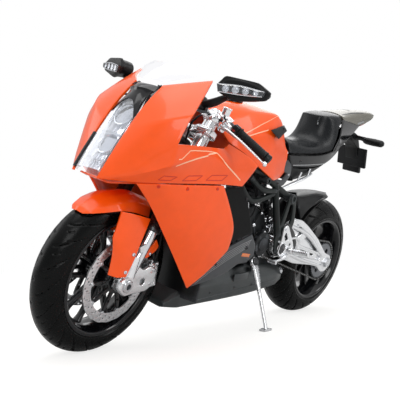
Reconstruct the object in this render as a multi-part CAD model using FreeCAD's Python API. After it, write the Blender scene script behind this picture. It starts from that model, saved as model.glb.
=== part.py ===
import FreeCAD, Part
import math, os

# 1:12 display model of a litre-class sports motorcycle, standing on its side stand.
# It is modelled upright, in millimetres: X forward from the rear axle, Y to the
# rider's left, Z up. At the end every piece is leaned onto the stand, centred in
# X and Y, and set down on Z = 0.

Vector = FreeCAD.Vector
ORIGIN = Vector(0, 0, 0)
ALONG = Vector(1, 0, 0)
ACROSS = Vector(0, 1, 0)
UP = Vector(0, 0, 1)
LEFT, RIGHT = 1, -1          # sign of Y on each side

# ---------------------------------------------------------------- driving dimensions (mm)
LEAN = 17.0                  # lean of the parked machine to the left, degrees
RAKE = 23.3                  # steering axis rake, degrees
STEER_REST = 5.8             # front end turned to the left at rest, degrees
STEER_BASE_X = 126.7         # where the steering axis meets z = 0
REAR_TYRE_R, REAR_CROWN = 26.7, 7.9      # tyre radius, tread crown radius
FRONT_TYRE_R, FRONT_CROWN = 25.0, 5.3
REAR_Z = REAR_TYRE_R         # rear axle height
FRONT_X, FRONT_Z = 119.2, 24.74          # front axle
REAR_AXLE = Vector(0, 0, REAR_Z)
FRONT_AXLE = Vector(FRONT_X, 0, FRONT_Z)
RIM_R = 18.0                 # bead seat radius of both wheels
AXLE_R = 1.2                 # both axles
RUN = 0.05                   # radial clearance of turning and sliding fits
FIT = 0.02                   # radial clearance of fixed fits
FORK_Y = 8.9                 # half the fork leg spacing
FORK_AHEAD = 2.6             # fork legs ahead of the steering axis
FORK_OUT_R, FORK_IN_R = 2.3, 1.8         # outer and inner fork tubes
STEM_R = 1.4                 # steering stem
DISC_T = 0.45                # brake disc thickness
FRONT_DISC_Y = 6.3
PIVOT = (43.4, 34.8)         # swingarm pivot x, z
PIVOT_R = 1.1
SHOCK_TOP = Vector(42.5, 0, 51.2)        # upper shock eye
SHOCK_LOW = Vector(34.5, 0, 40.2)        # lower shock eye
SMALL_SPROCKET = (53.4, 36.0)            # front sprocket x, z
SPROCKET_BAND = (8.6, 9.2)   # y range of both sprockets
STAND_PIVOT = Vector(55.3, 10.6, 28.9)
STAND_AXIS = Vector(0.0, 0.868, 0.498)
STAND_FOOT = Vector(55.5, 22.9, 7.2)
STAND_BOLT_R = 0.9
MIRROR_PIVOT = (107.0, 15.6)             # x, y of the upright mirror screw
MIRROR_SCREW_R = 0.55
BAR_INNER, BAR_OUTER = Vector(94.9, 10.9, 78.8), Vector(90.2, 27.6, 70.4)
BAR_R = 0.95                 # handlebar tube
LEVER_PIVOT = Vector(96.2, 13.4, 76.0)
LEVER_AXIS = Vector(0.0, 0.401, 0.916)
LEVER_PIN_R = 0.42
# x, y, z along the left lever, from the pivot outward
LEVER_POINTS = [(96.6, 16.6, 74.9), (95.9, 21.4, 73.0), (95.0, 26.2, 70.6), (94.5, 29.8, 68.7)]
FAIRING_SCREWS = [(120.4, 54.5), (109.6, 56.0), (97.3, 57.0)]   # x, z on each side

STEER_BASE = Vector(STEER_BASE_X, 0, 0)
STEER_UP = Vector(-math.sin(math.radians(RAKE)), 0, math.cos(math.radians(RAKE)))
STEER_AHEAD = Vector(math.cos(math.radians(RAKE)), 0, math.sin(math.radians(RAKE)))

# ---------------------------------------------------------------- panel cages
# Outer surface of each moulded panel. "points" are x, y, z. Where "columns" is given
# they run station by station with that many points in each, and "faces" otherwise
# lists the point numbers. "reverse" turns the station faces over so they face outward.
# "ring" joins each station's last point to its first. Centred panels give the left
# half only, paired ones the left panel. Cages without "thickness" are solid bodies
# with capped end stations.
CAGES = {
    "dash_cover": {"thickness": 0.6, "columns": 3, "points": [
        (120.6, 0, 81.2), (119.6, 3.0, 81.3), (118.6, 5.0, 80.8),
        (118.8, 0, 83.2), (117.8, 3.2, 83.4), (115.8, 4.6, 82.8),
        (113.6, 0, 82.3), (113.4, 5.6, 82.1), (113.2, 10.2, 81.0),
        (110.0, 0, 81.3), (109.8, 6.4, 81.1), (110.0, 12.6, 80.2),
        (106.8, 0, 80.3), (106.8, 6.6, 80.1), (107.2, 12.5, 79.2)]},
    "exhaust_box": {"columns": 6, "reverse": True, "points": [
        (95.4, 0, 12.9), (95.4, 4.6, 13.0), (95.4, 6.2, 13.5),
        (95.4, 6.2, 14.5), (95.4, 5.2, 15.1), (95.4, 0, 15.2),
        (89.6, 0, 12.5), (89.6, 6.1, 12.6), (89.6, 7.7, 13.3),
        (89.6, 7.7, 17.8), (89.6, 6.3, 18.9), (89.6, 0, 19.0),
        (83.6, 0, 12.7), (83.6, 6.4, 12.8), (83.6, 8.0, 13.7),
        (83.6, 8.0, 19.4), (83.6, 5.6, 21.6), (83.6, 0, 21.7),
        (67.0, 0, 13.2), (67.0, 6.4, 13.3), (67.0, 8.0, 14.4),
        (67.0, 8.0, 20.9), (67.0, 5.4, 24.3), (67.0, 0, 24.4),
        (53.0, 0, 13.8), (53.0, 6.4, 13.9), (53.0, 8.0, 15.2),
        (53.0, 8.0, 21.8), (53.0, 5.4, 26.2), (53.0, 0, 26.3),
        (44.7, 0, 14.5), (44.7, 6.4, 14.6), (44.7, 8.0, 15.9),
        (44.7, 8.0, 20.3), (44.7, 5.4, 25.8), (44.7, 0, 25.9),
        (32.0, 0, 16.0), (32.0, 6.4, 16.1), (32.0, 8.0, 17.4),
        (32.0, 8.0, 21.6), (32.0, 5.6, 25.8), (32.0, 0, 25.9),
        (27.5, 0, 18.2), (27.5, 5.6, 18.3), (27.5, 7.2, 19.2),
        (27.5, 7.2, 21.2), (27.5, 5.0, 24.6), (27.5, 0, 24.7)]},
    "fork_guard": {"thickness": 0.7, "columns": 3, "reverse": True, "points": [
        (125.53, 7.5, 46.74), (120.57, 8.83, 46.32), (114.21, 9.17, 44.95),
        (126.49, 7.83, 42.91), (122.37, 9.67, 42.24), (116.05, 10.0, 41.61),
        (127.45, 8.17, 39.21), (123.77, 10.17, 38.72), (117.69, 10.5, 38.24),
        (126.03, 8.33, 34.39), (123.97, 10.5, 34.64), (118.91, 10.83, 32.9),
        (126.44, 8.67, 28.23), (124.16, 10.33, 27.75), (120.96, 10.83, 27.81)]},
    "front_fender": {"thickness": 0.6, "columns": 4, "points": [
        (135.53, 0, 44.84), (135.4, 0.91, 44.67), (135.39, 1.78, 44.67), (135.24, 2.17, 44.48),
        (134.37, 0, 46.22), (134.13, 1.75, 45.88), (133.99, 3.42, 45.69), (133.58, 4.17, 45.1),
        (130.99, 0, 48.58), (130.73, 2.45, 48.06), (130.36, 4.78, 47.31), (129.67, 5.83, 45.92),
        (125.78, 0, 50.62), (125.61, 2.87, 49.95), (125.3, 5.6, 48.74), (124.78, 6.83, 46.7),
        (117.33, 0, 51.27), (117.37, 2.66, 50.64), (117.51, 5.19, 48.69), (117.71, 6.33, 45.9),
        (108.99, 0, 49.08), (109.21, 2.42, 48.55), (109.96, 4.71, 46.77), (111.01, 5.75, 44.26)]},
    "fuel_tank": {"thickness": 0.7, "columns": 5, "points": [
        (93.2, 0, 78.9), (92.7, 4.0, 78.7), (91.3, 7.5, 76.6),
        (87.41, 11.25, 71.12), (84.84, 12.5, 70.03),
        (87.0, 0, 82.6), (86.6, 4.0, 82.2), (80.1, 8.75, 81.61),
        (82.28, 12.5, 74.64), (77.61, 13.17, 67.8),
        (79.5, 0, 84.6), (79.0, 4.2, 84.2), (70.56, 9.0, 83.13),
        (75.64, 13.33, 76.49), (71.18, 13.33, 64.86),
        (71.0, 0, 85.5), (70.5, 4.6, 85.1), (62.66, 9.0, 83.65),
        (69.12, 13.17, 77.97), (65.37, 13.17, 62.83),
        (63.2, 0, 84.8), (62.8, 5.0, 84.4), (57.84, 8.33, 83.9),
        (61.83, 12.67, 75.15), (58.87, 12.67, 60.57),
        (57.6, 0, 81.6), (57.6, 5.0, 81.2), (54.0, 8.83, 81.05),
        (54.78, 11.0, 74.88), (52.26, 10.67, 61.43),
        (54.2, 0, 76.0), (54.4, 5.0, 75.7), (54.8, 8.6, 75.0),
        (50.01, 10.0, 71.63), (47.39, 9.33, 64.5)]},
    "headlight_lens": {"thickness": 0.5, "columns": 3, "points": [
        (134.21, 0, 55.4), (133.91, 3.03, 55.3), (132.71, 5.06, 55.2),
        (132.05, 0, 60.2), (131.75, 3.07, 60.1), (130.55, 5.11, 60.0),
        (129.04, 0, 66.2), (128.74, 3.11, 66.1), (127.54, 5.18, 66.0),
        (125.8, 0, 72.2), (125.5, 3.15, 72.1), (124.3, 5.24, 72.0),
        (122.96, 0, 77.2), (122.66, 2.64, 77.1), (121.46, 4.4, 77.0),
        (119.94, 0, 80.8), (119.64, 1.56, 80.7), (118.44, 2.6, 80.6)]},
    "hugger": {"thickness": 0.6, "columns": 4, "reverse": True, "points": [
        (-5.63, 0, 56.07), (-0.14, 3.0, 56.05), (1.91, 5.5, 55.23), (9.89, 6.83, 54.34),
        (2.11, 0, 56.84), (7.51, 3.33, 56.49), (11.34, 6.5, 54.01), (17.52, 8.17, 52.03),
        (11.51, 0, 56.19), (17.98, 3.83, 55.87), (21.17, 7.33, 52.97), (22.66, 8.67, 48.99),
        (19.98, 0, 54.68), (25.25, 3.83, 54.01), (27.86, 7.67, 49.85), (26.1, 8.83, 45.54)]},
    "inner_fairing": {"thickness": 0.7, "columns": 3, "reverse": True, "points": [
        (95.19, 16.33, 56.1), (86.96, 16.33, 57.33), (81.09, 16.5, 57.84),
        (89.04, 16.5, 51.21), (81.92, 16.5, 52.11), (76.58, 16.67, 52.52),
        (84.44, 16.5, 44.59), (77.85, 16.5, 46.02), (72.38, 16.67, 46.48),
        (83.77, 16.33, 37.69), (77.51, 16.42, 39.69), (69.8, 16.67, 42.19)]},
    "lower_cover": {"thickness": 0.7, "points": [
        (83.52, 15.83, 35.8), (77.24, 16.17, 38.38), (69.44, 16.5, 41.6),
        (89.22, 15.17, 29.27), (79.96, 15.5, 31.7), (71.49, 15.83, 35.08),
        (65.52, 16.17, 37.6), (93.75, 14.33, 23.47), (84.21, 14.33, 25.18),
        (76.46, 14.33, 27.0), (71.63, 14.83, 30.3), (66.87, 15.0, 30.76),
        (63.99, 15.5, 33.43)],
        "faces": [
        [3, 4, 1, 0], [4, 5, 2, 1], [5, 6, 2], [7, 8, 4, 3],
        [9, 10, 5, 4], [8, 9, 4], [11, 12, 6, 5], [10, 11, 5]]},
    "mirror_shell": {"columns": 7, "ring": True, "points": [
        (109.85, 23.38, 88.88), (107.33, 30.9, 88.7), (106.28, 34.03, 87.03),
        (106.52, 33.32, 85.14), (108.9, 26.22, 83.53), (110.08, 22.69, 84.85),
        (110.35, 21.9, 86.79),
        (109.76, 22.38, 89.5), (106.7, 31.5, 89.28), (105.43, 35.29, 87.27),
        (105.72, 34.43, 84.97), (108.61, 25.82, 83.02), (110.04, 21.54, 84.61),
        (110.37, 20.58, 86.97),
        (109.24, 22.04, 89.59), (106.09, 31.44, 89.37), (104.78, 35.35, 87.29),
        (105.08, 34.46, 84.92), (108.05, 25.58, 82.91), (109.54, 21.17, 84.55),
        (109.87, 20.18, 86.99),
        (107.14, 21.39, 89.56), (104.02, 30.69, 89.34), (102.72, 34.57, 87.28),
        (103.02, 33.68, 84.94), (105.96, 24.9, 82.95), (107.43, 20.53, 84.57),
        (107.76, 19.55, 86.98),
        (105.09, 21.22, 89.28), (102.25, 29.68, 89.08), (101.07, 33.19, 87.21),
        (101.34, 32.39, 85.08), (104.02, 24.41, 83.27), (105.35, 20.43, 84.75),
        (105.65, 19.54, 86.94)]},
    "nose_underside": {"thickness": 0.6, "columns": 2, "reverse": True, "points": [
        (130.9, 0, 54.1), (131.2, 4.5, 54.2), (128.4, 0, 53.0), (128.2, 4.6, 53.2),
        (122.0, 0, 53.9), (121.6, 7.6, 54.2), (113.0, 0, 54.7), (112.6, 9.6, 55.0)]},
    "seat": {"thickness": 1.0, "columns": 4, "points": [
        (49.5, 0, 77.4), (49.3, 5.0, 77.0), (48.6, 8.4, 74.6), (47.8, 9.5, 71.1),
        (40.0, 0, 75.8), (40.0, 5.0, 75.9), (38.6, 9.0, 74.6), (37.0, 10.2, 72.2),
        (30.0, 0, 75.8), (30.0, 5.0, 76.0), (28.0, 9.3, 75.2), (26.0, 10.4, 73.4),
        (25.4, 0, 78.0), (25.2, 5.0, 78.0), (21.6, 9.4, 77.4), (18.4, 10.4, 75.6),
        (23.6, 0, 83.0), (23.2, 5.0, 83.2), (18.6, 8.8, 82.0), (14.9, 9.6, 81.0),
        (22.6, 0, 88.0), (22.2, 5.0, 88.3), (19.2, 7.8, 88.3), (13.6, 8.3, 85.3),
        (17.0, 0, 90.2), (17.0, 4.6, 90.1), (15.6, 7.0, 89.6), (11.5, 7.7, 87.5),
        (11.6, 0, 90.9), (11.6, 4.4, 90.6), (11.2, 6.4, 90.0), (10.6, 7.3, 88.2)]},
    "side_fairing": {"thickness": 0.7, "points": [
        (124.96, 12.67, 55.26), (119.63, 16.33, 56.34), (109.31, 18.17, 57.25),
        (94.7, 19.08, 58.11), (118.66, 13.17, 49.89), (112.34, 17.08, 50.33),
        (101.74, 18.83, 51.45), (90.34, 19.25, 52.84), (112.99, 13.67, 43.3),
        (106.03, 17.33, 43.5), (95.96, 18.83, 44.6), (85.24, 19.25, 46.26),
        (105.43, 14.17, 34.77), (100.18, 17.0, 36.68), (91.83, 18.33, 37.54),
        (84.06, 18.5, 36.87), (100.85, 14.5, 29.35), (95.83, 16.0, 29.93),
        (89.79, 16.67, 28.85), (95.74, 14.83, 23.31), (83.96, 19.08, 42.67)],
        "faces": [
        [4, 5, 1, 0], [5, 6, 2, 1], [6, 7, 3, 2], [8, 9, 5, 4], [9, 10, 6, 5],
        [10, 11, 7, 6], [12, 13, 9, 8], [13, 14, 10, 9], [20, 11, 10], [14, 15, 20, 10],
        [16, 17, 13, 12], [17, 18, 14, 13], [18, 15, 14], [19, 17, 16], [19, 18, 17]]},
    "tail_cover": {"thickness": 0.7, "columns": 4, "points": [
        (10.4, 0, 91.3), (10.2, 4.6, 90.9), (9.9, 6.6, 90.1), (9.2, 7.5, 88.8),
        (-1.0, 0, 94.2), (-1.6, 3.9, 93.4), (-2.0, 5.6, 91.0), (-1.6, 6.1, 88.9),
        (-15.0, 0, 96.0), (-15.4, 3.2, 95.3), (-15.0, 4.0, 92.5), (-12.2, 4.3, 88.8),
        (-26.5, 0, 97.0), (-26.4, 2.2, 96.4), (-24.5, 3.0, 94.0), (-19.0, 3.0, 90.4),
        (-30.0, 0, 96.2), (-29.6, 1.4, 95.8), (-28.6, 1.8, 94.4), (-26.0, 2.2, 93.0)]},
    "tail_light": {"thickness": 0.5, "columns": 2, "reverse": True, "points": [
        (-11.4, 0, 87.7), (-11.6, 3.2, 87.8), (-19.5, 0, 89.6), (-19.5, 2.3, 89.7),
        (-26.6, 0, 92.4), (-26.4, 1.2, 92.5)]},
    "tail_side": {"thickness": 0.7, "points": [
        (48.2, 10.0, 70.3), (36.6, 10.9, 71.4), (25.4, 11.1, 72.7), (17.5, 11.1, 75.0),
        (13.6, 10.3, 80.8), (12.0, 8.95, 84.9), (9.8, 7.95, 87.9), (45.0, 9.7, 66.3),
        (34.0, 10.7, 66.9), (22.0, 10.5, 68.8), (14.5, 9.9, 73.0), (9.8, 9.2, 77.1),
        (-11.8, 4.25, 88.0), (-1.5, 6.8, 82.8), (4.5, 8.1, 84.0)],
        "faces": [
        [7, 8, 1, 0], [8, 9, 2, 1], [9, 10, 3, 2], [10, 11, 4, 3],
        [11, 14, 5, 4], [13, 14, 11], [14, 6, 5], [14, 13, 12, 6]]},
    "tank_insert": {"thickness": 0.25, "points": [
        (69.37, 13.83, 77.86), (56.88, 10.08, 80.62), (54.83, 10.58, 78.9),
        (63.04, 13.42, 75.48)],
        "faces": [[3, 2, 1, 0]]},
    "undertray": {"thickness": 0.7, "columns": 4, "reverse": True, "points": [
        (38.7, 0, 60.4), (38.7, 6.0, 60.0), (39.2, 8.3, 60.6), (44.4, 8.9, 65.4),
        (33.0, 0, 62.2), (33.0, 6.0, 62.0), (33.0, 8.3, 62.6), (34.0, 9.7, 66.0),
        (25.0, 0, 64.4), (25.0, 6.0, 64.2), (25.0, 8.3, 65.0), (22.4, 9.5, 67.8),
        (15.0, 0, 70.6), (15.0, 6.0, 70.4), (15.0, 8.0, 71.0), (14.6, 8.9, 72.0),
        (4.0, 0, 79.0), (4.0, 5.0, 79.0), (4.5, 6.6, 79.2), (6.0, 7.4, 79.8),
        (-9.0, 0, 86.2), (-9.0, 3.0, 86.2), (-8.6, 3.9, 86.3), (-8.0, 4.4, 86.5)]},
    "upper_fairing": {"thickness": 0.7, "points": [
        (116.36, 5.83, 83.23), (112.39, 11.5, 85.46), (106.59, 15.42, 87.77),
        (121.81, 5.75, 76.95), (118.68, 13.67, 79.8), (112.1, 18.25, 82.2),
        (125.82, 5.67, 69.84), (123.43, 14.92, 73.24), (117.11, 20.17, 76.6),
        (129.98, 5.58, 61.93), (125.98, 13.67, 65.47), (119.69, 20.25, 70.98),
        (133.32, 5.5, 54.51), (126.7, 14.0, 57.86), (120.65, 20.0, 62.4),
        (120.18, 20.25, 68.42), (125.17, 12.67, 55.59), (119.74, 16.33, 56.71),
        (109.45, 18.17, 57.66), (95.1, 19.17, 58.64), (85.63, 19.17, 58.49),
        (110.32, 18.83, 68.93), (100.26, 17.17, 69.0), (94.89, 15.83, 69.02),
        (92.1, 15.17, 70.68), (111.21, 19.67, 65.65), (101.1, 18.5, 67.83),
        (94.18, 19.25, 63.86), (86.86, 19.33, 60.1), (87.9, 15.83, 69.58),
        (81.49, 17.33, 67.64), (78.01, 18.0, 65.5), (83.13, 18.83, 60.54),
        (90.07, 17.67, 66.39)],
        "faces": [
        [3, 4, 1, 0], [4, 5, 2, 1], [6, 7, 4, 3], [7, 8, 5, 4], [9, 10, 7, 6],
        [10, 11, 8, 7], [12, 13, 10, 9], [13, 15, 11, 10], [13, 14, 15], [16, 13, 12],
        [16, 17, 14, 13], [14, 25, 21, 15], [25, 26, 22, 21], [17, 18, 25, 14],
        [18, 27, 26, 25], [19, 27, 18], [19, 20, 28, 27], [26, 23, 22],
        [33, 29, 24, 23], [26, 27, 33, 23], [30, 29, 33], [27, 31, 30, 33],
        [28, 32, 31, 27], [20, 32, 28]]},
    "windscreen": {"thickness": 0.4, "columns": 3, "points": [
        (119.6, 0, 84.2), (118.4, 3.2, 84.5), (116.2, 5.9, 84.3),
        (117.6, 0, 86.6), (115.6, 4.8, 86.8), (112.2, 9.8, 86.6),
        (115.0, 0, 89.0), (112.6, 6.0, 89.4), (107.6, 13.2, 88.9),
        (113.4, 0, 89.9), (110.6, 6.2, 90.6), (104.2, 13.0, 90.5)]},
}

# ---------------------------------------------------------------- helpers
def steer_point(height, ahead=0.0, left=0.0):
    """Point at a height up the steering axis, offset ahead of it and to the left."""
    return STEER_BASE + STEER_UP * height + STEER_AHEAD * ahead + Vector(0, left, 0)


def leg_point(height, side=LEFT):
    """Point on a fork leg's centre line."""
    return steer_point(height, FORK_AHEAD, side * FORK_Y)


def cylinder(base, direction, radius, length):
    return Part.makeCylinder(radius, length, Vector(*base), Vector(*direction))


def across(radius, y0, y1, x=0, z=0):
    """Cylinder parallel to Y between two y values."""
    return Part.makeCylinder(radius, y1 - y0, Vector(x, y0, z), ACROSS)


def ring_across(outer, inner, y0, y1):
    """Ring about the Y axis."""
    return across(outer, y0, y1).cut(across(inner, y0 - 1, y1 + 1))


def rod(start, end, radius):
    start, end = Vector(*start), Vector(*end)
    return Part.makeCylinder(radius, (end - start).Length, start, end - start)


def bent_rod(points, radius):
    """Parts of a rod through several points, with a ball at each bend."""
    parts = [rod(a, b, radius) for a, b in zip(points[:-1], points[1:])]
    return parts + [Part.makeSphere(radius, Vector(*p)) for p in points[1:-1]]


def flat_face(points):
    return Part.Face(Part.makePolygon(points + [points[0]]))


def prism(outline, y0, y1):
    """Extrude an x, z outline between two y planes."""
    return flat_face([Vector(x, y0, z) for x, z in outline]).extrude(Vector(0, y1 - y0, 0))


def box(x0, x1, y0, y1, z0, z1):
    return Part.makeBox(x1 - x0, y1 - y0, z1 - z0, Vector(x0, y0, z0))


def revolve(profile):
    """Revolve a radius, y profile about the Y axis."""
    return flat_face([Vector(r, y, 0) for r, y in profile]).revolve(ORIGIN, ACROSS, 360)


def fuse(shapes):
    return shapes[0].multiFuse(shapes[1:]).removeSplitter()


def flip(shape):
    """The same piece on the other side of the machine."""
    return shape.mirror(ORIGIN, ACROSS)


def largest(shape):
    return max(shape.Solids, key=lambda solid: solid.Volume)


def round_edges(shape, radius, wanted=None):
    """Round edges where the kernel can, and leave the piece alone where it cannot."""
    edges = [e for e in shape.Edges if wanted is None or wanted(e)]
    # guards against fillets that the kernel refuses on tight or fused edges
    try:
        rounded = shape.makeFillet(radius, edges)
        if rounded.isValid() and rounded.Volume > 0:
            return rounded
    except Exception:
        pass
    return shape


def moved(shape, offset):
    shape = shape.copy()
    shape.translate(offset)
    return shape


def aim(shape, point, direction):
    """Put a shape's origin at a point and its Z along a direction."""
    shape.Placement = FreeCAD.Placement(point, FreeCAD.Rotation(UP, direction))
    return shape


def turned_outline(points, angle):
    c, s = math.cos(angle), math.sin(angle)
    return [(x * c - z * s, x * s + z * c) for x, z in points]


def circle_angles(count):
    return [2 * math.pi * i / count for i in range(count)]


# ---------------------------------------------------------------- panels from cages
def cage_faces(table):
    """Face point numbers of a cage as tabulated."""
    if "faces" in table:
        return table["faces"]
    columns, count = table["columns"], len(table["points"])
    spans = columns if table.get("ring") else columns - 1
    faces = []
    for start in range(0, count - columns, columns):
        for k in range(spans):
            a, b = start + k, start + (k + 1) % columns
            faces.append([a, b, b + columns, a + columns])
    if "thickness" not in table:
        faces.append(list(range(columns))[::-1])
        faces.append(list(range(count - columns, count)))
    return [f[::-1] for f in faces] if table.get("reverse") else faces


def cage_triangles(name, side=None):
    """Points and triangles of a cage: one side of a pair, or both halves if no side."""
    table = CAGES[name]
    points, faces = list(table["points"]), cage_faces(table)
    if side == RIGHT:
        points = [(x, -y, z) for x, y, z in points]
        faces = [f[::-1] for f in faces]
    elif side is None:
        twin = {}                        # point number -> its mirrored point number
        for i, (x, y, z) in enumerate(table["points"]):
            if y == 0:
                twin[i] = i
            else:
                twin[i] = len(points)
                points.append((x, -y, z))
        faces = faces + [[twin[i] for i in f[::-1]] for f in faces]
    triangles = [(f[0], f[k], f[k + 1]) for f in faces for k in range(1, len(f) - 1)]
    return [Vector(*p) for p in points], triangles


def solid_from(triangles):
    """Solid bounded by corner triples, turned right side out."""
    shell = Part.Shell([flat_face(list(corners)) for corners in triangles])
    solid = Part.Solid(shell)
    if solid.Volume < 0:
        solid = Part.Solid(shell.reversed())
    return solid


def panel(name, side=None):
    """Moulded panel: the cage's outer skin offset inward by its thickness."""
    outer, triangles = cage_triangles(name, side)
    skin = [(outer[a], outer[b], outer[c]) for a, b, c in triangles]
    if "thickness" not in CAGES[name]:
        return solid_from(skin)
    # point normals weighted by the angle of each triangle at the point
    normals = [Vector(0, 0, 0) for _ in outer]
    for a, b, c in triangles:
        normal = (outer[b] - outer[a]).cross(outer[c] - outer[a])
        normal.normalize()
        for i, j, k in ((a, b, c), (b, c, a), (c, a, b)):
            angle = (outer[j] - outer[i]).getAngle(outer[k] - outer[i])
            normals[i] = normals[i] + normal * angle
    inner = []
    for point, normal in zip(outer, normals):
        normal.normalize()
        inner.append(point - normal * CAGES[name]["thickness"])
    skin += [(inner[a], inner[c], inner[b]) for a, b, c in triangles]
    edges = [e for a, b, c in triangles for e in ((a, b), (b, c), (c, a))]
    shared = set(edges)
    for i, j in edges:
        if (j, i) not in shared:         # an open edge gets a wall to the inner skin
            skin.append((outer[j], outer[i], inner[i]))
            skin.append((outer[j], inner[i], inner[j]))
    return solid_from(skin)


def skin_point(name, side, x, z):
    """Point and normal of a panel's outer skin seen along Y at x, z."""
    points, triangles = cage_triangles(name, side)
    for a, b, c in triangles:
        p, q, r = points[a], points[b], points[c]
        area = (q.x - p.x) * (r.z - p.z) - (r.x - p.x) * (q.z - p.z)
        if abs(area) < 1e-9:
            continue
        u = ((x - p.x) * (r.z - p.z) - (r.x - p.x) * (z - p.z)) / area
        w = ((q.x - p.x) * (z - p.z) - (x - p.x) * (q.z - p.z)) / area
        if u >= 0 and w >= 0 and u + w <= 1:
            normal = (q - p).cross(r - p)
            normal.normalize()
            return p + (q - p) * u + (r - p) * w, normal
    raise ValueError("screw off the panel")


# ---------------------------------------------------------------- wheels
BEAD_LIFT = 0.9              # sidewalls start this far outside the bead seat
BEAD_GAP = 0.03


def tyre(radius, crown, wall):
    """Tyre about the Y axis, with half its width at the beads."""
    crown_r = radius - crown             # radius of the crown circle's centre
    start = math.asin((RIM_R + BEAD_LIFT - crown_r) / crown)
    sweep = math.pi - 2 * start
    profile = []
    for i in range(23):
        a = start + sweep * i / 22
        profile.append((crown_r + crown * math.sin(a), crown * math.cos(a)))
    half = crown * math.cos(start) - 0.75
    bead_r = RIM_R + BEAD_GAP
    profile += [(bead_r, -half), (bead_r, -half + wall)]
    inside = crown - wall
    for i in range(13):
        a = math.pi - (start + sweep * i / 12)
        profile.append((max(RIM_R + BEAD_LIFT, crown_r + inside * math.sin(a)),
                        inside * math.cos(a)))
    profile += [(bead_r, half - wall), (bead_r, half)]
    return revolve(profile), half


def rim(bead_half, hub_r, hub_half, spread, hub_w, rim_w, spoke_half):
    """Rim with five pairs of spokes; hub_w and rim_w are half widths of a spoke's ends."""
    lip = bead_half + 0.45
    profile = [(RIM_R, lip), (RIM_R, -lip), (RIM_R - 0.9, -lip), (RIM_R - 1.5, -lip + 1.2),
               (RIM_R - 1.9, -1.2), (RIM_R - 1.9, 1.2), (RIM_R - 1.5, lip - 1.2),
               (RIM_R - 0.9, lip)]
    parts = [revolve(profile), across(hub_r, -hub_half, hub_half)]
    r0, r1 = hub_r * 0.7, RIM_R - 1.2    # spoke end radii
    for k in range(5):
        for way in (-1, 1):
            a = 2 * math.pi * k / 5 + math.pi / 2
            at_hub, at_rim = a + way * 0.35, a + way * spread
            x0, z0 = r0 * math.cos(at_hub), r0 * math.sin(at_hub)
            x1, z1 = r1 * math.cos(at_rim), r1 * math.sin(at_rim)
            length = math.hypot(x1 - x0, z1 - z0)
            nx, nz = -(z1 - z0) / length, (x1 - x0) / length
            spoke = [(x0 + nx * hub_w, z0 + nz * hub_w), (x0 - nx * hub_w, z0 - nz * hub_w),
                     (x1 - nx * rim_w, z1 - nz * rim_w), (x1 + nx * rim_w, z1 + nz * rim_w)]
            parts.append(prism(spoke, -spoke_half, spoke_half))
    return fuse(parts).cut(across(AXLE_R + RUN, -hub_half - 1, hub_half + 1))


def brake_disc(outer, inner, y, hole_rows, hub_r):
    """Drilled rotor band with a web of ten carrier arms."""
    y0, y1 = y - DISC_T / 2, y + DISC_T / 2
    band = ring_across(outer, inner, y0, y1)
    holes = []
    per_row = 22
    for row, radius in enumerate(hole_rows):
        for i in range(per_row):
            a = 2 * math.pi * (i + 0.5 * (row % 2)) / per_row
            holes.append(across(0.24, y - DISC_T, y + 1, radius * math.cos(a),
                                radius * math.sin(a)))
    band = band.cut(Part.makeCompound(holes))
    w = 0.42                             # half width of an arm
    arm = [(hub_r + 0.5, -w), (inner + 0.35, -w), (inner + 0.35, w), (hub_r + 0.5, w)]
    arms = [ring_across(hub_r + 1.0, hub_r, y0, y1)]
    arms += [prism(turned_outline(arm, a), y0, y1) for a in circle_angles(10)]
    return fuse([band] + arms)


def rear_sprocket():
    """Toothed plate with six round windows and a collar reaching in to the hub."""
    tooth = [(7.6, -0.34), (8.35, -0.12), (8.35, 0.12), (7.6, 0.34)]
    plate = fuse([across(7.75, *SPROCKET_BAND)]
                 + [prism(turned_outline(tooth, a), *SPROCKET_BAND) for a in circle_angles(38)])
    cuts = [across(1.15, 8, 10, 4.9 * math.cos(a), 4.9 * math.sin(a)) for a in circle_angles(6)]
    cuts.append(across(AXLE_R + RUN, 8, 10))
    plate = plate.cut(Part.makeCompound(cuts))
    return fuse([plate, ring_across(3.0, AXLE_R + RUN, 6.65, 8.85)])


# ---------------------------------------------------------------- swingarm group
# x, z outlines
ARM_OUTLINE = [
    (44.6, 32.3), (45.3, 35.0), (43.9, 37.2), (37.0, 44.6), (28.6, 45.0), (22.4, 43.0),
    (12.0, 38.0), (0.6, 31.4), (-3.6, 27.6), (-3.4, 24.2), (-0.6, 22.4), (3.0, 22.3),
    (7.2, 25.2), (14.0, 26.2), (28.6, 27.6), (40.6, 31.0)]
ARM_WINDOWS = [
    [(38.4, 39.4), (34.6, 42.3), (29.0, 42.6), (24.2, 40.8), (33.5, 36.6)],
    [(20.6, 39.2), (12.6, 35.6), (13.6, 33.0), (28.6, 35.2)],
    [(12.0, 31.4), (6.2, 29.2), (5.6, 27.9), (12.5, 28.9), (25.6, 31.0), (25.4, 33.0)]]
ARM_BRACE = [(30.0, 31.2), (33.6, 30.6), (38.2, 33.2), (37.6, 36.8), (34.2, 37.2), (30.0, 36.0)]
SHOCK_EAR = [(36.2, 36.6), (32.9, 36.6), (33.2, 40.4), (34.1, 41.5), (35.2, 41.4), (35.9, 40.4)]
ARM_IN, ARM_OUT = 9.75, 11.5             # y faces of the left arm


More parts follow.
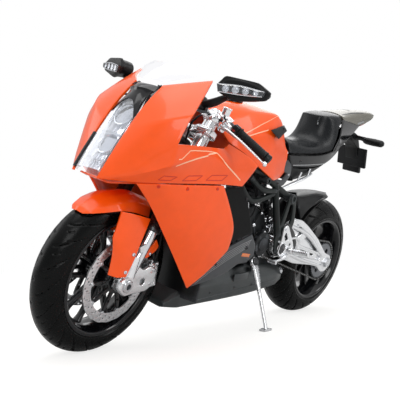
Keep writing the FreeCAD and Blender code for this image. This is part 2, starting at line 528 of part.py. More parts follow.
def swingarm():
    arm = prism(ARM_OUTLINE, ARM_IN, ARM_OUT)
    arm = arm.cut(Part.makeCompound([prism(w, ARM_IN - 1, ARM_OUT + 1) for w in ARM_WINDOWS]))
    arm = fuse([arm, across(2.6, ARM_IN, ARM_OUT, *PIVOT),
                across(2.9, ARM_IN, ARM_OUT, z=REAR_Z)])
    parts = [arm, flip(arm), prism(ARM_BRACE, -9.9, 9.9),
             across(2.0, -ARM_OUT, -7.2, *PIVOT), across(2.0, 7.2, ARM_OUT, *PIVOT)]
    parts += [prism(SHOCK_EAR, y, y + 0.9) for y in (1.5, -2.4)]
    parts.append(across(0.5, -2.4, 2.4, SHOCK_LOW.x, SHOCK_LOW.z))
    body = fuse(parts)
    body = body.cut(across(PIVOT_R + RUN, -15, 15, *PIVOT))
    return body.cut(across(AXLE_R + FIT, -15, 15, z=REAR_Z))


def rear_axle():
    """Axle with a hexagon at each end."""
    parts = [across(AXLE_R, -12.4, 12.4, z=REAR_Z)]
    for y in (11.55, -12.65):
        hexagon = [(2.1 * math.cos(a), REAR_Z + 2.1 * math.sin(a)) for a in circle_angles(6)]
        parts.append(prism(hexagon, y, y + 1.1))
    return fuse(parts)


def chain_outline(rear_r, front_r):
    """Closed x, z run round circles about the rear axle and the front sprocket."""
    dx, dz = SMALL_SPROCKET[0], SMALL_SPROCKET[1] - REAR_Z
    heading = math.atan2(dz, dx)
    contact = math.acos((rear_r - front_r) / math.hypot(dx, dz))
    steps = 24
    points = []
    for i in range(steps + 1):
        a = heading + contact + (2 * math.pi - 2 * contact) * i / steps
        points.append((rear_r * math.cos(a), REAR_Z + rear_r * math.sin(a)))
    for i in range(steps + 1):
        a = heading - contact + 2 * contact * i / steps
        points.append((SMALL_SPROCKET[0] + front_r * math.cos(a),
                       SMALL_SPROCKET[1] + front_r * math.sin(a)))
    return points


def drive_chain():
    loop = prism(chain_outline(9.35, 4.4), 8.45, 9.35)
    return loop.cut(prism(chain_outline(8.5, 3.55), 8.0, 10))


def rear_caliper():
    """Block slotted over the rear disc, above and ahead of the axle."""
    block = box(-2.4, 2.4, -9.0, -5.9, -1.6, 1.7).cut(box(-3, 3, -7.75, -6.85, -2.2, 0.9))
    block = round_edges(block, 0.4, lambda e: e.Length > 1.5)
    block.rotate(ORIGIN, ACROSS, 40)
    a = math.radians(50)
    block.translate(Vector(8.9 * math.cos(a), 0, REAR_Z + 8.9 * math.sin(a)))
    return block


# ---------------------------------------------------------------- rear shock
SHOCK_DOWN = (SHOCK_LOW - SHOCK_TOP).normalize()
SHOCK_LENGTH = (SHOCK_LOW - SHOCK_TOP).Length
SHAFT_R = 0.6
SPRING_R, SPRING_WIRE_R, SPRING_PITCH = 2.05, 0.3, 1.35
SPRING_SEAT_R, SPRING_SEAT_T = 2.5, 0.6


def shock_cylinder(radius, start, length):
    """Cylinder down the shock axis, starting a distance below the top eye."""
    return cylinder(SHOCK_TOP + SHOCK_DOWN * start, SHOCK_DOWN, radius, length)


def shock_body():
    x, z = SHOCK_TOP.x, SHOCK_TOP.z
    body = fuse([across(1.4, -1.2, 1.2, x, z), shock_cylinder(1.35, 0.8, 6.4),
                 shock_cylinder(SPRING_SEAT_R, 2.3, SPRING_SEAT_T)])
    body = body.cut(across(0.65, -2, 2, x, z))
    return body.cut(shock_cylinder(SHAFT_R + RUN, 3.6, 5.0))


def shock_shaft():
    x, z = SHOCK_LOW.x, SHOCK_LOW.z
    shaft = fuse([shock_cylinder(SHAFT_R, 5.6, SHOCK_LENGTH - 5.6 - 0.6),
                  across(1.3, -1.2, 1.2, x, z),
                  shock_cylinder(SPRING_SEAT_R, SHOCK_LENGTH - 2.3, SPRING_SEAT_T)])
    return shaft.cut(across(0.68, -2, 2, x, z))


def shock_spring():
    start, end = 3.25, SHOCK_LENGTH - 2.65
    helix = Part.makeHelix(SPRING_PITCH, end - start, SPRING_R)
    section = Part.Wire([Part.makeCircle(SPRING_WIRE_R, Vector(SPRING_R, 0, 0), ACROSS)])
    coil = Part.Wire(helix.Edges).makePipeShell([section], True, True)
    return aim(coil, SHOCK_TOP + SHOCK_DOWN * start, SHOCK_DOWN)


# ---------------------------------------------------------------- frame
FRAME_TUBES = [                          # radius, then x, y, z along a left-hand tube
    (1.22, [(98.8, 2.6, 60.6), (92.5, 7.6, 62.4), (84, 10.6, 64.4), (67.6, 10.6, 63.4),
            (42.6, 10.6, 54.6)]),
    (1.25, [(53.6, 10.9, 57.4), (46.6, 12.3, 39.6)]),
    (1.0, [(82, 10.5, 63.6), (67.5, 10.8, 51.5), (53.0, 10.9, 56.0)]),
    (0.95, [(69.5, 10.8, 60.4), (61.5, 11.6, 56.4), (54.0, 11.4, 56.6)]),
    (1.2, [(62.5, 9.6, 60.2), (62.5, 13.4, 60.2)]),
    (1.7, [(42.6, 9.4, 54.4), (42.6, 13.3, 54.4)])]
PIVOT_PLATE = [                          # x, z outline
    (45.0, 55.0), (41.0, 56.0), (39.6, 52.6), (37.4, 45.2), (40.0, 38.0),
    (40.6, 32.8), (43.0, 31.4), (46.4, 32.6), (48.6, 38.6), (46.6, 45.4)]
SUBFRAME_RAIL = [                        # x, z outline
    (41.6, 56.6), (36.5, 55.0), (33.0, 55.3), (24.0, 59.6), (16.4, 64.6),
    (16.4, 67.2), (24.4, 62.6), (32.2, 59.0), (36.0, 58.2), (41.0, 59.4)]


def frame_side(side):
    parts = []
    for radius, points in FRAME_TUBES:
        parts += bent_rod([(x, side * y, z) for x, y, z in points], radius)
    parts.append(prism(PIVOT_PLATE, *sorted((side * 12.05, side * 12.95))))
    return parts


def frame():
    body = fuse(frame_side(LEFT) + frame_side(RIGHT) + [
        cylinder(steer_point(64.6), STEER_UP, 3.0, 10.4),        # steering head
        rod((98.8, -2.6, 60.6), (98.8, 2.6, 60.6), 1.3),
        rod((42.6, -10.6, 54.6), (42.6, 10.6, 54.6), 1.15),
        across(0.6, -2.2, 2.2, SHOCK_TOP.x, SHOCK_TOP.z),        # upper shock pin
        box(41.6, 43.6, 1.35, 2.2, 50.4, 54.6),
        box(41.6, 43.6, -2.2, -1.35, 50.4, 54.6)])
    body = body.cut(cylinder(steer_point(60), STEER_UP, STEM_R + RUN, 20))
    body = body.cut(across(PIVOT_R + FIT, -15, 15, *PIVOT))
    for side in (RIGHT, LEFT):           # blind holes in the outer ends of the bosses
        inward = (0, -side, 0)
        body = body.cut(cylinder((42.6, side * 13.4, 54.4), inward, 0.8, 1.2))
        body = body.cut(cylinder((62.5, side * 13.5, 60.2), inward, 0.6, 1.2))
    return body


def subframe():
    """Two light tail rails and their cross pieces."""
    return fuse([prism(SUBFRAME_RAIL, 4.6, 5.8), prism(SUBFRAME_RAIL, -5.8, -4.6),
                 across(0.8, -5.0, 5.0, 38.0, 57.0), across(0.8, -5.0, 5.0, 20.0, 63.6)])


# ---------------------------------------------------------------- engine
CRANKCASE = [                            # x, z outline
    (47.6, 32.0), (50.6, 28.2), (60.0, 27.4), (82.0, 29.0), (87.6, 33.4), (87.2, 40.0),
    (80.6, 46.6), (70.0, 47.4), (60.0, 50.0), (52.0, 47.0), (47.8, 40.6)]


def engine_block():
    """Crankcase with the sprocket boss and the side stand lug."""
    block = round_edges(prism(CRANKCASE, -8.2, 8.2), 0.9)
    block = fuse([block, across(2.6, 7.0, 8.35, *SMALL_SPROCKET)])
    return fuse([block, box(52.6, 58.0, 5.6, 8.3, 27.6, 31.6)])


def crankcase(block):
    """Engine block with the front sprocket, bored and faced for the side stand."""
    sprocket = fuse([across(2.85, *SPROCKET_BAND, *SMALL_SPROCKET),
                     across(1.5, 8.2, 9.6, *SMALL_SPROCKET)])
    body = fuse([block, sprocket])
    body = body.cut(cylinder(STAND_PIVOT - STAND_AXIS * 4.0, STAND_AXIS, STAND_BOLT_R + FIT, 6))
    return body.cut(cylinder(STAND_PIVOT - STAND_AXIS * 0.72, STAND_AXIS, 2.2, 6))


def engine_cylinder(base, direction, length, block):
    """Barrel with cooling fins, then the head and the cam cover."""
    direction = Vector(*direction).normalize()

    def slab(start, width, depth, height):
        shape = Part.makeBox(width, depth, height, Vector(-width / 2, -depth / 2, 0))
        return aim(shape, Vector(*base) + direction * start, direction)

    parts = [slab(0, 7.6, 9.4, length)]
    parts += [slab(1.2 + i * 1.35, 9.2, 11.0, 0.55) for i in range(4)]
    parts += [slab(length - 5.2, 8.8, 10.6, 3.2), slab(length - 1.6, 7.4, 9.0, 2.2)]
    return fuse(parts).cut(block)


def engine_cover(centre, radius, y0, y1, bolts):
    """Round left-side cover with bolt bosses round its edge and a raised centre."""
    x, z = centre

    def on_outer_face(edge):
        bounds = edge.BoundBox
        return abs(bounds.YMin - y1) < 1e-3 and abs(bounds.YMax - y1) < 1e-3

    lid = round_edges(across(radius, y0, y1, x, z), 0.45, on_outer_face)
    reach = radius + 0.1
    bosses = [across(0.7, y0, y0 + (y1 - y0) * 0.7, x + reach * math.cos(a),
                     z + reach * math.sin(a)) for a in circle_angles(bolts)]
    return fuse([lid] + bosses + [across(radius * 0.55, y1 - 0.3, y1 + 0.45, x, z)])


def engine_covers():
    return [engine_cover((66.5, 38.2), 5.6, 8.25, 10.6, 7),
            flip(engine_cover((64.5, 38.4), 7.0, 8.25, 11.2, 8)),
            engine_cover(SMALL_SPROCKET, 4.7, 9.75, 11.3, 4)]


def radiator():
    """Core with a tank at each side and slots across its front face."""
    body = fuse([box(89.6, 91.6, -11.6, 11.6, 37.4, 55.6),
                 box(89.4, 91.8, -13.0, -11.6, 36.8, 56.2),
                 box(89.4, 91.8, 11.6, 13.0, 36.8, 56.2)])
    slots = []
    for i in range(16):
        z = 38.1 + i * 1.06
        slots.append(box(91.25, 92.2, -11.2, 11.2, z, z + 0.5))
    return body.cut(Part.makeCompound(slots))


def exhaust_box():
    """Exhaust box with two outlets in its rear end."""
    body = panel("exhaust_box")
    for y in (-5.2, 5.2):
        body = body.cut(cylinder((29.6, y, 22.2), (-1, 0, 0), 1.3, 6))
    return body


# ---------------------------------------------------------------- bodywork and fittings
# x, z outlines
LAMP_TRAY = [(129.9, 55.6), (131.6, 55.9), (123.3, 72.0), (118.9, 79.6), (117.6, 79.0),
             (114.4, 74.4), (121.0, 58.0)]
LAMP_TRAY_HOLLOW = [(133.5, 57.2), (125.3, 73.0), (119.9, 81.5), (117.9, 77.2),
                    (117.0, 74.6), (123.0, 59.6)]
REFLECTORS = [(120.6, 71.6, 2.9), (124.9, 63.4, 2.7)]    # x, z, mouth radius
PLATE_ARM = [(-8.0, 85.2), (-12.0, 85.6), (-16.4, 84.6), (-20.6, 79.6), (-22.6, 74.0),
             (-21.0, 73.4), (-17.4, 79.0), (-11.5, 81.6)]
PLATE_WIDE = [(-19.0, 79.0), (-20.4, 79.0), (-23.4, 70.6), (-22.2, 70.2)]
PLATE_NARROW = [(-19.6, 78.0), (-21.4, 78.2), (-25.4, 67.8), (-23.6, 67.4)]
REARSET_PLATE = [(45.6, 33.4), (42.0, 30.8), (37.0, 31.6), (35.2, 34.6), (37.2, 37.4),
                 (43.0, 44.0), (45.0, 43.0), (44.6, 38.4)]


def headlight_housing():
    """Open-fronted tray behind the lens, with a reflector cup for each lamp."""
    parts = [prism(LAMP_TRAY, -4.3, 4.3).cut(prism(LAMP_TRAY_HOLLOW, -3.6, 3.6))]
    facing = Vector(0.87, 0, 0.49)
    for x, z, radius in REFLECTORS:
        base = Vector(x, 0, z)
        hollow = Part.makeCone(0.75, radius - 0.25, 2.7, base + facing * 0.3, facing)
        parts.append(Part.makeCone(1.0, radius, 2.6, base, facing).cut(hollow))
    return parts


def indicator(side):
    stalk = rod((-13.6, side * 3.1, 83.5), (-12.6, side * 9.0, 83.4), 0.75)
    lamp = round_edges(Part.makeBox(3.2, 9.2, 2.7, Vector(-1.6, 0, -1.35)), 0.8)
    if side == RIGHT:
        lamp = flip(lamp)
    lamp.translate(Vector(-12.3, side * 8.6, 82.9))
    return fuse([stalk, lamp])


def plate_holder():
    holder = fuse([prism(PLATE_ARM, -3.0, 3.0), prism(PLATE_WIDE, -7.3, 7.3),
                   prism(PLATE_NARROW, -4.4, 4.4)])
    return [holder, indicator(LEFT), indicator(RIGHT)]


def rearset():
    """Left footrest plate with its peg and pedal."""
    plate = prism(REARSET_PLATE, 13.15, 14.0).cut(across(2.1, 12, 16, *PIVOT))
    peg = fuse([rod((38.4, 13.4, 34.0), (37.4, 22.4, 35.2), 0.95),
                across(1.5, 13.2, 14.8, 38.4, 34.0)])
    pedal = fuse([rod((40.2, 14.4, 32.0), (52.6, 15.4, 30.8), 0.5),
                  rod((52.6, 14.6, 30.8), (52.8, 18.6, 31.0), 0.7),
                  rod((40.2, 13.2, 32.0), (40.2, 15.0, 32.0), 0.9)])
    return fuse([plate, peg, pedal])


def screwed_side_fairing(side):
    """Side panel bored for its screws, and the button-headed screws."""
    body, screws = panel("side_fairing", side), []
    for x, z in FAIRING_SCREWS:
        point, normal = skin_point("side_fairing", side, x, z)
        if (point.y > 0) != (normal.y > 0):
            normal = normal * -1.0
        screw = fuse([cylinder(point + normal * 0.02, normal, 0.52, 0.32),
                      cylinder(point - normal * 1.4, normal, 0.22, 1.5)])
        screws.append(screw.cut(cylinder(point + normal * 0.16, normal, 0.2, 0.3)))
        body = body.cut(cylinder(point - normal * 1.5, normal, 0.27, 3.0))
    return body, screws


# ---------------------------------------------------------------- side stand and pivots
def side_stand():
    leg_dir = (STAND_FOOT - STAND_PIVOT).normalize()
    leg_length = (STAND_FOOT - STAND_PIVOT).Length
    eye_r = 1.65                         # the leg starts this far from the pivot
    eye = cylinder(STAND_PIVOT - STAND_AXIS * 0.65, STAND_AXIS, 1.8, 1.3)
    leg = Part.makeCone(1.1, 0.8, leg_length - eye_r, STAND_PIVOT + leg_dir * eye_r, leg_dir)
    pad = prism([(53.0, 0.0), (58.4, 0.0), (58.8, 0.75), (52.6, 0.75)], -2.0, 2.0)
    # the sole is parallel to the ground, and level with the rear tyre's
    # lowest point, once the machine leans
    lean, foot_y = math.radians(LEAN), STAND_FOOT.y
    pad.rotate(ORIGIN, ALONG, LEAN)
    drop = REAR_CROWN * (1 - math.cos(lean))
    pad.translate(Vector(0, foot_y, (foot_y * math.sin(lean) - drop) / math.cos(lean)))
    tang_start = STAND_PIVOT + leg_dir * 10.5
    tang = rod(tang_start, tang_start + Vector(2.6, 1.6, 0.4), 0.45)
    stand = fuse([eye, leg, pad, tang])
    return stand.cut(cylinder(STAND_PIVOT - STAND_AXIS * 3, STAND_AXIS, STAND_BOLT_R + RUN, 6))


def mirror_screw(side):
    """Tab with the upright screw that the mirror folds round."""
    tab = [(105.9, 14.8), (106.2, 16.5), (107.8, 16.9), (114.5, 17.5), (114.7, 16.3),
           (108.0, 14.6)]                # x, y outline
    plate = flat_face([Vector(x, side * y, 78.2) for x, y in tab]).extrude(Vector(0, 0, 0.7))
    x, y = MIRROR_PIVOT
    return fuse([plate, cylinder((x, side * y, 78.7), UP, MIRROR_SCREW_R, 2.7)])


def pivot_bolts():
    swingarm_bolt = fuse([across(PIVOT_R, -13.7, 13.7, *PIVOT), across(1.9, 13.0, 13.9, *PIVOT),
                          across(1.9, -13.9, -13.0, *PIVOT)])
    stand_bolt = fuse([
        cylinder(STAND_PIVOT - STAND_AXIS * 2.6, STAND_AXIS, STAND_BOLT_R, 3.6),
        cylinder(STAND_PIVOT + STAND_AXIS * 0.75, STAND_AXIS, 1.5, 0.5)])
    return [swingarm_bolt, stand_bolt, mirror_screw(LEFT), mirror_screw(RIGHT)]


# ---------------------------------------------------------------- front end, straight ahead
def fork_outer(side):
    tube = cylinder(leg_point(43.5, side), STEER_UP, FORK_OUT_R, 41.9)
    cap = cylinder(leg_point(85.2, side), STEER_UP, FORK_OUT_R - 0.25, 1.0)
    bore = cylinder(leg_point(41.0, side), STEER_UP, FORK_IN_R + RUN, 11.0)
    return fuse([tube, cap]).cut(bore)


def triple_clamp(height, thickness, half_width, back):
    """Plate joining the two fork legs and the stem."""
    half = [(-back, 4.6), (-1.0, 7.0), (-0.4, half_width), (5.6, half_width), (5.9, 7.4),
            (3.2, 4.0)]                  # ahead, left
    outline = [(-back, -4.6)] + half + [(ahead, -y) for ahead, y in half[:0:-1]]
    plate = flat_face([steer_point(height, ahead, y) for ahead, y in outline])
    plate = round_edges(plate.extrude(STEER_UP * thickness), 0.35)
    for side in (RIGHT, LEFT):
        plate = plate.cut(cylinder(leg_point(height - 2, side), STEER_UP, FORK_OUT_R + FIT, 8))
    return plate


def lower_clamp():
    stem = cylinder(steer_point(61.0), STEER_UP, STEM_R, 19.4)
    return fuse([triple_clamp(60.2, 3.2, 11.9, 3.4), stem])


def upper_clamp():
    bore = cylinder(steer_point(75.0), STEER_UP, STEM_R + FIT, 8)
    return triple_clamp(77.2, 2.2, 12.0, 3.6).cut(bore)


BAR_DIR = (BAR_OUTER - BAR_INNER).normalize()
BAR_LENGTH = (BAR_OUTER - BAR_INNER).Length


def bar_point(distance):
    return BAR_INNER + BAR_DIR * distance


def clip_on():
    """Left handlebar with its fork clamp, lever perch and lever pin."""
    clamp = cylinder(leg_point(82.0), STEER_UP, 3.1, 2.6)
    clamp = fuse([clamp, rod(BAR_INNER, BAR_OUTER, BAR_R)])
    clamp = clamp.cut(cylinder(leg_point(79.0), STEER_UP, FORK_OUT_R + FIT, 9))
    centre = bar_point(2.6)
    perch = round_edges(Part.makeBox(2.7, 2.7, 2.6, Vector(-1.35, -1.35, -1.3)), 0.35)
    perch = aim(perch, centre, BAR_DIR)
    pin_base = LEVER_PIVOT - LEVER_AXIS * 1.75
    lug = cylinder(pin_base, LEVER_AXIS, 1.15, 1.0)
    pin = cylinder(pin_base, LEVER_AXIS, LEVER_PIN_R, 2.6)
    arm = fuse(bent_rod([centre + Vector(-0.3, -0.3, 0), (93.8, 12.5, 75.2),
                         LEVER_PIVOT - LEVER_AXIS * 1.25], 0.6))
    # room for the lever eye and for the lever through its swing
    room = [cylinder(LEVER_PIVOT - LEVER_AXIS * 0.6, LEVER_AXIS, 1.35, 3.2)]
    for degrees in (0, -3, -6, 3, 6):
        swung = fuse(bent_rod([LEVER_PIVOT] + LEVER_POINTS[:2], 0.72))
        swung.rotate(LEVER_PIVOT, LEVER_AXIS, degrees)
        room.append(swung)
    body = fuse([clamp, perch, lug, arm])
    for clearance in room:
        body = body.cut(clearance)
    return fuse([largest(body), pin])


def grip():
    bore = cylinder(bar_point(3), BAR_DIR, BAR_R + FIT, BAR_LENGTH)
    return cylinder(bar_point(7.1), BAR_DIR, 1.45, BAR_LENGTH - 7.3).cut(bore)


def switch_block():
    block = round_edges(Part.makeBox(3.3, 3.0, 2.9, Vector(-1.5, -1.5, -1.45)), 0.4)
    block = aim(block, bar_point(5.5), BAR_DIR)
    return block.cut(cylinder(bar_point(2), BAR_DIR, BAR_R + FIT, BAR_LENGTH))


def lever():
    """Left hand lever."""
    parts = [cylinder(LEVER_PIVOT - LEVER_AXIS * 0.45, LEVER_AXIS, 1.1, 0.9)]
    parts += bent_rod([LEVER_PIVOT] + LEVER_POINTS, 0.5)
    parts.append(Part.makeSphere(0.85, Vector(*LEVER_POINTS[-1])))
    bore = cylinder(LEVER_PIVOT - LEVER_AXIS * 2.5, LEVER_AXIS, LEVER_PIN_R + RUN, 5)
    return fuse(parts).cut(bore)


def fuel_tank():
    """Tank relieved where the clip-on clamps pass its front corners near full lock."""
    tank = panel("fuel_tank")
    for degrees in (-20.4, -19, -17.5, -16, -14.5, -13, -11.5,
                    11.5, 13, 14.5, 16, 17.5, 19, 20.4):
        for side in (LEFT, RIGHT):
            sweep = cylinder(leg_point(81.7), STEER_UP, 3.22, 3.2)
            if side == RIGHT:
                sweep = flip(sweep)
            sweep.rotate(steer_point(70), STEER_UP, degrees)
            tank = tank.cut(sweep)
    return largest(tank)


CALIPER_BRACKET = [                      # x, z outline
    (117.4, 27.9), (119.6, 24.0), (115.0, 22.6), (109.6, 22.8), (107.0, 25.6),
    (107.6, 28.2), (112.6, 28.0)]


def fork_slider():
    """Left lower leg: inner tube, axle clamp and caliper bracket in one."""
    leg = fuse([cylinder(leg_point(26.4), STEER_UP, FORK_IN_R, 21.0),
                across(2.9, 7.1, 10.8, FRONT_X, FRONT_Z),
                prism(CALIPER_BRACKET, 9.05, 9.9),
                cylinder(leg_point(25.6), STEER_UP, 1.88, 4.2)])
    return leg.cut(across(AXLE_R + FIT, 0, 20, FRONT_X, FRONT_Z))


def front_caliper():
    """Left caliper: a block slotted over the disc, with two round pads outside."""
    inner_y = 5.25
    block = Part.makeBox(4.2, 3.4, 8.2, Vector(-2.1, 0, -4.1))
    block = round_edges(block, 0.5, lambda e: e.Length > 1.0)
    block = fuse([block] + [cylinder((0, 3.3, z), ACROSS, 1.35, 0.45) for z in (-1.9, 1.9)])
    slot = Part.makeBox(3.4, 1.0, 9, Vector(-1.2, FRONT_DISC_Y - 0.5 - inner_y, -4.5))
    block = block.cut(slot)
    block.rotate(ORIGIN, ACROSS, 8)
    a = math.radians(172)
    block.translate(Vector(FRONT_X + 12.4 * math.cos(a), inner_y,
                           FRONT_Z + 12.4 * math.sin(a)))
    return block


def front_axle():
    axle = fuse([across(AXLE_R, -11.3, 11.3, FRONT_X, FRONT_Z),
                 across(1.9, 10.85, 11.45, FRONT_X, FRONT_Z),
                 across(1.9, -11.45, -10.85, FRONT_X, FRONT_Z)])
    return axle.cut(across(0.7, -12, 12, FRONT_X, FRONT_Z))


# ---------------------------------------------------------------- mirrors
# x, y, z corners of the left stalk's lower and upper ends
STALK_FOOT = [(109.6, 14.0, 79.4), (104.6, 14.2, 79.9), (104.4, 14.2, 82.0), (108.4, 14.0, 82.4)]
STALK_HEAD = [(107.2, 23.4, 83.4), (104.8, 23.8, 83.2), (104.8, 24.2, 85.6), (107.0, 23.8, 86.0)]
# x, y, z round the left mirror lamp
LAMP_RIM = [(110.75, 21.33, 86.84), (108.72, 27.38, 87.49), (106.47, 34.1, 87.12),
            (106.56, 33.83, 85.77), (108.43, 28.24, 85.08), (110.53, 21.98, 84.83)]


def mirror(side):
    """Mirror shell on its four-sided stalk, bored for the upright screw."""
    corners = [Vector(x, side * y, z) for x, y, z in STALK_FOOT + STALK_HEAD]
    triangles = [(0, 1, 2), (0, 2, 3), (4, 6, 5), (4, 7, 6)]
    for i in range(4):
        j = (i + 1) % 4
        triangles += [(i, i + 4, j + 4), (i, j + 4, j)]
    stalk = solid_from([(corners[a], corners[b], corners[c]) for a, b, c in triangles])
    x, y = MIRROR_PIVOT
    bore = cylinder((x, side * y, 78.4), UP, MIRROR_SCREW_R + RUN, 3.2)
    return fuse([panel("mirror_shell", side), stalk]).cut(bore)


def mirror_lamp(side, mirror_body):
    """Thin lamp on the front of the mirror, trimmed to the shell behind it."""
    back = [Vector(x, side * y, z) for x, y, z in LAMP_RIM]
    front = [p + Vector(0.43, side * 0.14, 0) for p in back]
    back_centre = Vector(0, 0, 0)
    for p in back:
        back_centre = back_centre + p
    back_centre = back_centre * (1.0 / len(back))
    front_centre = back_centre + Vector(0.52, side * 0.17, 0)
    triangles = []
    for i in range(len(back)):
        j = (i + 1) % len(back)
        triangles += [(front[i], front[j], front_centre), (back[j], back[i], back_centre),
                      (back[i], back[j], front[j]), (back[i], front[j], front[i])]
    return largest(solid_from(triangles).cut(mirror_body))


# ---------------------------------------------------------------- all pieces
front_tyre, front_half = tyre(FRONT_TYRE_R, FRONT_CROWN, wall=1.1)
rear_tyre, rear_half = tyre(REAR_TYRE_R, REAR_CROWN, wall=1.3)
front_rim = rim(front_half, hub_r=2.7, hub_half=5.0, spread=0.24,
                hub_w=0.62, rim_w=0.55, spoke_half=1.0)
rear_rim = rim(rear_half, hub_r=3.2, hub_half=6.6, spread=0.22,
               hub_w=0.72, rim_w=0.62, spoke_half=1.3)
front_disc = brake_disc(13.3, 10.2, FRONT_DISC_Y, hole_rows=(10.9, 11.75, 12.6), hub_r=2.8)
rear_disc = brake_disc(9.2, 6.3, -7.3, hole_rows=(7.0, 7.75, 8.5), hub_r=2.0)
block = engine_block()
side_left, screws_left = screwed_side_fairing(LEFT)
side_right, screws_right = screwed_side_fairing(RIGHT)
mirror_left, mirror_right = mirror(LEFT), mirror(RIGHT)


def both_sides(left_piece):
    return [flip(left_piece), left_piece]


fixed = {
    "rear_tyre": [moved(rear_tyre, REAR_AXLE)],
    "rear_rim": [moved(rear_rim, REAR_AXLE)],
    "rear_disc": [moved(rear_disc, REAR_AXLE)],
    "rear_sprocket": [moved(rear_sprocket(), REAR_AXLE)],
    "swingarm": [swingarm()],
    "rear_axle": [rear_axle()],
    "drive_chain": [drive_chain()],
    "rear_caliper": [rear_caliper()],
    "shock_body": [shock_body()],
    "shock_shaft": [shock_shaft()],
    "shock_spring": [shock_spring()],
    "frame": [frame()],
    "subframe": [subframe()],
    "crankcase": [crankcase(block)],
    "cylinders": [engine_cylinder((76.4, 0, 46.2), (0.62, 0, 0.785), 13.0, block),
                  engine_cylinder((58.2, 0, 49.2), (-0.18, 0, 0.984), 12.0, block)],
    "engine_covers": engine_covers(),
    "radiator": [radiator()],
    "exhaust_box": [exhaust_box()],
    "upper_fairing_left": [panel("upper_fairing", LEFT)],
    "upper_fairing_right": [panel("upper_fairing", RIGHT)],
    "side_fairing_left": [side_left],
    "side_fairing_right": [side_right],
    "fairing_screws": screws_left + screws_right,
    "headlight_housing": headlight_housing(),
    "fuel_tank": [fuel_tank()],
    "plate_holder": plate_holder(),
    "rearsets": both_sides(rearset()),
    "side_stand": [side_stand()],
    "pivot_bolts": pivot_bolts(),
    "mirror_left": [mirror_left],
    "mirror_right": [mirror_right],
    "mirror_lamp_left": [mirror_lamp(LEFT, mirror_left)],
    "mirror_lamp_right": [mirror_lamp(RIGHT, mirror_right)],
}
for name in ("hugger", "nose_underside", "headlight_lens", "dash_cover", "windscreen",
             "seat", "undertray", "tail_cover", "tail_light"):
    fixed[name] = [panel(name)]
for cage in ("inner_fairing", "lower_cover", "tank_insert", "tail_side"):
    fixed[cage + "s"] = [panel(cage, LEFT), panel(cage, RIGHT)]

steered = {
    "front_tyre": [moved(front_tyre, FRONT_AXLE)],
    "front_rim": [moved(front_rim, FRONT_AXLE)],
    "front_discs": [moved(front_disc, FRONT_AXLE), moved(flip(front_disc), FRONT_AXLE)],
    "fork_outers": [fork_outer(RIGHT), fork_outer(LEFT)],
    "lower_clamp": [lower_clamp()],
    "upper_clamp": [upper_clamp()],
    "clip_ons": both_sides(clip_on()),
    "grips_and_switches": both_sides(grip()) + both_sides(switch_block()),
    "clutch_lever": [lever()],
    "brake_lever": [flip(lever())],
    "fork_sliders": both_sides(fork_slider()),
    "front_calipers": both_sides(front_caliper()),
    "front_axle": [front_axle()],
    "front_fender": [panel("front_fender"), panel("fork_guard", LEFT),
                     panel("fork_guard", RIGHT)],
}


# ---------------------------------------------------------------- lean, set down, write
def parked(solids, steer_angle):
    """One shape from a piece's solids, turned with the steering and leaned."""
    out = []
    for solid in solids:
        solid = solid.copy()
        if steer_angle:
            solid.rotate(STEER_BASE, STEER_UP, steer_angle)
        solid.rotate(ORIGIN, ALONG, -LEAN)
        out += solid.Solids
    return Part.makeCompound(out) if len(out) > 1 else out[0]


shapes = {name: parked(solids, 0) for name, solids in fixed.items()}
shapes.update({name: parked(solids, STEER_REST) for name, solids in steered.items()})

bounds = FreeCAD.BoundBox()
for shape in shapes.values():
    bounds.add(shape.optimalBoundingBox(True, False))
set_down = Vector(-(bounds.XMin + bounds.XMax) / 2, -(bounds.YMin + bounds.YMax) / 2,
                  -bounds.ZMin)

os.makedirs("parts", exist_ok=True)
for name, shape in shapes.items():
    shape.translate(set_down)
    shape.exportStep("parts/" + name + ".step")
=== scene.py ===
# A small sport motorcycle leaning to its left on a side stand, bars turned a little to the left.
# Shapes are given in "bike" coordinates: millimetres, machine upright, X forward of the rear
# axle, Y left, Z up from the ground. BIKE leans the machine and places it in metres;
# FRONT also turns it about the steering axis, for everything that steers.
import bpy, bmesh, math, random
import numpy as np
from mathutils import Vector, Matrix
from mathutils.bvhtree import BVHTree


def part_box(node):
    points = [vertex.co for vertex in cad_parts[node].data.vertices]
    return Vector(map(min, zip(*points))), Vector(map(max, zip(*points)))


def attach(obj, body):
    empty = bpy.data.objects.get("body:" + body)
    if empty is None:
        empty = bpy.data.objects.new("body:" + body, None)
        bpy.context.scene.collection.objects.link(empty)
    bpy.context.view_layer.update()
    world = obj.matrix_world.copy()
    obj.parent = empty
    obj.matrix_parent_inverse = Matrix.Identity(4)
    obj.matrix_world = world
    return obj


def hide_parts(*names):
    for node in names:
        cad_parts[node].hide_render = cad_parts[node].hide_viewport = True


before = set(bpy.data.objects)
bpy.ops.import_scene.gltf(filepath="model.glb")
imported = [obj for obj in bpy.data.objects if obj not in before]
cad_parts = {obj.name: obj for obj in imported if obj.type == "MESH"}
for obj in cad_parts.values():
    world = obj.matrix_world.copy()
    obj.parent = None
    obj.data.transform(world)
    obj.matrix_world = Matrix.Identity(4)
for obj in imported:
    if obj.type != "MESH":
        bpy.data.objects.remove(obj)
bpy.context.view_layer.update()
random.seed(7)

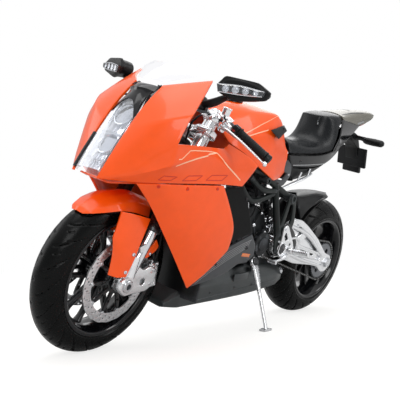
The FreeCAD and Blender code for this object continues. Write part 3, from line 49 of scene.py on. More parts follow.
# ---------------------------------------------------------------- frames and driving sizes
MM = 0.001
TURN = 2 * math.pi
LEAN, RAKE, STEER = math.radians(17.0), math.radians(23.3), math.radians(5.8)
REAR_HUB, REAR_RADIUS, REAR_CROWN = Vector((0, 0, 26.7)), 26.7, 7.9
FRONT_HUB, FRONT_RADIUS, FRONT_CROWN = Vector((119.2, 0, 24.74)), 25.0, 5.3
RIM_RADIUS = 18.0
FORK_Y = 8.9         # each fork leg from the centre plane
FORK_OFFSET = 2.6    # fork legs ahead of the steering axis
STEER_UP = Vector((-math.sin(RAKE), 0, math.cos(RAKE)))
STEER_FORWARD = Vector((math.cos(RAKE), 0, math.sin(RAKE)))
STEER_GROUND = Vector((126.7, 0, 0))    # where the steering axis meets the ground
LEFT = Vector((0, 1, 0))
SIDES = (("left", 1), ("right", -1))

LEAN_TURN = Matrix.Rotation(-LEAN, 4, 'X')
tyre_low, tyre_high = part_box("rear_tyre")
BIKE = (Matrix.Translation((tyre_low + tyre_high) / 2 - (LEAN_TURN @ REAR_HUB) * MM)
        @ Matrix.Scale(MM, 4) @ LEAN_TURN)
FRONT = (BIKE @ Matrix.Translation(STEER_GROUND) @ Matrix.Rotation(STEER, 4, STEER_UP)
         @ Matrix.Translation(-STEER_GROUND))


def steer_point(along, forward=FORK_OFFSET, y=FORK_Y):
    """A point given by its distance up the steering axis and ahead of it."""
    return STEER_GROUND + STEER_UP * along + STEER_FORWARD * forward + Vector((0, y, 0))


# ---------------------------------------------------------------- control cages
# Symmetric shells, left half only. Points run in rows (x, y, z) from the centre line outward.
# name: (points in a row, faces flipped, points)
HALF_GRIDS = {
    "dash_cover": (3, False, [
        (120.6, 0, 81.2), (119.6, 3, 81.3), (118.6, 5, 80.8),
        (118.8, 0, 83.2), (117.8, 3.2, 83.4), (115.8, 4.6, 82.8),
        (113.6, 0, 82.3), (113.4, 5.6, 82.1), (113.2, 10.2, 81),
        (110, 0, 81.3), (109.8, 6.4, 81.1), (110, 12.6, 80.2),
        (106.8, 0, 80.3), (106.8, 6.6, 80.1), (107.2, 12.5, 79.2)]),
    "exhaust_box": (6, True, [
        (95.4, 0, 12.9), (95.4, 4.6, 13), (95.4, 6.2, 13.5),
        (95.4, 6.2, 14.5), (95.4, 5.2, 15.1), (95.4, 0, 15.2),
        (89.6, 0, 12.5), (89.6, 6.1, 12.6), (89.6, 7.7, 13.3),
        (89.6, 7.7, 17.8), (89.6, 6.3, 18.9), (89.6, 0, 19),
        (83.6, 0, 12.7), (83.6, 6.4, 12.8), (83.6, 8, 13.7),
        (83.6, 8, 19.4), (83.6, 5.6, 21.6), (83.6, 0, 21.7),
        (67, 0, 13.2), (67, 6.4, 13.3), (67, 8, 14.4), (67, 8, 20.9), (67, 5.4, 24.3), (67, 0, 24.4),
        (53, 0, 13.8), (53, 6.4, 13.9), (53, 8, 15.2), (53, 8, 21.8), (53, 5.4, 26.2), (53, 0, 26.3),
        (44.7, 0, 14.5), (44.7, 6.4, 14.6), (44.7, 8, 15.9),
        (44.7, 8, 20.3), (44.7, 5.4, 25.8), (44.7, 0, 25.9),
        (32, 0, 16), (32, 6.4, 16.1), (32, 8, 17.4), (32, 8, 21.6), (32, 5.6, 25.8), (32, 0, 25.9),
        (27.5, 0, 18.2), (27.5, 5.6, 18.3), (27.5, 7.2, 19.2),
        (27.5, 7.2, 21.2), (27.5, 5, 24.6), (27.5, 0, 24.7)]),
    "front_fender": (4, False, [
        (135.53, 0, 44.84), (135.4, 0.91, 44.67), (135.39, 1.78, 44.67), (135.24, 2.17, 44.48),
        (134.37, 0, 46.22), (134.13, 1.75, 45.88), (133.99, 3.42, 45.69), (133.58, 4.17, 45.1),
        (130.99, 0, 48.58), (130.73, 2.45, 48.06), (130.36, 4.78, 47.31), (129.67, 5.83, 45.92),
        (125.78, 0, 50.62), (125.61, 2.87, 49.95), (125.3, 5.6, 48.74), (124.78, 6.83, 46.7),
        (117.33, 0, 51.27), (117.37, 2.66, 50.64), (117.51, 5.19, 48.69), (117.71, 6.33, 45.9),
        (108.99, 0, 49.08), (109.21, 2.42, 48.55), (109.96, 4.71, 46.77), (111.01, 5.75, 44.26)]),
    "fuel_tank": (5, False, [
        (93.2, 0, 78.9), (92.7, 4, 78.7), (91.3, 7.5, 76.6), (87.41, 11.25, 71.12),
        (84.84, 12.5, 70.03),
        (87, 0, 82.6), (86.6, 4, 82.2), (80.1, 8.75, 81.61), (82.28, 12.5, 74.64),
        (77.61, 13.17, 67.8),
        (79.5, 0, 84.6), (79, 4.2, 84.2), (70.56, 9, 83.13), (75.64, 13.33, 76.49),
        (71.18, 13.33, 64.86),
        (71, 0, 85.5), (70.5, 4.6, 85.1), (62.66, 9, 83.65), (69.12, 13.17, 77.97),
        (65.37, 13.17, 62.83),
        (63.2, 0, 84.8), (62.8, 5, 84.4), (57.84, 8.33, 83.9), (61.83, 12.67, 75.15),
        (58.87, 12.67, 60.57),
        (57.6, 0, 81.6), (57.6, 5, 81.2), (54, 8.83, 81.05), (54.78, 11, 74.88),
        (52.26, 10.67, 61.43),
        (54.2, 0, 76), (54.4, 5, 75.7), (54.8, 8.6, 75), (50.01, 10, 71.63),
        (47.39, 9.33, 64.5)]),
    "headlight_lens": (3, False, [
        (134.21, 0, 55.4), (133.91, 3.03, 55.3), (132.71, 5.06, 55.2),
        (132.05, 0, 60.2), (131.75, 3.07, 60.1), (130.55, 5.11, 60),
        (129.04, 0, 66.2), (128.74, 3.11, 66.1), (127.54, 5.18, 66),
        (125.8, 0, 72.2), (125.5, 3.15, 72.1), (124.3, 5.24, 72),
        (122.96, 0, 77.2), (122.66, 2.64, 77.1), (121.46, 4.4, 77),
        (119.94, 0, 80.8), (119.64, 1.56, 80.7), (118.44, 2.6, 80.6)]),
    "hugger": (4, True, [
        (-5.63, 0, 56.07), (-0.14, 3, 56.05), (1.91, 5.5, 55.23), (9.89, 6.83, 54.34),
        (2.11, 0, 56.84), (7.51, 3.33, 56.49), (11.34, 6.5, 54.01), (17.52, 8.17, 52.03),
        (11.51, 0, 56.19), (17.98, 3.83, 55.87), (21.17, 7.33, 52.97), (22.66, 8.67, 48.99),
        (19.98, 0, 54.68), (25.25, 3.83, 54.01), (27.86, 7.67, 49.85), (26.1, 8.83, 45.54)]),
    "nose_underside": (2, True, [
        (130.9, 0, 54.1), (131.2, 4.5, 54.2),
        (128.4, 0, 53), (128.2, 4.6, 53.2),
        (122, 0, 53.9), (121.6, 7.6, 54.2),
        (113, 0, 54.7), (112.6, 9.6, 55)]),
    "seat": (4, False, [
        (49.5, 0, 77.4), (49.3, 5, 77), (48.6, 8.4, 74.6), (47.8, 9.5, 71.1),
        (40, 0, 75.8), (40, 5, 75.9), (38.6, 9, 74.6), (37, 10.2, 72.2),
        (30, 0, 75.8), (30, 5, 76), (28, 9.3, 75.2), (26, 10.4, 73.4),
        (25.4, 0, 78), (25.2, 5, 78), (21.6, 9.4, 77.4), (18.4, 10.4, 75.6),
        (23.6, 0, 83), (23.2, 5, 83.2), (18.6, 8.8, 82), (14.9, 9.6, 81),
        (22.6, 0, 88), (22.2, 5, 88.3), (19.2, 7.8, 88.3), (13.6, 8.3, 85.3),
        (17, 0, 90.2), (17, 4.6, 90.1), (15.6, 7, 89.6), (11.5, 7.7, 87.5),
        (11.6, 0, 90.9), (11.6, 4.4, 90.6), (11.2, 6.4, 90), (10.6, 7.3, 88.2)]),
    "tail_cover": (4, False, [
        (10.4, 0, 91.3), (10.2, 4.6, 90.9), (9.9, 6.6, 90.1), (9.2, 7.5, 88.8),
        (-1, 0, 94.2), (-1.6, 3.9, 93.4), (-2, 5.6, 91), (-1.6, 6.1, 88.9),
        (-15, 0, 96), (-15.4, 3.2, 95.3), (-15, 4, 92.5), (-12.2, 4.3, 88.8),
        (-26.5, 0, 97), (-26.4, 2.2, 96.4), (-24.5, 3, 94), (-19, 3, 90.4),
        (-30, 0, 96.2), (-29.6, 1.4, 95.8), (-28.6, 1.8, 94.4), (-26, 2.2, 93)]),
    "tail_light": (2, True, [
        (-11.4, 0, 87.7), (-11.6, 3.2, 87.8),
        (-19.5, 0, 89.6), (-19.5, 2.3, 89.7),
        (-26.6, 0, 92.4), (-26.4, 1.2, 92.5)]),
    "undertray": (4, True, [
        (38.7, 0, 60.4), (38.7, 6, 60), (39.2, 8.3, 60.6), (44.4, 8.9, 65.4),
        (33, 0, 62.2), (33, 6, 62), (33, 8.3, 62.6), (34, 9.7, 66),
        (25, 0, 64.4), (25, 6, 64.2), (25, 8.3, 65), (22.4, 9.5, 67.8),
        (15, 0, 70.6), (15, 6, 70.4), (15, 8, 71), (14.6, 8.9, 72),
        (4, 0, 79), (4, 5, 79), (4.5, 6.6, 79.2), (6, 7.4, 79.8),
        (-9, 0, 86.2), (-9, 3, 86.2), (-8.6, 3.9, 86.3), (-8, 4.4, 86.5)]),
    "windscreen": (3, False, [
        (119.6, 0, 84.2), (118.4, 3.2, 84.5), (116.2, 5.9, 84.3),
        (117.6, 0, 86.6), (115.6, 4.8, 86.8), (112.2, 9.8, 86.6),
        (115, 0, 89), (112.6, 6, 89.4), (107.6, 13.2, 88.9),
        (113.4, 0, 89.9), (110.6, 6.2, 90.6), (104.2, 13, 90.5)]),
}
# Faces that close the ends of a half grid.
END_FACES = {"exhaust_box": [(0, 1, 2, 3, 4, 5), (47, 46, 45, 44, 43, 42)]}
# Creased edges of the half grids: (point, point, weight)
HALF_CREASES = {
    "fuel_tank": [(7, 12, 0.6), (12, 17, 0.6), (17, 22, 0.5), (22, 27, 0.3), (18, 23, 0.3)],
    "seat": [(20, 21, 0.6), (21, 22, 0.6)],
    "tail_cover": [(2, 6, 0.4), (6, 10, 0.4)],
}

# Panels on one side, drawn for the left. name: points (x, y, z)
SIDE_POINTS = {
    "fork_guard": [
        (125.53, 7.5, 46.74), (120.57, 8.83, 46.32), (114.21, 9.17, 44.95),
        (126.49, 7.83, 42.91), (122.37, 9.67, 42.24), (116.05, 10, 41.61),
        (127.45, 8.17, 39.21), (123.77, 10.17, 38.72), (117.69, 10.5, 38.24),
        (126.03, 8.33, 34.39), (123.97, 10.5, 34.64), (118.91, 10.83, 32.9),
        (126.44, 8.67, 28.23), (124.16, 10.33, 27.75), (120.96, 10.83, 27.81)],
    "inner_fairing": [
        (95.19, 16.33, 56.1), (86.96, 16.33, 57.33), (81.09, 16.5, 57.84),
        (89.04, 16.5, 51.21), (81.92, 16.5, 52.11), (76.58, 16.67, 52.52),
        (84.44, 16.5, 44.59), (77.85, 16.5, 46.02), (72.38, 16.67, 46.48),
        (83.77, 16.33, 37.69), (77.51, 16.42, 39.69), (69.8, 16.67, 42.19)],
    "lower_cover": [
        (83.52, 15.83, 35.8), (77.24, 16.17, 38.38), (69.44, 16.5, 41.6), (89.22, 15.17, 29.27),
        (79.96, 15.5, 31.7), (71.49, 15.83, 35.08), (65.52, 16.17, 37.6), (93.75, 14.33, 23.47),
        (84.21, 14.33, 25.18), (76.46, 14.33, 27), (71.63, 14.83, 30.3), (66.87, 15, 30.76),
        (63.99, 15.5, 33.43)],
    "mirror_shell": [    # five rings of seven, front ring first
        (109.85, 23.38, 88.88), (107.33, 30.9, 88.7), (106.28, 34.03, 87.03), (106.52, 33.32, 85.14),
        (108.9, 26.22, 83.53), (110.08, 22.69, 84.85), (110.35, 21.9, 86.79),
        (109.76, 22.38, 89.5), (106.7, 31.5, 89.28), (105.43, 35.29, 87.27), (105.72, 34.43, 84.97),
        (108.61, 25.82, 83.02), (110.04, 21.54, 84.61), (110.37, 20.58, 86.97),
        (109.24, 22.04, 89.59), (106.09, 31.44, 89.37), (104.78, 35.35, 87.29),
        (105.08, 34.46, 84.92), (108.05, 25.58, 82.91), (109.54, 21.17, 84.55),
        (109.87, 20.18, 86.99),
        (107.14, 21.39, 89.56), (104.02, 30.69, 89.34), (102.72, 34.57, 87.28),
        (103.02, 33.68, 84.94), (105.96, 24.9, 82.95), (107.43, 20.53, 84.57),
        (107.76, 19.55, 86.98),
        (105.09, 21.22, 89.28), (102.25, 29.68, 89.08), (101.07, 33.19, 87.21),
        (101.34, 32.39, 85.08), (104.02, 24.41, 83.27), (105.35, 20.43, 84.75),
        (105.65, 19.54, 86.94)],
    "side_fairing": [
        (124.96, 12.67, 55.26), (119.63, 16.33, 56.34), (109.31, 18.17, 57.25),
        (94.7, 19.08, 58.11), (118.66, 13.17, 49.89), (112.34, 17.08, 50.33),
        (101.74, 18.83, 51.45), (90.34, 19.25, 52.84), (112.99, 13.67, 43.3),
        (106.03, 17.33, 43.5), (95.96, 18.83, 44.6), (85.24, 19.25, 46.26),
        (105.43, 14.17, 34.77), (100.18, 17, 36.68), (91.83, 18.33, 37.54),
        (84.06, 18.5, 36.87), (100.85, 14.5, 29.35), (95.83, 16, 29.93),
        (89.79, 16.67, 28.85), (95.74, 14.83, 23.31), (83.96, 19.08, 42.67)],
    "tail_side": [
        (48.2, 10, 70.3), (36.6, 10.9, 71.4), (25.4, 11.1, 72.7), (17.5, 11.1, 75),
        (13.6, 10.3, 80.8), (12, 8.95, 84.9), (9.8, 7.5, 89), (45, 9.7, 66.3), (34, 10.7, 66.9),
        (22, 10.5, 68.8), (14.5, 9.9, 73), (9.8, 9.2, 77.1), (-12.8, 4.1, 89), (-1.5, 6.8, 82.8),
        (4.5, 8.1, 84)],
    "tank_insert": [
        (69.37, 13.83, 77.86), (56.88, 10.08, 80.62), (54.83, 10.58, 78.9), (63.04, 13.42, 75.48)],
    "upper_fairing": [
        (116.36, 5.83, 83.23), (112.39, 11.5, 85.46), (106.59, 15.42, 87.77), (121.81, 5.75, 76.95),
        (118.68, 13.67, 79.8), (112.1, 18.25, 82.2), (125.82, 5.67, 69.84), (123.43, 14.92, 73.24),
        (117.11, 20.17, 76.6), (129.98, 5.58, 61.93), (125.98, 13.67, 65.47), (119.69, 20.25, 70.98),
        (133.32, 5.5, 54.51), (126.7, 14, 57.86), (120.65, 20, 62.4), (120.18, 20.25, 68.42),
        (125.17, 12.67, 55.59), (119.74, 16.33, 56.71), (109.45, 18.17, 57.66), (95.1, 19.17, 58.64),
        (85.63, 19.17, 58.49), (110.32, 18.83, 68.93), (100.26, 17.17, 69), (94.89, 15.83, 69.02),
        (92.1, 15.17, 70.68), (111.21, 19.67, 65.65), (101.1, 18.5, 67.83), (94.18, 19.25, 63.86),
        (86.86, 19.33, 60.1), (87.9, 15.83, 69.58), (81.49, 17.33, 67.64), (78.01, 18, 65.5),
        (83.13, 18.83, 60.54), (90.07, 17.67, 66.39)],
}


def grid_faces(rows, columns, flipped=False):
    """Quads of a grid of points stored row by row."""
    quads = []
    for i in range(rows - 1):
        for j in range(columns - 1):
            a, b = i * columns + j, (i + 1) * columns + j
            quads.append((b, b + 1, a + 1, a) if flipped else (a, a + 1, b + 1, b))
    return quads


def ring_faces(rings, count):
    """Quads between successive closed rings of points."""
    return [(i * count + j, i * count + (j + 1) % count,
             (i + 1) * count + (j + 1) % count, (i + 1) * count + j)
            for i in range(rings - 1) for j in range(count)]


SIDE_FACES = {
    "fork_guard": grid_faces(5, 3, flipped=True),
    "inner_fairing": grid_faces(4, 3, flipped=True),
    "lower_cover": [(3, 4, 1, 0), (4, 5, 2, 1), (5, 6, 2), (7, 8, 4, 3), (9, 10, 5, 4), (8, 9, 4),
                    (11, 12, 6, 5), (10, 11, 5)],
    "mirror_shell": ring_faces(5, 7) + [(6, 5, 4, 3, 2, 1, 0), tuple(range(28, 35))],
    "side_fairing": grid_faces(3, 4, flipped=True) + [
        (12, 13, 9, 8), (13, 14, 10, 9), (20, 11, 10), (14, 15, 20, 10), (16, 17, 13, 12),
        (17, 18, 14, 13), (18, 15, 14), (19, 17, 16), (19, 18, 17)],
    "tail_side": [(7, 8, 1, 0), (8, 9, 2, 1), (9, 10, 3, 2), (10, 11, 4, 3), (11, 14, 5, 4),
                  (13, 14, 11), (14, 6, 5), (14, 13, 12, 6)],
    "tank_insert": [(3, 2, 1, 0)],
    "upper_fairing": grid_faces(4, 3, flipped=True) + [
        (12, 13, 10, 9), (13, 15, 11, 10), (13, 14, 15), (16, 13, 12), (16, 17, 14, 13),
        (14, 25, 21, 15), (25, 26, 22, 21), (17, 18, 25, 14), (18, 27, 26, 25), (19, 27, 18),
        (19, 20, 28, 27), (26, 23, 22), (33, 29, 24, 23), (26, 27, 33, 23), (30, 29, 33),
        (27, 31, 30, 33), (28, 32, 31, 27), (20, 32, 28)],
}
SIDE_CREASES = {
    "mirror_shell": [(7 + i, 14 + i, 0.5) for i in range(7)] + [
        (first + i, first + (i + 1) % 7, weight)
        for first, weight in ((0, 0.5), (14, 0.75), (7, 0.6), (28, 0.9)) for i in range(7)],
    "tail_side": [(4, 11, 0.5)],
    "upper_fairing": [
        (6, 7, 1), (7, 8, 1), (12, 13, 0.9), (13, 14, 1), (14, 25, 1), (25, 26, 1), (26, 27, 1),
        (27, 28, 1), (15, 14, 0.75), (23, 33, 0.9), (33, 27, 0.6)],
}


def whole_cage(name, all_creased=None):
    """A half grid joined to its mirror image: (points, faces, creases)."""
    columns, flipped, half = HALF_GRIDS[name]
    faces = grid_faces(len(half) // columns, columns, flipped) + END_FACES.get(name, [])
    points, twin = list(half), {}
    for i, (x, y, z) in enumerate(half):
        twin[i] = i
        if y:
            twin[i] = len(points)
            points.append((x, -y, z))
    faces += [tuple(twin[i] for i in reversed(face)) for face in faces]
    creases = HALF_CREASES.get(name, [])
    creases = creases + [(twin[a], twin[b], weight) for a, b, weight in creases]
    if all_creased:
        creases = [(face[i - 1], face[i], all_creased) for face in faces for i in range(len(face))]
    return points, faces, creases


def side_cage(name, side):
    """A panel of one side, mirrored for the right: (points, faces, creases)."""
    points = [(x, y * side, z) for x, y, z in SIDE_POINTS[name]]
    faces = SIDE_FACES[name]
    if side < 0:
        faces = [tuple(reversed(face)) for face in faces]
    return points, faces, SIDE_CREASES.get(name, [])


# ---------------------------------------------------------------- material helpers
def node(tree, kind, inputs=None, **settings):
    """Add a shader node; an input takes a value or another node's output socket."""
    made = tree.nodes.new("ShaderNode" + kind)
    for key, value in settings.items():
        setattr(made, key, value)
    for key, value in (inputs or {}).items():
        if isinstance(value, bpy.types.NodeSocket):
            tree.links.new(value, made.inputs[key])
        else:
            made.inputs[key].default_value = value
    return made


def new_material(name):
    """Material with a Principled shader on its output and object coordinates in millimetres."""
    material = bpy.data.materials.new(name)
    material.use_nodes = True
    tree = material.node_tree
    tree.nodes.clear()
    output = node(tree, "OutputMaterial")
    shader = node(tree, "BsdfPrincipled")
    tree.links.new(shader.outputs[0], output.inputs[0])
    coords = node(tree, "TexCoord")
    mm = node(tree, "VectorMath", {0: coords.outputs["Object"], 3: 1000.0}, operation='SCALE')
    return material, tree, shader, mm.outputs[0], output


def noise(tree, vector, scale, detail=4, rough=0.55):
    return node(tree, "TexNoise", {"Scale": scale, "Detail": detail, "Roughness": rough,
                                   "Vector": vector}).outputs["Fac"]


def ramp(tree, value, stops):
    """Colour ramp through (position, colour) stops."""
    made = node(tree, "ValToRGB", {0: value})
    elements = made.color_ramp.elements
    for element, stop in ((elements[0], stops[0]), (elements[1], stops[-1])):
        element.position, element.color = stop
    for position, color in stops[1:-1]:
        elements.new(position).color = color
    return made.outputs[0]


def remap(tree, value, source, target):
    """Map the source range onto the target range."""
    made = node(tree, "MapRange", {0: value, 1: source[0], 2: source[1],
                                   3: target[0], 4: target[1]})
    return made.outputs[0]


def bump(tree, shader, height, strength, distance):
    made = node(tree, "Bump", {"Strength": strength, "Distance": distance, "Height": height})
    tree.links.new(made.outputs[0], shader.inputs["Normal"])


def linear(rgb):
    """sRGB bytes to linear values."""
    return tuple(c / 255 / 12.92 if c / 255 <= 0.04045 else ((c / 255 + 0.055) / 1.055) ** 2.4
                 for c in rgb)


def finish(name, rgb, rough=0.4, metal=0.0, coat=0.0, coat_rough=0.05, spec=0.5, drift=0.06,
           drift_scale=0.25, mottle=0.08, grain=30.0, grain_strength=0.15, grain_depth=0.00002,
           edge=0.0, edge_rgb=None, glow=0.0):
    """Slow colour drift, mottled roughness and micro grain; optional worn edges and a glow that
    paints in light.
    """
    material, tree, shader, mm, _ = new_material(name)
    base = linear(rgb)
    color = ramp(tree, noise(tree, mm, scale=drift_scale, detail=3),
                 [(0.3, tuple(max(0, c * (1 - drift)) for c in base) + (1,)),
                  (0.7, tuple(min(1, c * (1 + drift)) for c in base) + (1,))])
    if edge:
        pointiness = node(tree, "NewGeometry").outputs["Pointiness"]
        sharp = remap(tree, pointiness, source=(0.53, 0.60), target=(0, edge))
        patches = remap(tree, noise(tree, mm, scale=3.0), source=(0.35, 0.6), target=(0.3, 1))
        wear = node(tree, "Math", {0: sharp, 1: patches}, operation='MULTIPLY')
        color = node(tree, "Mix", {0: wear.outputs[0], 6: color, 7: linear(edge_rgb) + (1,)},
                     data_type='RGBA').outputs[2]
    tree.links.new(color, shader.inputs["Base Color"])
    uneven = remap(tree, noise(tree, mm, scale=1.3, detail=5, rough=0.65), source=(0.3, 0.7),
                   target=(max(0.02, rough - mottle), min(1, rough + mottle)))
    tree.links.new(uneven, shader.inputs["Roughness"])
    shader.inputs["Metallic"].default_value = metal
    shader.inputs["Coat Weight"].default_value = coat
    shader.inputs["Coat Roughness"].default_value = coat_rough
    shader.inputs["Specular IOR Level"].default_value = spec
    # the glow paints in light that the part does not give off
    if glow:
        tree.links.new(color, shader.inputs["Emission Color"])
        shader.inputs["Emission Strength"].default_value = glow
    bump(tree, shader, noise(tree, mm, scale=grain, detail=2), grain_strength, grain_depth)
    return material


def clear(name, rgb, body, gloss, cap, ior=1.3, rough=0.02):
    """See-through sheet: Fresnel gloss plus a constant, held below cap; body is its opacity."""
    material, tree, shader, mm, output = new_material(name)
    tint = linear(rgb) + (1,)
    through = node(tree, "BsdfTransparent", {0: tint})
    smears = remap(tree, noise(tree, mm, scale=0.6, detail=3), source=(0.3, 0.7),
                   target=(rough, rough * 3))
    mirror = node(tree, "BsdfGlossy", {"Roughness": smears})
    fresnel = node(tree, "Fresnel", {0: ior})
    raised = node(tree, "Math", {0: fresnel.outputs[0], 1: gloss}, operation='ADD')
    limited = node(tree, "Math", {0: raised.outputs[0], 1: cap}, operation='MINIMUM')
    sheet = node(tree, "MixShader", {0: limited.outputs[0], 1: through.outputs[0],
                                     2: mirror.outputs[0]})
    shader.inputs["Base Color"].default_value = tint
    shader.inputs["Roughness"].default_value = 0.08
    mixed = node(tree, "MixShader", {0: body, 1: sheet.outputs[0], 2: shader.outputs[0]})
    tree.links.new(mixed.outputs[0], output.inputs[0])
    return material


def brushed(name, rgb, frame_matrix, hub, rough=0.32):
    """Turned metal: fine rings about a wheel's axle."""
    material, tree, shader, mm, _ = new_material(name)
    centre = tuple(c * 1000 for c in frame_matrix @ hub)
    axle = tuple((frame_matrix.to_3x3() @ LEFT).normalized())
    offset = node(tree, "VectorMath", {0: mm, 1: centre}, operation='SUBTRACT')
    cross = node(tree, "VectorMath", {0: offset.outputs[0], 1: axle}, operation='CROSS_PRODUCT')
    radius = node(tree, "VectorMath", {0: cross.outputs[0]}, operation='LENGTH')
    phase = node(tree, "Math", {0: radius.outputs["Value"], 1: 9.0}, operation='MULTIPLY')
    rings = node(tree, "Math", {0: phase.outputs[0]}, operation='SINE')
    cloud = noise(tree, mm, scale=1.5)
    base = linear(rgb)
    color = ramp(tree, cloud, [(0.3, tuple(c * 0.86 for c in base) + (1,)),
                               (0.7, tuple(min(1, c * 1.08) for c in base) + (1,))])
    shader.inputs["Metallic"].default_value = 1.0
    tree.links.new(color, shader.inputs["Base Color"])
    uneven = remap(tree, cloud, source=(0.3, 0.7), target=(rough - 0.06, rough + 0.1))
    tree.links.new(uneven, shader.inputs["Roughness"])
    bump(tree, shader, rings.outputs[0], strength=0.12, distance=0.00002)
    return material


# ---------------------------------------------------------------- materials
M = {
    "orange": finish("orange_paint", (251, 86, 8), rough=0.34, coat=0.35, spec=0.3, drift=0.03,
                     grain=18, grain_strength=0.10, mottle=0.05, coat_rough=0.06),
    # pale orange for the pin lines and for the painted highlights along the tank's creases
    "orange_line": finish("pale_line_and_painted_highlight", (255, 196, 160), drift=0.02),
    "orange_dark": finish("tone_graphic", (214, 52, 18), coat=0.3, drift=0.02, spec=0.3),
    "black": finish("black_gloss", (10, 11, 14), rough=0.14, coat=0.25, drift=0.15, mottle=0.04,
                    grain_strength=0.05, spec=0.35),
    "satin": finish("black_satin", (17, 18, 19), rough=0.36, drift=0.12, grain=25,
                    grain_strength=0.2, spec=0.22, edge=0.35, edge_rgb=(92, 95, 100)),
    "grey": finish("tail_metal", (112, 109, 98), rough=0.34, metal=0.35, coat=0.25, drift=0.05,
                   grain=40, grain_strength=0.12),
    "cover": finish("cover_grey", (52, 55, 59), rough=0.36, metal=0.15, coat=0.25, drift=0.08,
                    grain_strength=0.2),
    "seat": finish("seat_vinyl", (15, 18, 21), rough=0.3, drift=0.12, grain=12,
                   grain_strength=0.35, grain_depth=0.00003, mottle=0.06, spec=0.22),
    "tyre": finish("tread_rubber", (5, 6, 6), rough=0.26, drift=0.16, drift_scale=0.5, grain=9,
                   grain_strength=0.3, mottle=0.07, spec=0.13),
    "rubber": finish("hand_rubber", (10, 10, 11), rough=0.55, spec=0.25, drift=0.1, grain=20,
                     grain_strength=0.5),
    "blackmetal": finish("black_metal", (18, 19, 21), rough=0.3, metal=0.35, coat=0.3, drift=0.12,
                         grain=20, edge=0.3, edge_rgb=(96, 98, 104)),
    "frame": finish("frame_grey", (28, 33, 32), rough=0.38, metal=0.25, spec=0.3, drift=0.1,
                    grain=22, grain_strength=0.3, edge=0.35, edge_rgb=(120, 124, 130)),
    "alloy": finish("bright_alloy", (238, 239, 241), rough=0.17, metal=0.88, drift=0.03,
                    drift_scale=0.4, grain=14, grain_strength=0.06, mottle=0.05),
    "chrome": finish("chrome_parts", (222, 224, 228), rough=0.09, metal=1.0, drift=0.03, grain=6,
                     grain_strength=0.05, mottle=0.04),
    # its glow is painted light: it brightens the lamp chrome where little light reaches behind the
    # glass
    "lampchrome": finish("lamp_chrome", (238, 239, 242), rough=0.16, metal=0.55, drift=0.03,
                         grain=5, grain_strength=0.06, mottle=0.04, glow=0.1),
    "inner": finish("duct_black", (9, 9, 10), drift=0.15, grain=25, grain_strength=0.2, spec=0.1),
    "trayblack": finish("lamp_tray_dark", (70, 72, 75), rough=0.22, metal=0.6, drift=0.08),
    "steel": finish("disc_steel", (206, 208, 211), rough=0.28, metal=0.85, drift=0.05, grain=14,
                    grain_strength=0.08),
    "engine": finish("engine_grey", (30, 32, 34), rough=0.42, metal=0.45, spec=0.3, drift=0.16,
                     drift_scale=0.6, grain=8, grain_strength=0.5, grain_depth=0.00004, edge=0.4,
                     edge_rgb=(120, 124, 130)),
    "chain": finish("chain_steel", (58, 57, 55), rough=0.42, metal=0.9, drift=0.25,
                    drift_scale=2.0, grain=10, grain_strength=0.3),
    "box": finish("box_grey", (56, 60, 61), rough=0.36, metal=0.25, coat=0.25, drift=0.1, grain=24,
                  edge=0.3, edge_rgb=(110, 114, 118)),
    "red": finish("red_lens", (168, 22, 20), rough=0.12, coat=0.8, drift=0.1),
    "amber": finish("amber_lens", (222, 110, 22), rough=0.15, coat=0.8, drift=0.1),
    "white": finish("silver_strut", (208, 210, 213), rough=0.32, metal=0.7, drift=0.05),
    "glass": clear("clear_lens", (252, 253, 255), body=0.02, gloss=0.04, cap=0.35),
    "screen": clear("clear_screen", (254, 254, 255), body=0.0, gloss=0.0, ior=1.2, cap=0.07),
    # grey lines on the lower covers and the tail, and the painted highlight along the tail step
    "line": finish("silver_line_and_painted_highlight", (168, 170, 172), rough=0.35, metal=0.6, drift=0.03),
    "front_disc": brushed("front_disc_finish", (226, 227, 229), FRONT, FRONT_HUB),
    "rear_disc": brushed("rear_disc_finish", (214, 215, 218), BIKE, REAR_HUB),
    "sprocket": brushed("sprocket_finish", (120, 122, 126), BIKE, REAR_HUB, rough=0.36),
}


# ---------------------------------------------------------------- object helpers
def new_object(name, data):
    made = bpy.data.objects.new(name, data)
    bpy.context.scene.collection.objects.link(made)
    return made


def register(made, node_name=None, body="chassis"):
    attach(made, body)
    if node_name:
        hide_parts(node_name)
    return made


def smooth_by(made, degrees):
    for face in made.data.polygons:
        face.use_smooth = True
    made.modifiers.new("split", 'EDGE_SPLIT').split_angle = math.radians(degrees)


def add_bevel(made, name, width, degrees):
    """Round the edges sharper than an angle; width in mm."""
    bevel = made.modifiers.new(name, 'BEVEL')
    bevel.width = width * MM
    bevel.segments = 2
    bevel.limit_method = 'ANGLE'
    bevel.angle_limit = math.radians(degrees)
    return bevel


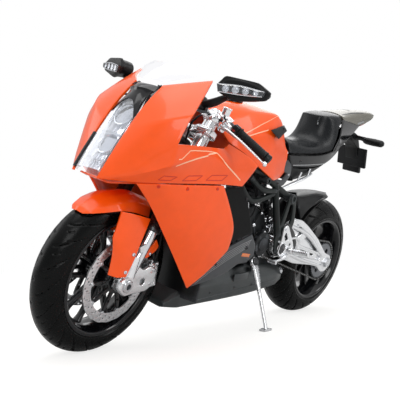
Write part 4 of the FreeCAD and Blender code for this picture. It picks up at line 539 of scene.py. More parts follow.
class Part:
    """One object in the making. A shape is (points in bike mm, faces)."""

    def __init__(self):
        self.points, self.faces, self.slots = [], [], []

    def add(self, shape, slot=0, side=1, matrix=None):
        """Add a shape in a material slot; side -1 mirrors it to the other side."""
        points, faces = shape
        if matrix is not None:
            points = [matrix @ Vector(point) for point in points]
        if side < 0:
            points = [(point[0], -point[1], point[2]) for point in points]
            faces = [tuple(reversed(face)) for face in faces]
        first = len(self.points)
        self.points += [tuple(point) for point in points]
        self.faces += [tuple(i + first for i in face) for face in faces]
        self.slots += [slot] * len(faces)

    def add_mirror_image(self):
        slots = list(self.slots)
        self.add((self.points, self.faces), side=-1)
        self.slots[len(slots):] = slots

    def build(self, name, materials, slot, node_name=None, body="chassis", matrix=BIKE,
              recalc=True, bevel=0.0, split=38):
        mesh = bpy.data.meshes.new(name)
        mesh.from_pydata([tuple(matrix @ Vector(point)) for point in self.points], [], self.faces)
        for i, face in enumerate(mesh.polygons):
            face.material_index = self.slots[i]
        for key in materials:
            mesh.materials.append(M[key])
        if recalc:
            bm = bmesh.new()
            bm.from_mesh(mesh)
            bmesh.ops.recalc_face_normals(bm, faces=bm.faces)
            bm.to_mesh(mesh)
            bm.free()
        mesh.validate()
        made = new_object(name, mesh)
        if bevel:
            add_bevel(made, "bevel", bevel, 35).use_clamp_overlap = True
        smooth_by(made, split)
        register(made, node_name, body)


# ---------------------------------------------------------------- shape helpers
def axes_for(direction):
    """Two axes square to a direction, and the direction itself."""
    direction = Vector(direction).normalized()
    helper = Vector((0, 0, 1)) if abs(direction.z) < 0.9 else Vector((1, 0, 0))
    first = direction.cross(helper).normalized()
    return first, direction.cross(first).normalized(), direction


def lathe(base, axis, profile, count=48, closed=False):
    """Revolve (radius, height) points about an axis through base; closed joins the ends."""
    base = Vector(base)
    first, second, axis = axes_for(axis)
    points, faces = [], []
    for i in range(count):
        angle = TURN * i / count
        out = first * math.cos(angle) + second * math.sin(angle)
        for radius, height in profile:
            points.append(base + out * radius + axis * height)
    size = len(profile)
    for i in range(count):
        j = (i + 1) % count
        for k in range(size if closed else size - 1):
            k2 = (k + 1) % size
            faces.append((i * size + k, j * size + k, j * size + k2, i * size + k2))
    if not closed:
        if profile[0][0] > 1e-6:
            faces.append(tuple(i * size for i in range(count)))
        if profile[-1][0] > 1e-6:
            faces.append(tuple(i * size + size - 1 for i in reversed(range(count))))
    return points, faces


def rod(start, end, radius, end_radius=None, chamfer=0.12, count=24):
    """Round rod with chamfered ends."""
    start, end = Vector(start), Vector(end)
    end_radius = radius if end_radius is None else end_radius
    length = (end - start).length
    return lathe(start, end - start,
                 [(max(radius - chamfer, 0.01), 0), (radius, chamfer),
                  (end_radius, length - chamfer), (max(end_radius - chamfer, 0.01), length)],
                 count)


def ball_profile(radius):
    angles = [math.radians(degrees) for degrees in range(-75, 90, 15)]
    return ([(0.001, -radius)] + [(radius * math.cos(a), radius * math.sin(a)) for a in angles]
            + [(0.001, radius)])


def smooth_path(points, steps):
    """Catmull-Rom curve through the points."""
    path = [Vector(point) for point in points]
    path = [path[0] * 2 - path[1]] + path + [path[-1] * 2 - path[-2]]
    out = []
    for i in range(1, len(path) - 2):
        a, b, c, d = path[i - 1:i + 3]
        for k in range(steps):
            t = k / steps
            out.append(0.5 * ((2 * b) + (c - a) * t + (2 * a - 5 * b + 4 * c - d) * t * t
                              + (3 * b - a - 3 * c + d) * t ** 3))
    out.append(path[-2])
    return out


def tube(points, radius, sides=14, steps=6, flat=1.0, up=None):
    """Capped tube through points. radius is a number or a list of stations; flat squeezes it
    along its second axis; steps 1 leaves the path unsmoothed."""
    path = smooth_path(points, steps) if steps > 1 else [Vector(point) for point in points]
    count = len(path)
    if isinstance(radius, (int, float)):
        radii = [radius] * count
    else:
        radii = list(np.interp(np.linspace(0, len(radius) - 1, count), range(len(radius)), radius))
    tangents = [(path[min(i + 1, count - 1)] - path[max(i - 1, 0)]).normalized()
                for i in range(count)]
    first = Vector(up) if up else axes_for(tangents[0])[0]
    first = (first - tangents[0] * first.dot(tangents[0])).normalized()
    out = []
    for centre, tangent, size in zip(path, tangents, radii):
        first = (first - tangent * first.dot(tangent)).normalized()
        second = tangent.cross(first)
        for j in range(sides):
            angle = TURN * j / sides
            out.append(centre + first * (size * math.cos(angle))
                       + second * (size * flat * math.sin(angle)))
    caps = [tuple(reversed(range(sides))), tuple(range((count - 1) * sides, count * sides))]
    return out, ring_faces(count, sides) + caps


def squared_bar(path, across, up, widths, heights, power, sides=12):
    """Bar of rounded-square section; a power nearer 0 is squarer."""
    points = []
    for centre, width, height in zip(path, widths, heights):
        for j in range(sides):
            angle = TURN * (j + 0.5) / sides
            cos, sin = math.cos(angle), math.sin(angle)
            points.append(centre + across * (math.copysign(abs(cos) ** power, cos) * width)
                          + up * (math.copysign(abs(sin) ** power, sin) * height))
    count = len(path)
    caps = [tuple(range(sides)), tuple(range((count - 1) * sides, count * sides))]
    return points, ring_faces(count, sides) + caps


def slab(front, back, columns):
    """Sheet with thickness from two matching grids of points."""
    rows, n, half = len(front) // columns, columns, len(front)
    faces = []
    for a, b, c, d in grid_faces(rows, columns):
        faces += [(a, b, c, d), (half + d, half + c, half + b, half + a)]
    top = (rows - 1) * n
    for j in range(n - 1):
        faces += [(j + 1, j, half + j, half + j + 1),
                  (top + j, top + j + 1, half + top + j + 1, half + top + j)]
    for i in range(rows - 1):
        low, high, last = i * n, (i + 1) * n, n - 1
        faces += [(low, high, half + high, half + low),
                  (high + last, low + last, half + low + last, half + high + last)]
    return front + back, faces


def round_poly(points, radius, steps=4):
    """Round the corners of a closed outline."""
    out = []
    for i in range(len(points)):
        corner = Vector(points[i])
        before = Vector(points[i - 1]) - corner
        after = Vector(points[(i + 1) % len(points)]) - corner
        reach = min(radius, before.length * 0.42, after.length * 0.42)
        start, end = corner + before.normalized() * reach, corner + after.normalized() * reach
        for j in range(steps + 1):
            t = j / steps
            out.append(tuple(start * (1 - t) ** 2 + corner * 2 * t * (1 - t) + end * t * t))
    return out


def plate(outline, holes, y0, y1, bevel=0.15, corner=0.8, hole_corner=0.5, steps=2):
    """Flat plate drawn in (x, z) between two y planes, with holes and bevelled edges."""
    curve = bpy.data.curves.new("tmp", 'CURVE')
    curve.dimensions = '2D'
    curve.fill_mode = 'BOTH'
    half = abs(y1 - y0) / 2
    bevel = min(bevel, half * 0.9)
    curve.extrude = half - bevel
    curve.bevel_depth = bevel
    curve.bevel_resolution = steps
    curve.offset = -bevel
    for loop, radius in [(outline, corner)] + [(hole, hole_corner) for hole in holes]:
        loop = round_poly(loop, radius) if radius > 0 else loop
        spline = curve.splines.new('POLY')
        spline.points.add(len(loop) - 1)
        for i, (x, z) in enumerate(loop):
            spline.points[i].co = (x, z, 0, 1)
        spline.use_cyclic_u = True
    helper = new_object("tmp", curve)
    bpy.context.view_layer.update()
    graph = bpy.context.evaluated_depsgraph_get()
    mesh = bpy.data.meshes.new_from_object(helper.evaluated_get(graph))
    middle = (y0 + y1) / 2
    bm = bmesh.new()
    verts = [bm.verts.new((v.co.x, middle - v.co.z, v.co.y)) for v in mesh.vertices]
    for face in mesh.polygons:
        try:
            bm.faces.new([verts[i] for i in face.vertices])
        except ValueError:
            pass    # the curve fill may give a face twice
    bpy.data.objects.remove(helper)
    bpy.data.curves.remove(curve)
    bpy.data.meshes.remove(mesh)
    # weld the caps to the walls
    bmesh.ops.remove_doubles(bm, verts=bm.verts, dist=1e-4)
    bm.verts.index_update()
    shape = ([tuple(v.co) for v in bm.verts],
             [tuple(v.index for v in face.verts) for face in bm.faces])
    bm.free()
    return shape


def circle(centre, radius, count=28):
    return [(centre[0] + radius * math.cos(TURN * i / count),
             centre[1] + radius * math.sin(TURN * i / count)) for i in range(count)]


def block(centre, size, rotation=None, taper=1.0):
    """Box with an optional tapered far face."""
    half_x, half_y, half_z = [length / 2 for length in size]
    points = []
    for z, scale in ((-half_z, 1.0), (half_z, taper)):
        for x, y in ((-half_x, -half_y), (half_x, -half_y), (half_x, half_y), (-half_x, half_y)):
            points.append(Vector((x * scale, y * scale, z)))
    if rotation is not None:
        points = [rotation @ point for point in points]
    return ([point + Vector(centre) for point in points],
            [(3, 2, 1, 0), (4, 5, 6, 7), (0, 1, 5, 4), (1, 2, 6, 5), (2, 3, 7, 6), (3, 0, 4, 7)])


def bolt(centre, axis, radius, height):
    """Button-head bolt with a recess, head pointing along the axis."""
    return lathe(centre, axis,
                 [(radius, -0.05), (radius, height * 0.45), (radius * 0.86, height * 0.85),
                  (radius * 0.6, height), (radius * 0.42, height), (radius * 0.36, height * 0.35),
                  (0.001, height * 0.35)], 12)


def add_bolt_circle(part, centre, pitch_radius, count, axis):
    """Bolts in a circle about an axle-wise centre, in the part's slot 2."""
    x, y, z = centre
    for i in range(count):
        a = TURN * i / count
        part.add(bolt((x + pitch_radius * math.cos(a), y, z + pitch_radius * math.sin(a)), axis,
                      0.42, 0.4), 2)


def turn_to(direction):
    """Rotation whose Z axis lies along a direction."""
    direction = Vector(direction).normalized()
    x_axis = Vector((0, 0, 1)).cross(direction).normalized()
    return Matrix((x_axis, direction.cross(x_axis), direction)).transposed()


def across(points, side):
    """Points with their y measured toward one side."""
    return [(x, y * side, z) for x, y, z in points]


def tilt(angle):
    return Matrix.Rotation(angle, 3, 'Y')


# ---------------------------------------------------------------- moulded panels
SOFT_CORNER = 24    # degrees of turn along an open edge above which a corner stays crisp


def panel(cage, name, material, node_name, body="chassis", matrix=BIKE, levels=3,
          bevel=0.12, thickness=0.7):
    """Subdivided shell from a control cage; thickness 0 is for cages that are closed."""
    points, faces, creases = cage
    mesh = bpy.data.meshes.new(name)
    mesh.from_pydata([tuple(matrix @ Vector(point)) for point in points], [], faces)
    mesh.materials.append(M[material])
    bm = bmesh.new()
    bm.from_mesh(mesh)
    bm.verts.ensure_lookup_table()
    edge_layer = bm.edges.layers.float.new("crease_edge")
    for a, b, weight in creases:
        bm.edges.get((bm.verts[a], bm.verts[b]))[edge_layer] = weight
    vert_layer = bm.verts.layers.float.new("crease_vert")
    for vert in bm.verts:
        rim = [edge for edge in vert.link_edges if edge.is_boundary]
        if len(rim) != 2:
            continue
        ahead = (rim[0].other_vert(vert).co - vert.co).normalized()
        behind = (vert.co - rim[1].other_vert(vert).co).normalized()
        angle = math.degrees(ahead.angle(behind))
        if angle > SOFT_CORNER:
            vert[vert_layer] = min(1.0, 0.4 + (angle - SOFT_CORNER) / 30)
    bm.to_mesh(mesh)
    bm.free()
    made = new_object(name, mesh)
    subdivide = made.modifiers.new("sub", 'SUBSURF')
    subdivide.levels = subdivide.render_levels = levels
    subdivide.boundary_smooth = 'PRESERVE_CORNERS'
    if thickness:
        solid = made.modifiers.new("thick", 'SOLIDIFY')
        solid.thickness = thickness * MM
        solid.offset = -1.0
        solid.use_even_offset = True
        solid.thickness_clamp = 0.6
    if bevel:
        add_bevel(made, "edge", bevel, 55)
    smooth_by(made, 40)
    return register(made, node_name, body)


def skin_tree(made):
    """Search tree of the outer skin: the cage and its subdivision, without thickness."""
    shown = {}
    for modifier in made.modifiers:
        shown[modifier.name] = modifier.show_viewport
        modifier.show_viewport = (modifier.type == 'SUBSURF')
    bpy.context.view_layer.update()
    evaluated = made.evaluated_get(bpy.context.evaluated_depsgraph_get())
    mesh = evaluated.to_mesh()
    points = [made.matrix_world @ v.co for v in mesh.vertices]
    faces = [tuple(face.vertices) for face in mesh.polygons]
    evaluated.to_mesh_clear()
    for modifier in made.modifiers:
        modifier.show_viewport = shown[modifier.name]
    return BVHTree.FromPolygons(points, faces)


def ribbon(name, skin, points, width, material, side=1, closed=False, taper=False):
    """Painted line, also laid as a painted highlight: a thin strip that follows a panel's skin.
    Width in mm.
    """
    lift = 0.035    # mm above the skin
    points = [Vector(point) for point in across(points, side)]
    if closed:
        points.append(points[0])
    samples = []
    for a, b in zip(points[:-1], points[1:]):
        steps = max(1, int((b - a).length / 0.5))
        samples += [a.lerp(b, i / steps) for i in range(steps)]
    samples.append(points[-1])
    path = [BIKE @ point for point in samples]
    last = len(path) - 1
    outward = BIKE.to_3x3() @ Vector((0, side, 0.2))
    verts = []
    for i, point in enumerate(path):
        centre, normal = skin.find_nearest(point)[:2]
        tangent = (path[min(i + 1, last)] - path[max(i - 1, 0)]).normalized()
        if normal.dot(outward) < 0:
            normal = -normal
        sideways = normal.cross(tangent).normalized()
        half = width * 0.5 * MM * (1 - 0.7 * i / max(1, last) if taper else 1)
        for sign in (-1, 1):
            spot, spot_normal = skin.find_nearest(centre + sideways * half * sign)[:2]
            if not spot_normal.dot(normal) > 0:
                spot_normal = -spot_normal
            verts.append(spot + spot_normal * lift * MM)
    faces = [(2 * i, 2 * i + 1, 2 * i + 3, 2 * i + 2) for i in range(last)]
    mesh = bpy.data.meshes.new(name)
    mesh.from_pydata([tuple(vert) for vert in verts], [], faces)
    mesh.materials.append(M[material])
    made = new_object(name, mesh)
    solid = made.modifiers.new("thick", 'SOLIDIFY')
    solid.thickness = 0.00003
    solid.offset = 0
    register(made)


panels = {}
for word, side in SIDES:
    panels["upper_" + word] = panel(
        side_cage("upper_fairing", side), "upper_panel_" + word, "orange",
        "upper_fairing_" + word, bevel=0.1)
    panels["side_" + word] = panel(
        side_cage("side_fairing", side), "side_panel_" + word, "orange",
        "side_fairing_" + word, bevel=0.1)
    panels["inner_" + word] = panel(
        side_cage("inner_fairing", side), "duct_panel_" + word, "inner",
        "inner_fairings")
    panels["lower_" + word] = panel(
        side_cage("lower_cover", side), "lower_cover_skin_" + word, "cover",
        "lower_covers")
    panels["tail_" + word] = panel(
        side_cage("tail_side", side), "tail_panel_" + word, "black", "tail_sides")
    panels["insert_" + word] = panel(
        side_cage("tank_insert", side), "tank_insert_skin_" + word, "satin",
        "tank_inserts", levels=2, bevel=0.05, thickness=0.25)
    panels["guard_" + word] = panel(
        side_cage("fork_guard", side), "fork_guard_skin_" + word, "orange",
        "front_fender", body="fork_lower", matrix=FRONT)
panels["tank"] = panel(whole_cage("fuel_tank"), "tank_skin", "orange", "fuel_tank")
panels["seat"] = panel(whole_cage("seat"), "seat_skin", "seat", "seat", bevel=0.2,
                       thickness=1.0)
panel(whole_cage("undertray"), "undertray_skin", "satin", "undertray")
panels["tail_cover"] = panel(whole_cage("tail_cover"), "tail_cover_skin", "grey",
                             "tail_cover")
panel(whole_cage("tail_light"), "tail_lamp_skin", "red", "tail_light", thickness=0.5)
panel(whole_cage("front_fender", all_creased=0.45), "fender_skin", "orange",
      "front_fender", body="fork_lower", matrix=FRONT, thickness=0.6)
panel(whole_cage("hugger"), "hugger_skin", "satin", "hugger", body="rear_arm",
      thickness=0.6)
panel(whole_cage("nose_underside"), "nose_pan_skin", "orange", "nose_underside",
      thickness=0.6)
panel(whole_cage("dash_cover"), "cockpit_trim_skin", "black", "dash_cover",
      thickness=0.6)
panels["lens"] = panel(whole_cage("headlight_lens"), "headlamp_glass", "glass",
                       "headlight_lens", bevel=0, thickness=0.5)
panel(whole_cage("windscreen"), "screen_skin", "screen", "windscreen", bevel=0,
      thickness=0.3)
panel(whole_cage("exhaust_box", all_creased=0.92), "exhaust_box_skin", "box",
      "exhaust_box", thickness=0)
skins = {key: skin_tree(made) for key, made in panels.items()}

# ---------------------------------------------------------------- lines, graphics, painted highlights and screws
# Outlines as (x, y, z), drawn for the left and laid on the nearest skin.
PIN_LINE_A = [(118.5, 18.3, 63.2), (110.4, 18.6, 65.4), (100.6, 18.1, 67.6), (95.2, 19.2, 64.2),
              (87.5, 19.3, 60.4)]
PIN_LINE_B = [(118.3, 18.2, 64.4), (117.1, 18.1, 64.5), (114, 17.7, 67.1), (107.8, 17.7, 67.3),
              (100.9, 18.1, 67.6)]
BARS = [[(120.6, 16.1, 57.7), (119.8, 17.3, 59.1), (115.1, 17.3, 59.5), (116.8, 16.9, 58.1)],
        [(112.6, 17.7, 58.3), (111, 18, 60), (105.2, 18.3, 60.5), (107.3, 18.3, 58.8)],
        [(103.3, 18.6, 59.2), (101.3, 18.8, 60.9), (94.3, 19.2, 61.5), (96.4, 19.1, 59.7)]]
# Tank lines A and B are painted highlights: pale strips where the tank's creases catch the light.
TANK_HIGHLIGHT_A = [(80.6, 12.7, 75.3), (72.2, 11.8, 79.2), (59.9, 8.8, 83.4)]
TANK_HIGHLIGHT_B = [(80.2, 12.7, 74.0), (74.9, 13.3, 76.1), (68.6, 13.1, 78.0)]
COVER_LINES = [[(92, 15.5, 28 - k * 0.9), (86.5, 15.8, 31.6 - k * 0.9),
                (79.5, 15.9, 35.4 - k * 0.85), (74.5, 16.1, 37.6 - k * 0.8),
                (68.9 + k * 0.2, 16.3, 39.6 - k * 0.7)] for k in range(5)]


def seat_bolt(part, skin_name, x, y, z, radius, height, side, matrix=BIKE):
    """Bolt set square on a panel's skin."""
    point, normal = skins[skin_name].find_nearest(matrix @ Vector((x, y * side, z)))[:2]
    inverse = matrix.inverted()
    normal = (inverse.to_3x3() @ normal).normalized()
    if normal.y * side < 0:
        normal = -normal
    part.add(bolt(inverse @ point, normal, radius, height))


for word, side in SIDES:
    upper, tank, lower = skins["upper_" + word], skins["tank"], skins["lower_" + word]
    ribbon("pinline_a_" + word, upper, PIN_LINE_A, 0.42, "orange_line", side)
    ribbon("pinline_b_" + word, upper, PIN_LINE_B, 0.28, "orange_line", side)
    for i, bar in enumerate(BARS):
        ribbon("graphic_bar%d_%s" % (i, word), upper, bar, 0.3, "orange_dark",
               side, closed=True)
    # painted highlights along the tank's creases
    ribbon("tank_highlight_a_" + word, tank, TANK_HIGHLIGHT_A, 0.3, "orange_line", side,
           taper=True)
    ribbon("tank_highlight_b_" + word, tank, TANK_HIGHLIGHT_B, 0.32, "orange_line", side)
    for i, line in enumerate(COVER_LINES):
        ribbon("cover_line%d_%s" % (i, word), lower, line, 0.16, "line", side)
    ribbon("cover_patch_" + word, lower, [(71.4, 15.7, 34), (66.6, 15.4, 33.5)], 1.3, "amber",
           side)
    # painted highlight: a pale strip where the edge of the step on the tail panel catches the light
    ribbon("tail_step_" + word, skins["tail_" + word],
           [(44, 9.8, 66.9), (34.7, 10.7, 67.9), (20.8, 10.4, 69.7)], 0.3, "line",
           side)
    ribbon("tail_strip_" + word, skins["tail_cover"], [(-8.6, 5, 89.3), (-16.4, 3.6, 91.2)], 0.9,
           "line", side)
    screws = Part()
    for x, z in ((120.4, 54.5), (109.6, 56.0), (97.3, 57.0)):
        seat_bolt(screws, "side_" + word, x, 18, z, 0.55, 0.3, side)
    screws.build("panel_screws_" + word, ["orange_dark"], "black_metal", "fairing_screws")
    bolts = Part()
    for skin_name, x, y, z, radius, height in (
            ("lower_", 70.2, 16, 36.6, 0.75, 0.35), ("insert_", 57.6, 10.4, 79.3, 0.55, 0.3),
            ("lower_", 84.5, 16, 30.8, 0.5, 0.3), ("inner_", 76, 16.5, 55.5, 0.5, 0.3),
            ("tail_", 40, 10, 68.9, 0.5, 0.25)):
        seat_bolt(bolts, skin_name + word, x, y, z, radius, height, side)
    bolts.build("cover_bolts_" + word, ["blackmetal"], "black_metal")
    bolts = Part()
    for x, y, z in ((119.9, 10.6, 34.7), (121.7, 10.7, 29.4)):
        seat_bolt(bolts, "guard_" + word, x, y, z, 0.62, 0.4, side, FRONT)
    bolts.build("guard_bolts_" + word, ["chrome"], "chrome_parts", body="fork_lower",
                matrix=FRONT)

# small plates behind the fork guards
part = Part()
for _, side in SIDES:
    part.add(plate([(112.7, 36.2), (110.4, 36.5), (109.3, 38.4), (107.4, 36.1), (108.4, 34.6),
                    (112, 32.4), (114.2, 33.4), (113.5, 34.9)], [], 8.9, 9.5, bevel=0.2,
                   corner=0.5), side=side)
    part.add(bolt((111, 9.5, 33.9), LEFT, 0.55, 0.35), 1, side)
part.build("guard_rear_pieces", ["orange", "chrome"], "orange_paint", body="fork_lower",
           matrix=FRONT, split=40)

# seam round the seat back, latch, lines on the tail cover
ribbon("tail_seam", skins["seat"], [(13, -7.9, 86.4), (14.2, -7, 88.6), (15.4, 0, 90.4),
                                    (14.2, 7, 88.6), (13, 7.9, 86.4)],
       0.2, "blackmetal")
part = Part()
part.add(block((21.9, 3.4, 86.2), (0.5, 2.6, 2.4), turn_to((0.9, 0, 0.35))))
part.add(block((22.5, 3.4, 84.7), (0.35, 1.3, 1.9), turn_to((0.95, 0, 0.2))))
part.add(rod((23.15, 3.4, 86), (23, 3.5, 84.4), 0.2, chamfer=0.05, count=12), 1)
part.build("seat_latch", ["satin", "chrome"], "black_satin", bevel=0.1)
for word, side in SIDES:
    ribbon("tail_top_line_" + word, skins["tail_cover"],
           [(7.5, 5.2, 91.6), (-2.6, 3.9, 93.4), (-16, 3, 95.3)], 0.5, "satin",
           side)
ribbon("tail_top_pad", skins["tail_cover"], [(-4, -1.9, 94.4), (-4, 0, 94.5), (-4, 1.9, 94.4)],
       1.3, "satin")

# filler cap on the tank
part = Part()
CAP_X, CAP_AXIS = 76.5, (0.05, 0, 1)
part.add(lathe((CAP_X, 0, 84.6), CAP_AXIS,
               [(3.6, 0), (3.6, 0.35), (3.3, 0.5), (2.7, 0.5), (2.6, 0.35), (2.4, 0.35),
                (2.3, 0.55), (0.9, 0.62), (0.001, 0.62)]))
for i in range(7):
    a = TURN * i / 7
    part.add(bolt((CAP_X + 3.1 * math.cos(a), 3.1 * math.sin(a), 85.1), CAP_AXIS, 0.28, 0.2), 1)
part.build("filler_cap", ["blackmetal", "chrome"], "black_metal")

# ---------------------------------------------------------------- headlamp behind its glass
LENS = HALF_GRIDS["headlight_lens"][2]
LENS_CENTRE, LENS_EDGE = LENS[0::3], LENS[2::3]
LAMP_AXIS = Vector((0.87, 0, 0.49))


def lens_x(z):
    """x of the glass on the centre plane at a height."""
    return float(np.interp(z, [p[2] for p in LENS_CENTRE], [p[0] for p in LENS_CENTRE]))


def lens_y(z):
    """Half width of the glass at a height."""
    return float(np.interp(z, [round(p[2]) for p in LENS_EDGE], [p[1] for p in LENS_EDGE]))


part = Part()
# back tray with vertical ribs, following the lens
TRAY_ROWS, TRAY_COLUMNS = 40, 25
points = []
for z in np.linspace(55.8, 79.6, TRAY_ROWS):
    for j in range(TRAY_COLUMNS):
        t = -1 + 2 * j / (TRAY_COLUMNS - 1)
        deep = 3.6 * (1 - abs(t) ** 3.0) + 1.0 + 0.32 * math.cos(t * 26)
        points.append((lens_x(z) - deep - 0.2, t * (lens_y(z) - 0.35), z + 0.2))
part.add((points, grid_faces(TRAY_ROWS, TRAY_COLUMNS)))
# two stepped reflector bowls, each with a bulb
for x, z, radius in ((121.4, 71.9, 3.3), (125.6, 63.0, 3.0)):
    centre = Vector((x, 0, z)) + LAMP_AXIS * -0.3
    profile = [(radius + 0.35, 1.9), (radius + 0.35, 2.3), (radius, 2.35)]
    for i in range(9):
        t = 1 - i / 8
        profile.append((radius * (0.28 + 0.72 * t) - (0.06 if i % 2 else 0), 2.2 * t * t))
    profile += [(0.55, 0.0), (0.5, 1.0), (0.001, 1.25)]
    part.add(lathe(centre, LAMP_AXIS, profile, 56), 1)
    part.add(lathe(centre + LAMP_AXIS * 0.2, LAMP_AXIS,
                   [(0.75, 0), (0.8, 1.3), (0.55, 1.6), (0.001, 1.75)], 20), 2)
# side bars, cross bars and the short fins at the foot
for side in (-1, 1):
    part.add(tube(across([(130, 4.1, 57), (127.2, 4.3, 63.5), (124.4, 4.2, 70),
                          (120.8, 3.3, 77.2)], side), 0.34, 10), 1)
part.add(tube([(126.3, -4.2, 66.6), (127, 0, 67.4), (126.3, 4.2, 66.6)], 0.5, 12, flat=0.6), 1)
part.add(tube([(129.8, -3.9, 59.2), (130.9, 0, 59), (129.8, 3.9, 59.2)], 0.45, 12, flat=0.6), 1)
for i in range(6):
    y = -2.5 + i
    part.add(tube([(130.2, y, 57.2), (128.4, y, 60.6)], 0.14, 6, steps=1), 1)
# the lamp chrome carries painted light: a faint glow where little light reaches behind the glass
part.build("headlamp_internals", ["lampchrome", "chrome", "glass"], "lamp_chrome",
           "headlight_housing", recalc=False, split=30)

# dark seals along the sides of the lamp, with a second one on the right
part = Part()
for side in (-1, 1):
    part.add(tube([(lens_x(z) - 2.9, side * (lens_y(z) + 0.1), z)
                   for z in np.linspace(55.6, 79.5, 8)], 0.45, 8, steps=3, flat=0.8))
part.add(tube([(lens_x(z) - 1.1, -(lens_y(z) + 0.05), z) for z in np.linspace(55.6, 66.0, 6)],
              0.6, 8, steps=3, flat=0.7))
part.build("lamp_seals", ["satin"], "black_satin")

# brow that rounds off the top of the lamp, blended from the glass into the cockpit trim
BROW_ROWS, BROW_COLUMNS = 9, 25
to_bike = BIKE.inverted()
front, back = [], []
for i in range(BROW_ROWS):
    rise = i / (BROW_ROWS - 1)
    for j in range(BROW_COLUMNS):
        t = -1 + 2 * j / (BROW_COLUMNS - 1)
        z = 77.7 - 4.6 * abs(t) ** 2.3
        low = Vector((lens_x(z) - 0.25 * abs(t) ** 6, t * (lens_y(z) + 0.4), z))
        top = Vector((float(np.interp(abs(t), [0, 0.6, 1], [120.6, 119.6, 118.6])), t * 5.0,
                      float(np.interp(abs(t), [0, 0.6, 1], [81.25, 81.35, 80.9]))))
        straight = low.lerp(top, rise)
        point, normal = skins["lens"].find_nearest(BIKE @ straight)[:2]
        point = to_bike @ point
        normal = (to_bike.to_3x3() @ normal).normalized()
        if normal.dot(LAMP_AXIS) < 0:
            normal = -normal
        if (point - straight).length < 2.2:
            blend = min(1.0, max(0.0, (rise - 0.7) / 0.3))
            spot = (point + normal * 0.2).lerp(top, blend)
        else:
            spot = straight + LAMP_AXIS * 0.2
        front.append(spot)
        back.append(spot - LAMP_AXIS * 0.45)
part = Part()
part.add(slab(front, back, BROW_COLUMNS))
part.build("lamp_brow", ["black"], "black_gloss", split=40)

# curved liner behind the front wheel
front, back = [], []
for i in range(13):
    z = 17.0 + 28.0 * i / 12
    for j in range(19):
        y = -13.4 + 26.8 * j / 18
        rib = 0.18 if j in (3, 4, 14, 15) else 0
        x = 90.2 - 0.013 * y * y - 0.25 * max(0, (z - 38) / 7) ** 2 + rib
        front.append((x, y, z))
        back.append((x - 0.6, y, z))
part = Part()
part.add(slab(front, back, 19))
part.build("belly_liner", ["satin"], "black_satin", split=40)

# ---------------------------------------------------------------- wheels
BEAD_LIFT = 0.9    # tyre section starts this far outside the rim radius
# Tread grooves: shift (in pitches), start and end across the tread, slant, half width (mm)
GROOVES = ((0.0, 0.10, 0.62, 0.9, 0.34), (0.42, 0.42, 0.86, 1.2, 0.30),
           (0.72, 0.24, 0.42, 0.8, 0.22))


def groove_depth(angle, across_tread, radius, count):
    """Depth of the tread cut, 0 to 1; across_tread runs -1 to 1."""
    pitch = TURN / count
    deepest = 0.0
    out = abs(across_tread)
    stagger = 0 if across_tread > 0 else 0.5
    for shift, start, end, slant, half_width in GROOVES:
        if out < start - 0.03 or out > end + 0.03:
            continue
        t = (out - start) / (end - start)
        centre = ((shift + stagger) * pitch
                  + slant * pitch * (max(t, 0.0) ** 1.6) * (end - start) * 1.3)
        gap = abs((angle - centre + pitch / 2) % pitch - pitch / 2) * radius
        fade = min(1.0, max(0.0, (t + 0.05) * 8)) * min(1.0, max(0.0, (1.05 - t) * 8))
        wall = 1 - gap / half_width
        if wall > 0:
            deepest = max(deepest, min(1.0, wall * 2.2) * fade)
    return deepest


def bead_angle(radius, crown):
    return math.asin((RIM_RADIUS + BEAD_LIFT - (radius - crown)) / crown)


def bead_half_width(radius, crown):
    return crown * math.cos(bead_angle(radius, crown)) - 0.75


def make_tyre(name, hub, matrix, radius, crown, node_name, body, grooves, across_steps, depth):
    """Tyre of circular crown section with cut tread, closed under the beads."""
    around = 640
    ring = radius - crown    # radius of the circle the crown centres lie on
    start = bead_angle(radius, crown)
    profile = []    # radius, y, place across the tread
    for i in range(across_steps + 1):
        a = start + (math.pi - 2 * start) * i / across_steps
        r, y = ring + crown * math.sin(a), crown * math.cos(a)
        place = (a - math.pi / 2) / (math.pi / 2 - start)
        # side wall: shallow steps and a rim guard ring
        if abs(place) > 0.74:
            k = (abs(place) - 0.74) / 0.26
            raised = (0.16 * math.exp(-((k - 0.22) / 0.05) ** 2)
                      + 0.2 * math.exp(-((k - 0.86) / 0.07) ** 2)) - 0.12 * min(1, k * 6)
            r += math.sin(a) * raised
            y += math.cos(a) * raised
        profile.append((r, y, place))
    bead = bead_half_width(radius, crown)
    for r, y in ((0.3, -bead - 0.1), (0.02, -bead + 0.2), (0.02, bead - 0.2), (0.3, bead + 0.1)):
        profile.append((RIM_RADIUS + r, y, None))
    size = len(profile)
    points, faces = [], []
    for i in range(around):
        angle = TURN * i / around
        for r, y, place in profile:
            if place is not None and abs(place) < 0.9:
                cut = groove_depth(angle, place, radius, grooves) * depth
                a = math.atan2(r - ring, y)
                r, y = r - cut * math.sin(a), y - cut * math.cos(a)
            points.append((hub[0] + r * math.cos(angle), hub[1] + y,
                           hub[2] + r * math.sin(angle)))
    for i in range(around):
        j = (i + 1) % around
        for k in range(size):
            k2 = (k + 1) % size
            faces.append((i * size + k, i * size + k2, j * size + k2, j * size + k))
    part = Part()
    part.add((points, faces))
    part.build(name, ["tyre"], "tread_rubber", node_name, body, matrix, split=60)


make_tyre("front_tyre_tread", FRONT_HUB, FRONT, FRONT_RADIUS, FRONT_CROWN, "front_tyre",
          "front_wheel", grooves=22, across_steps=74, depth=0.34)
make_tyre("rear_tyre_tread", REAR_HUB, BIKE, REAR_RADIUS, REAR_CROWN, "rear_tyre",
          "rear_wheel", grooves=20, across_steps=84, depth=0.42)


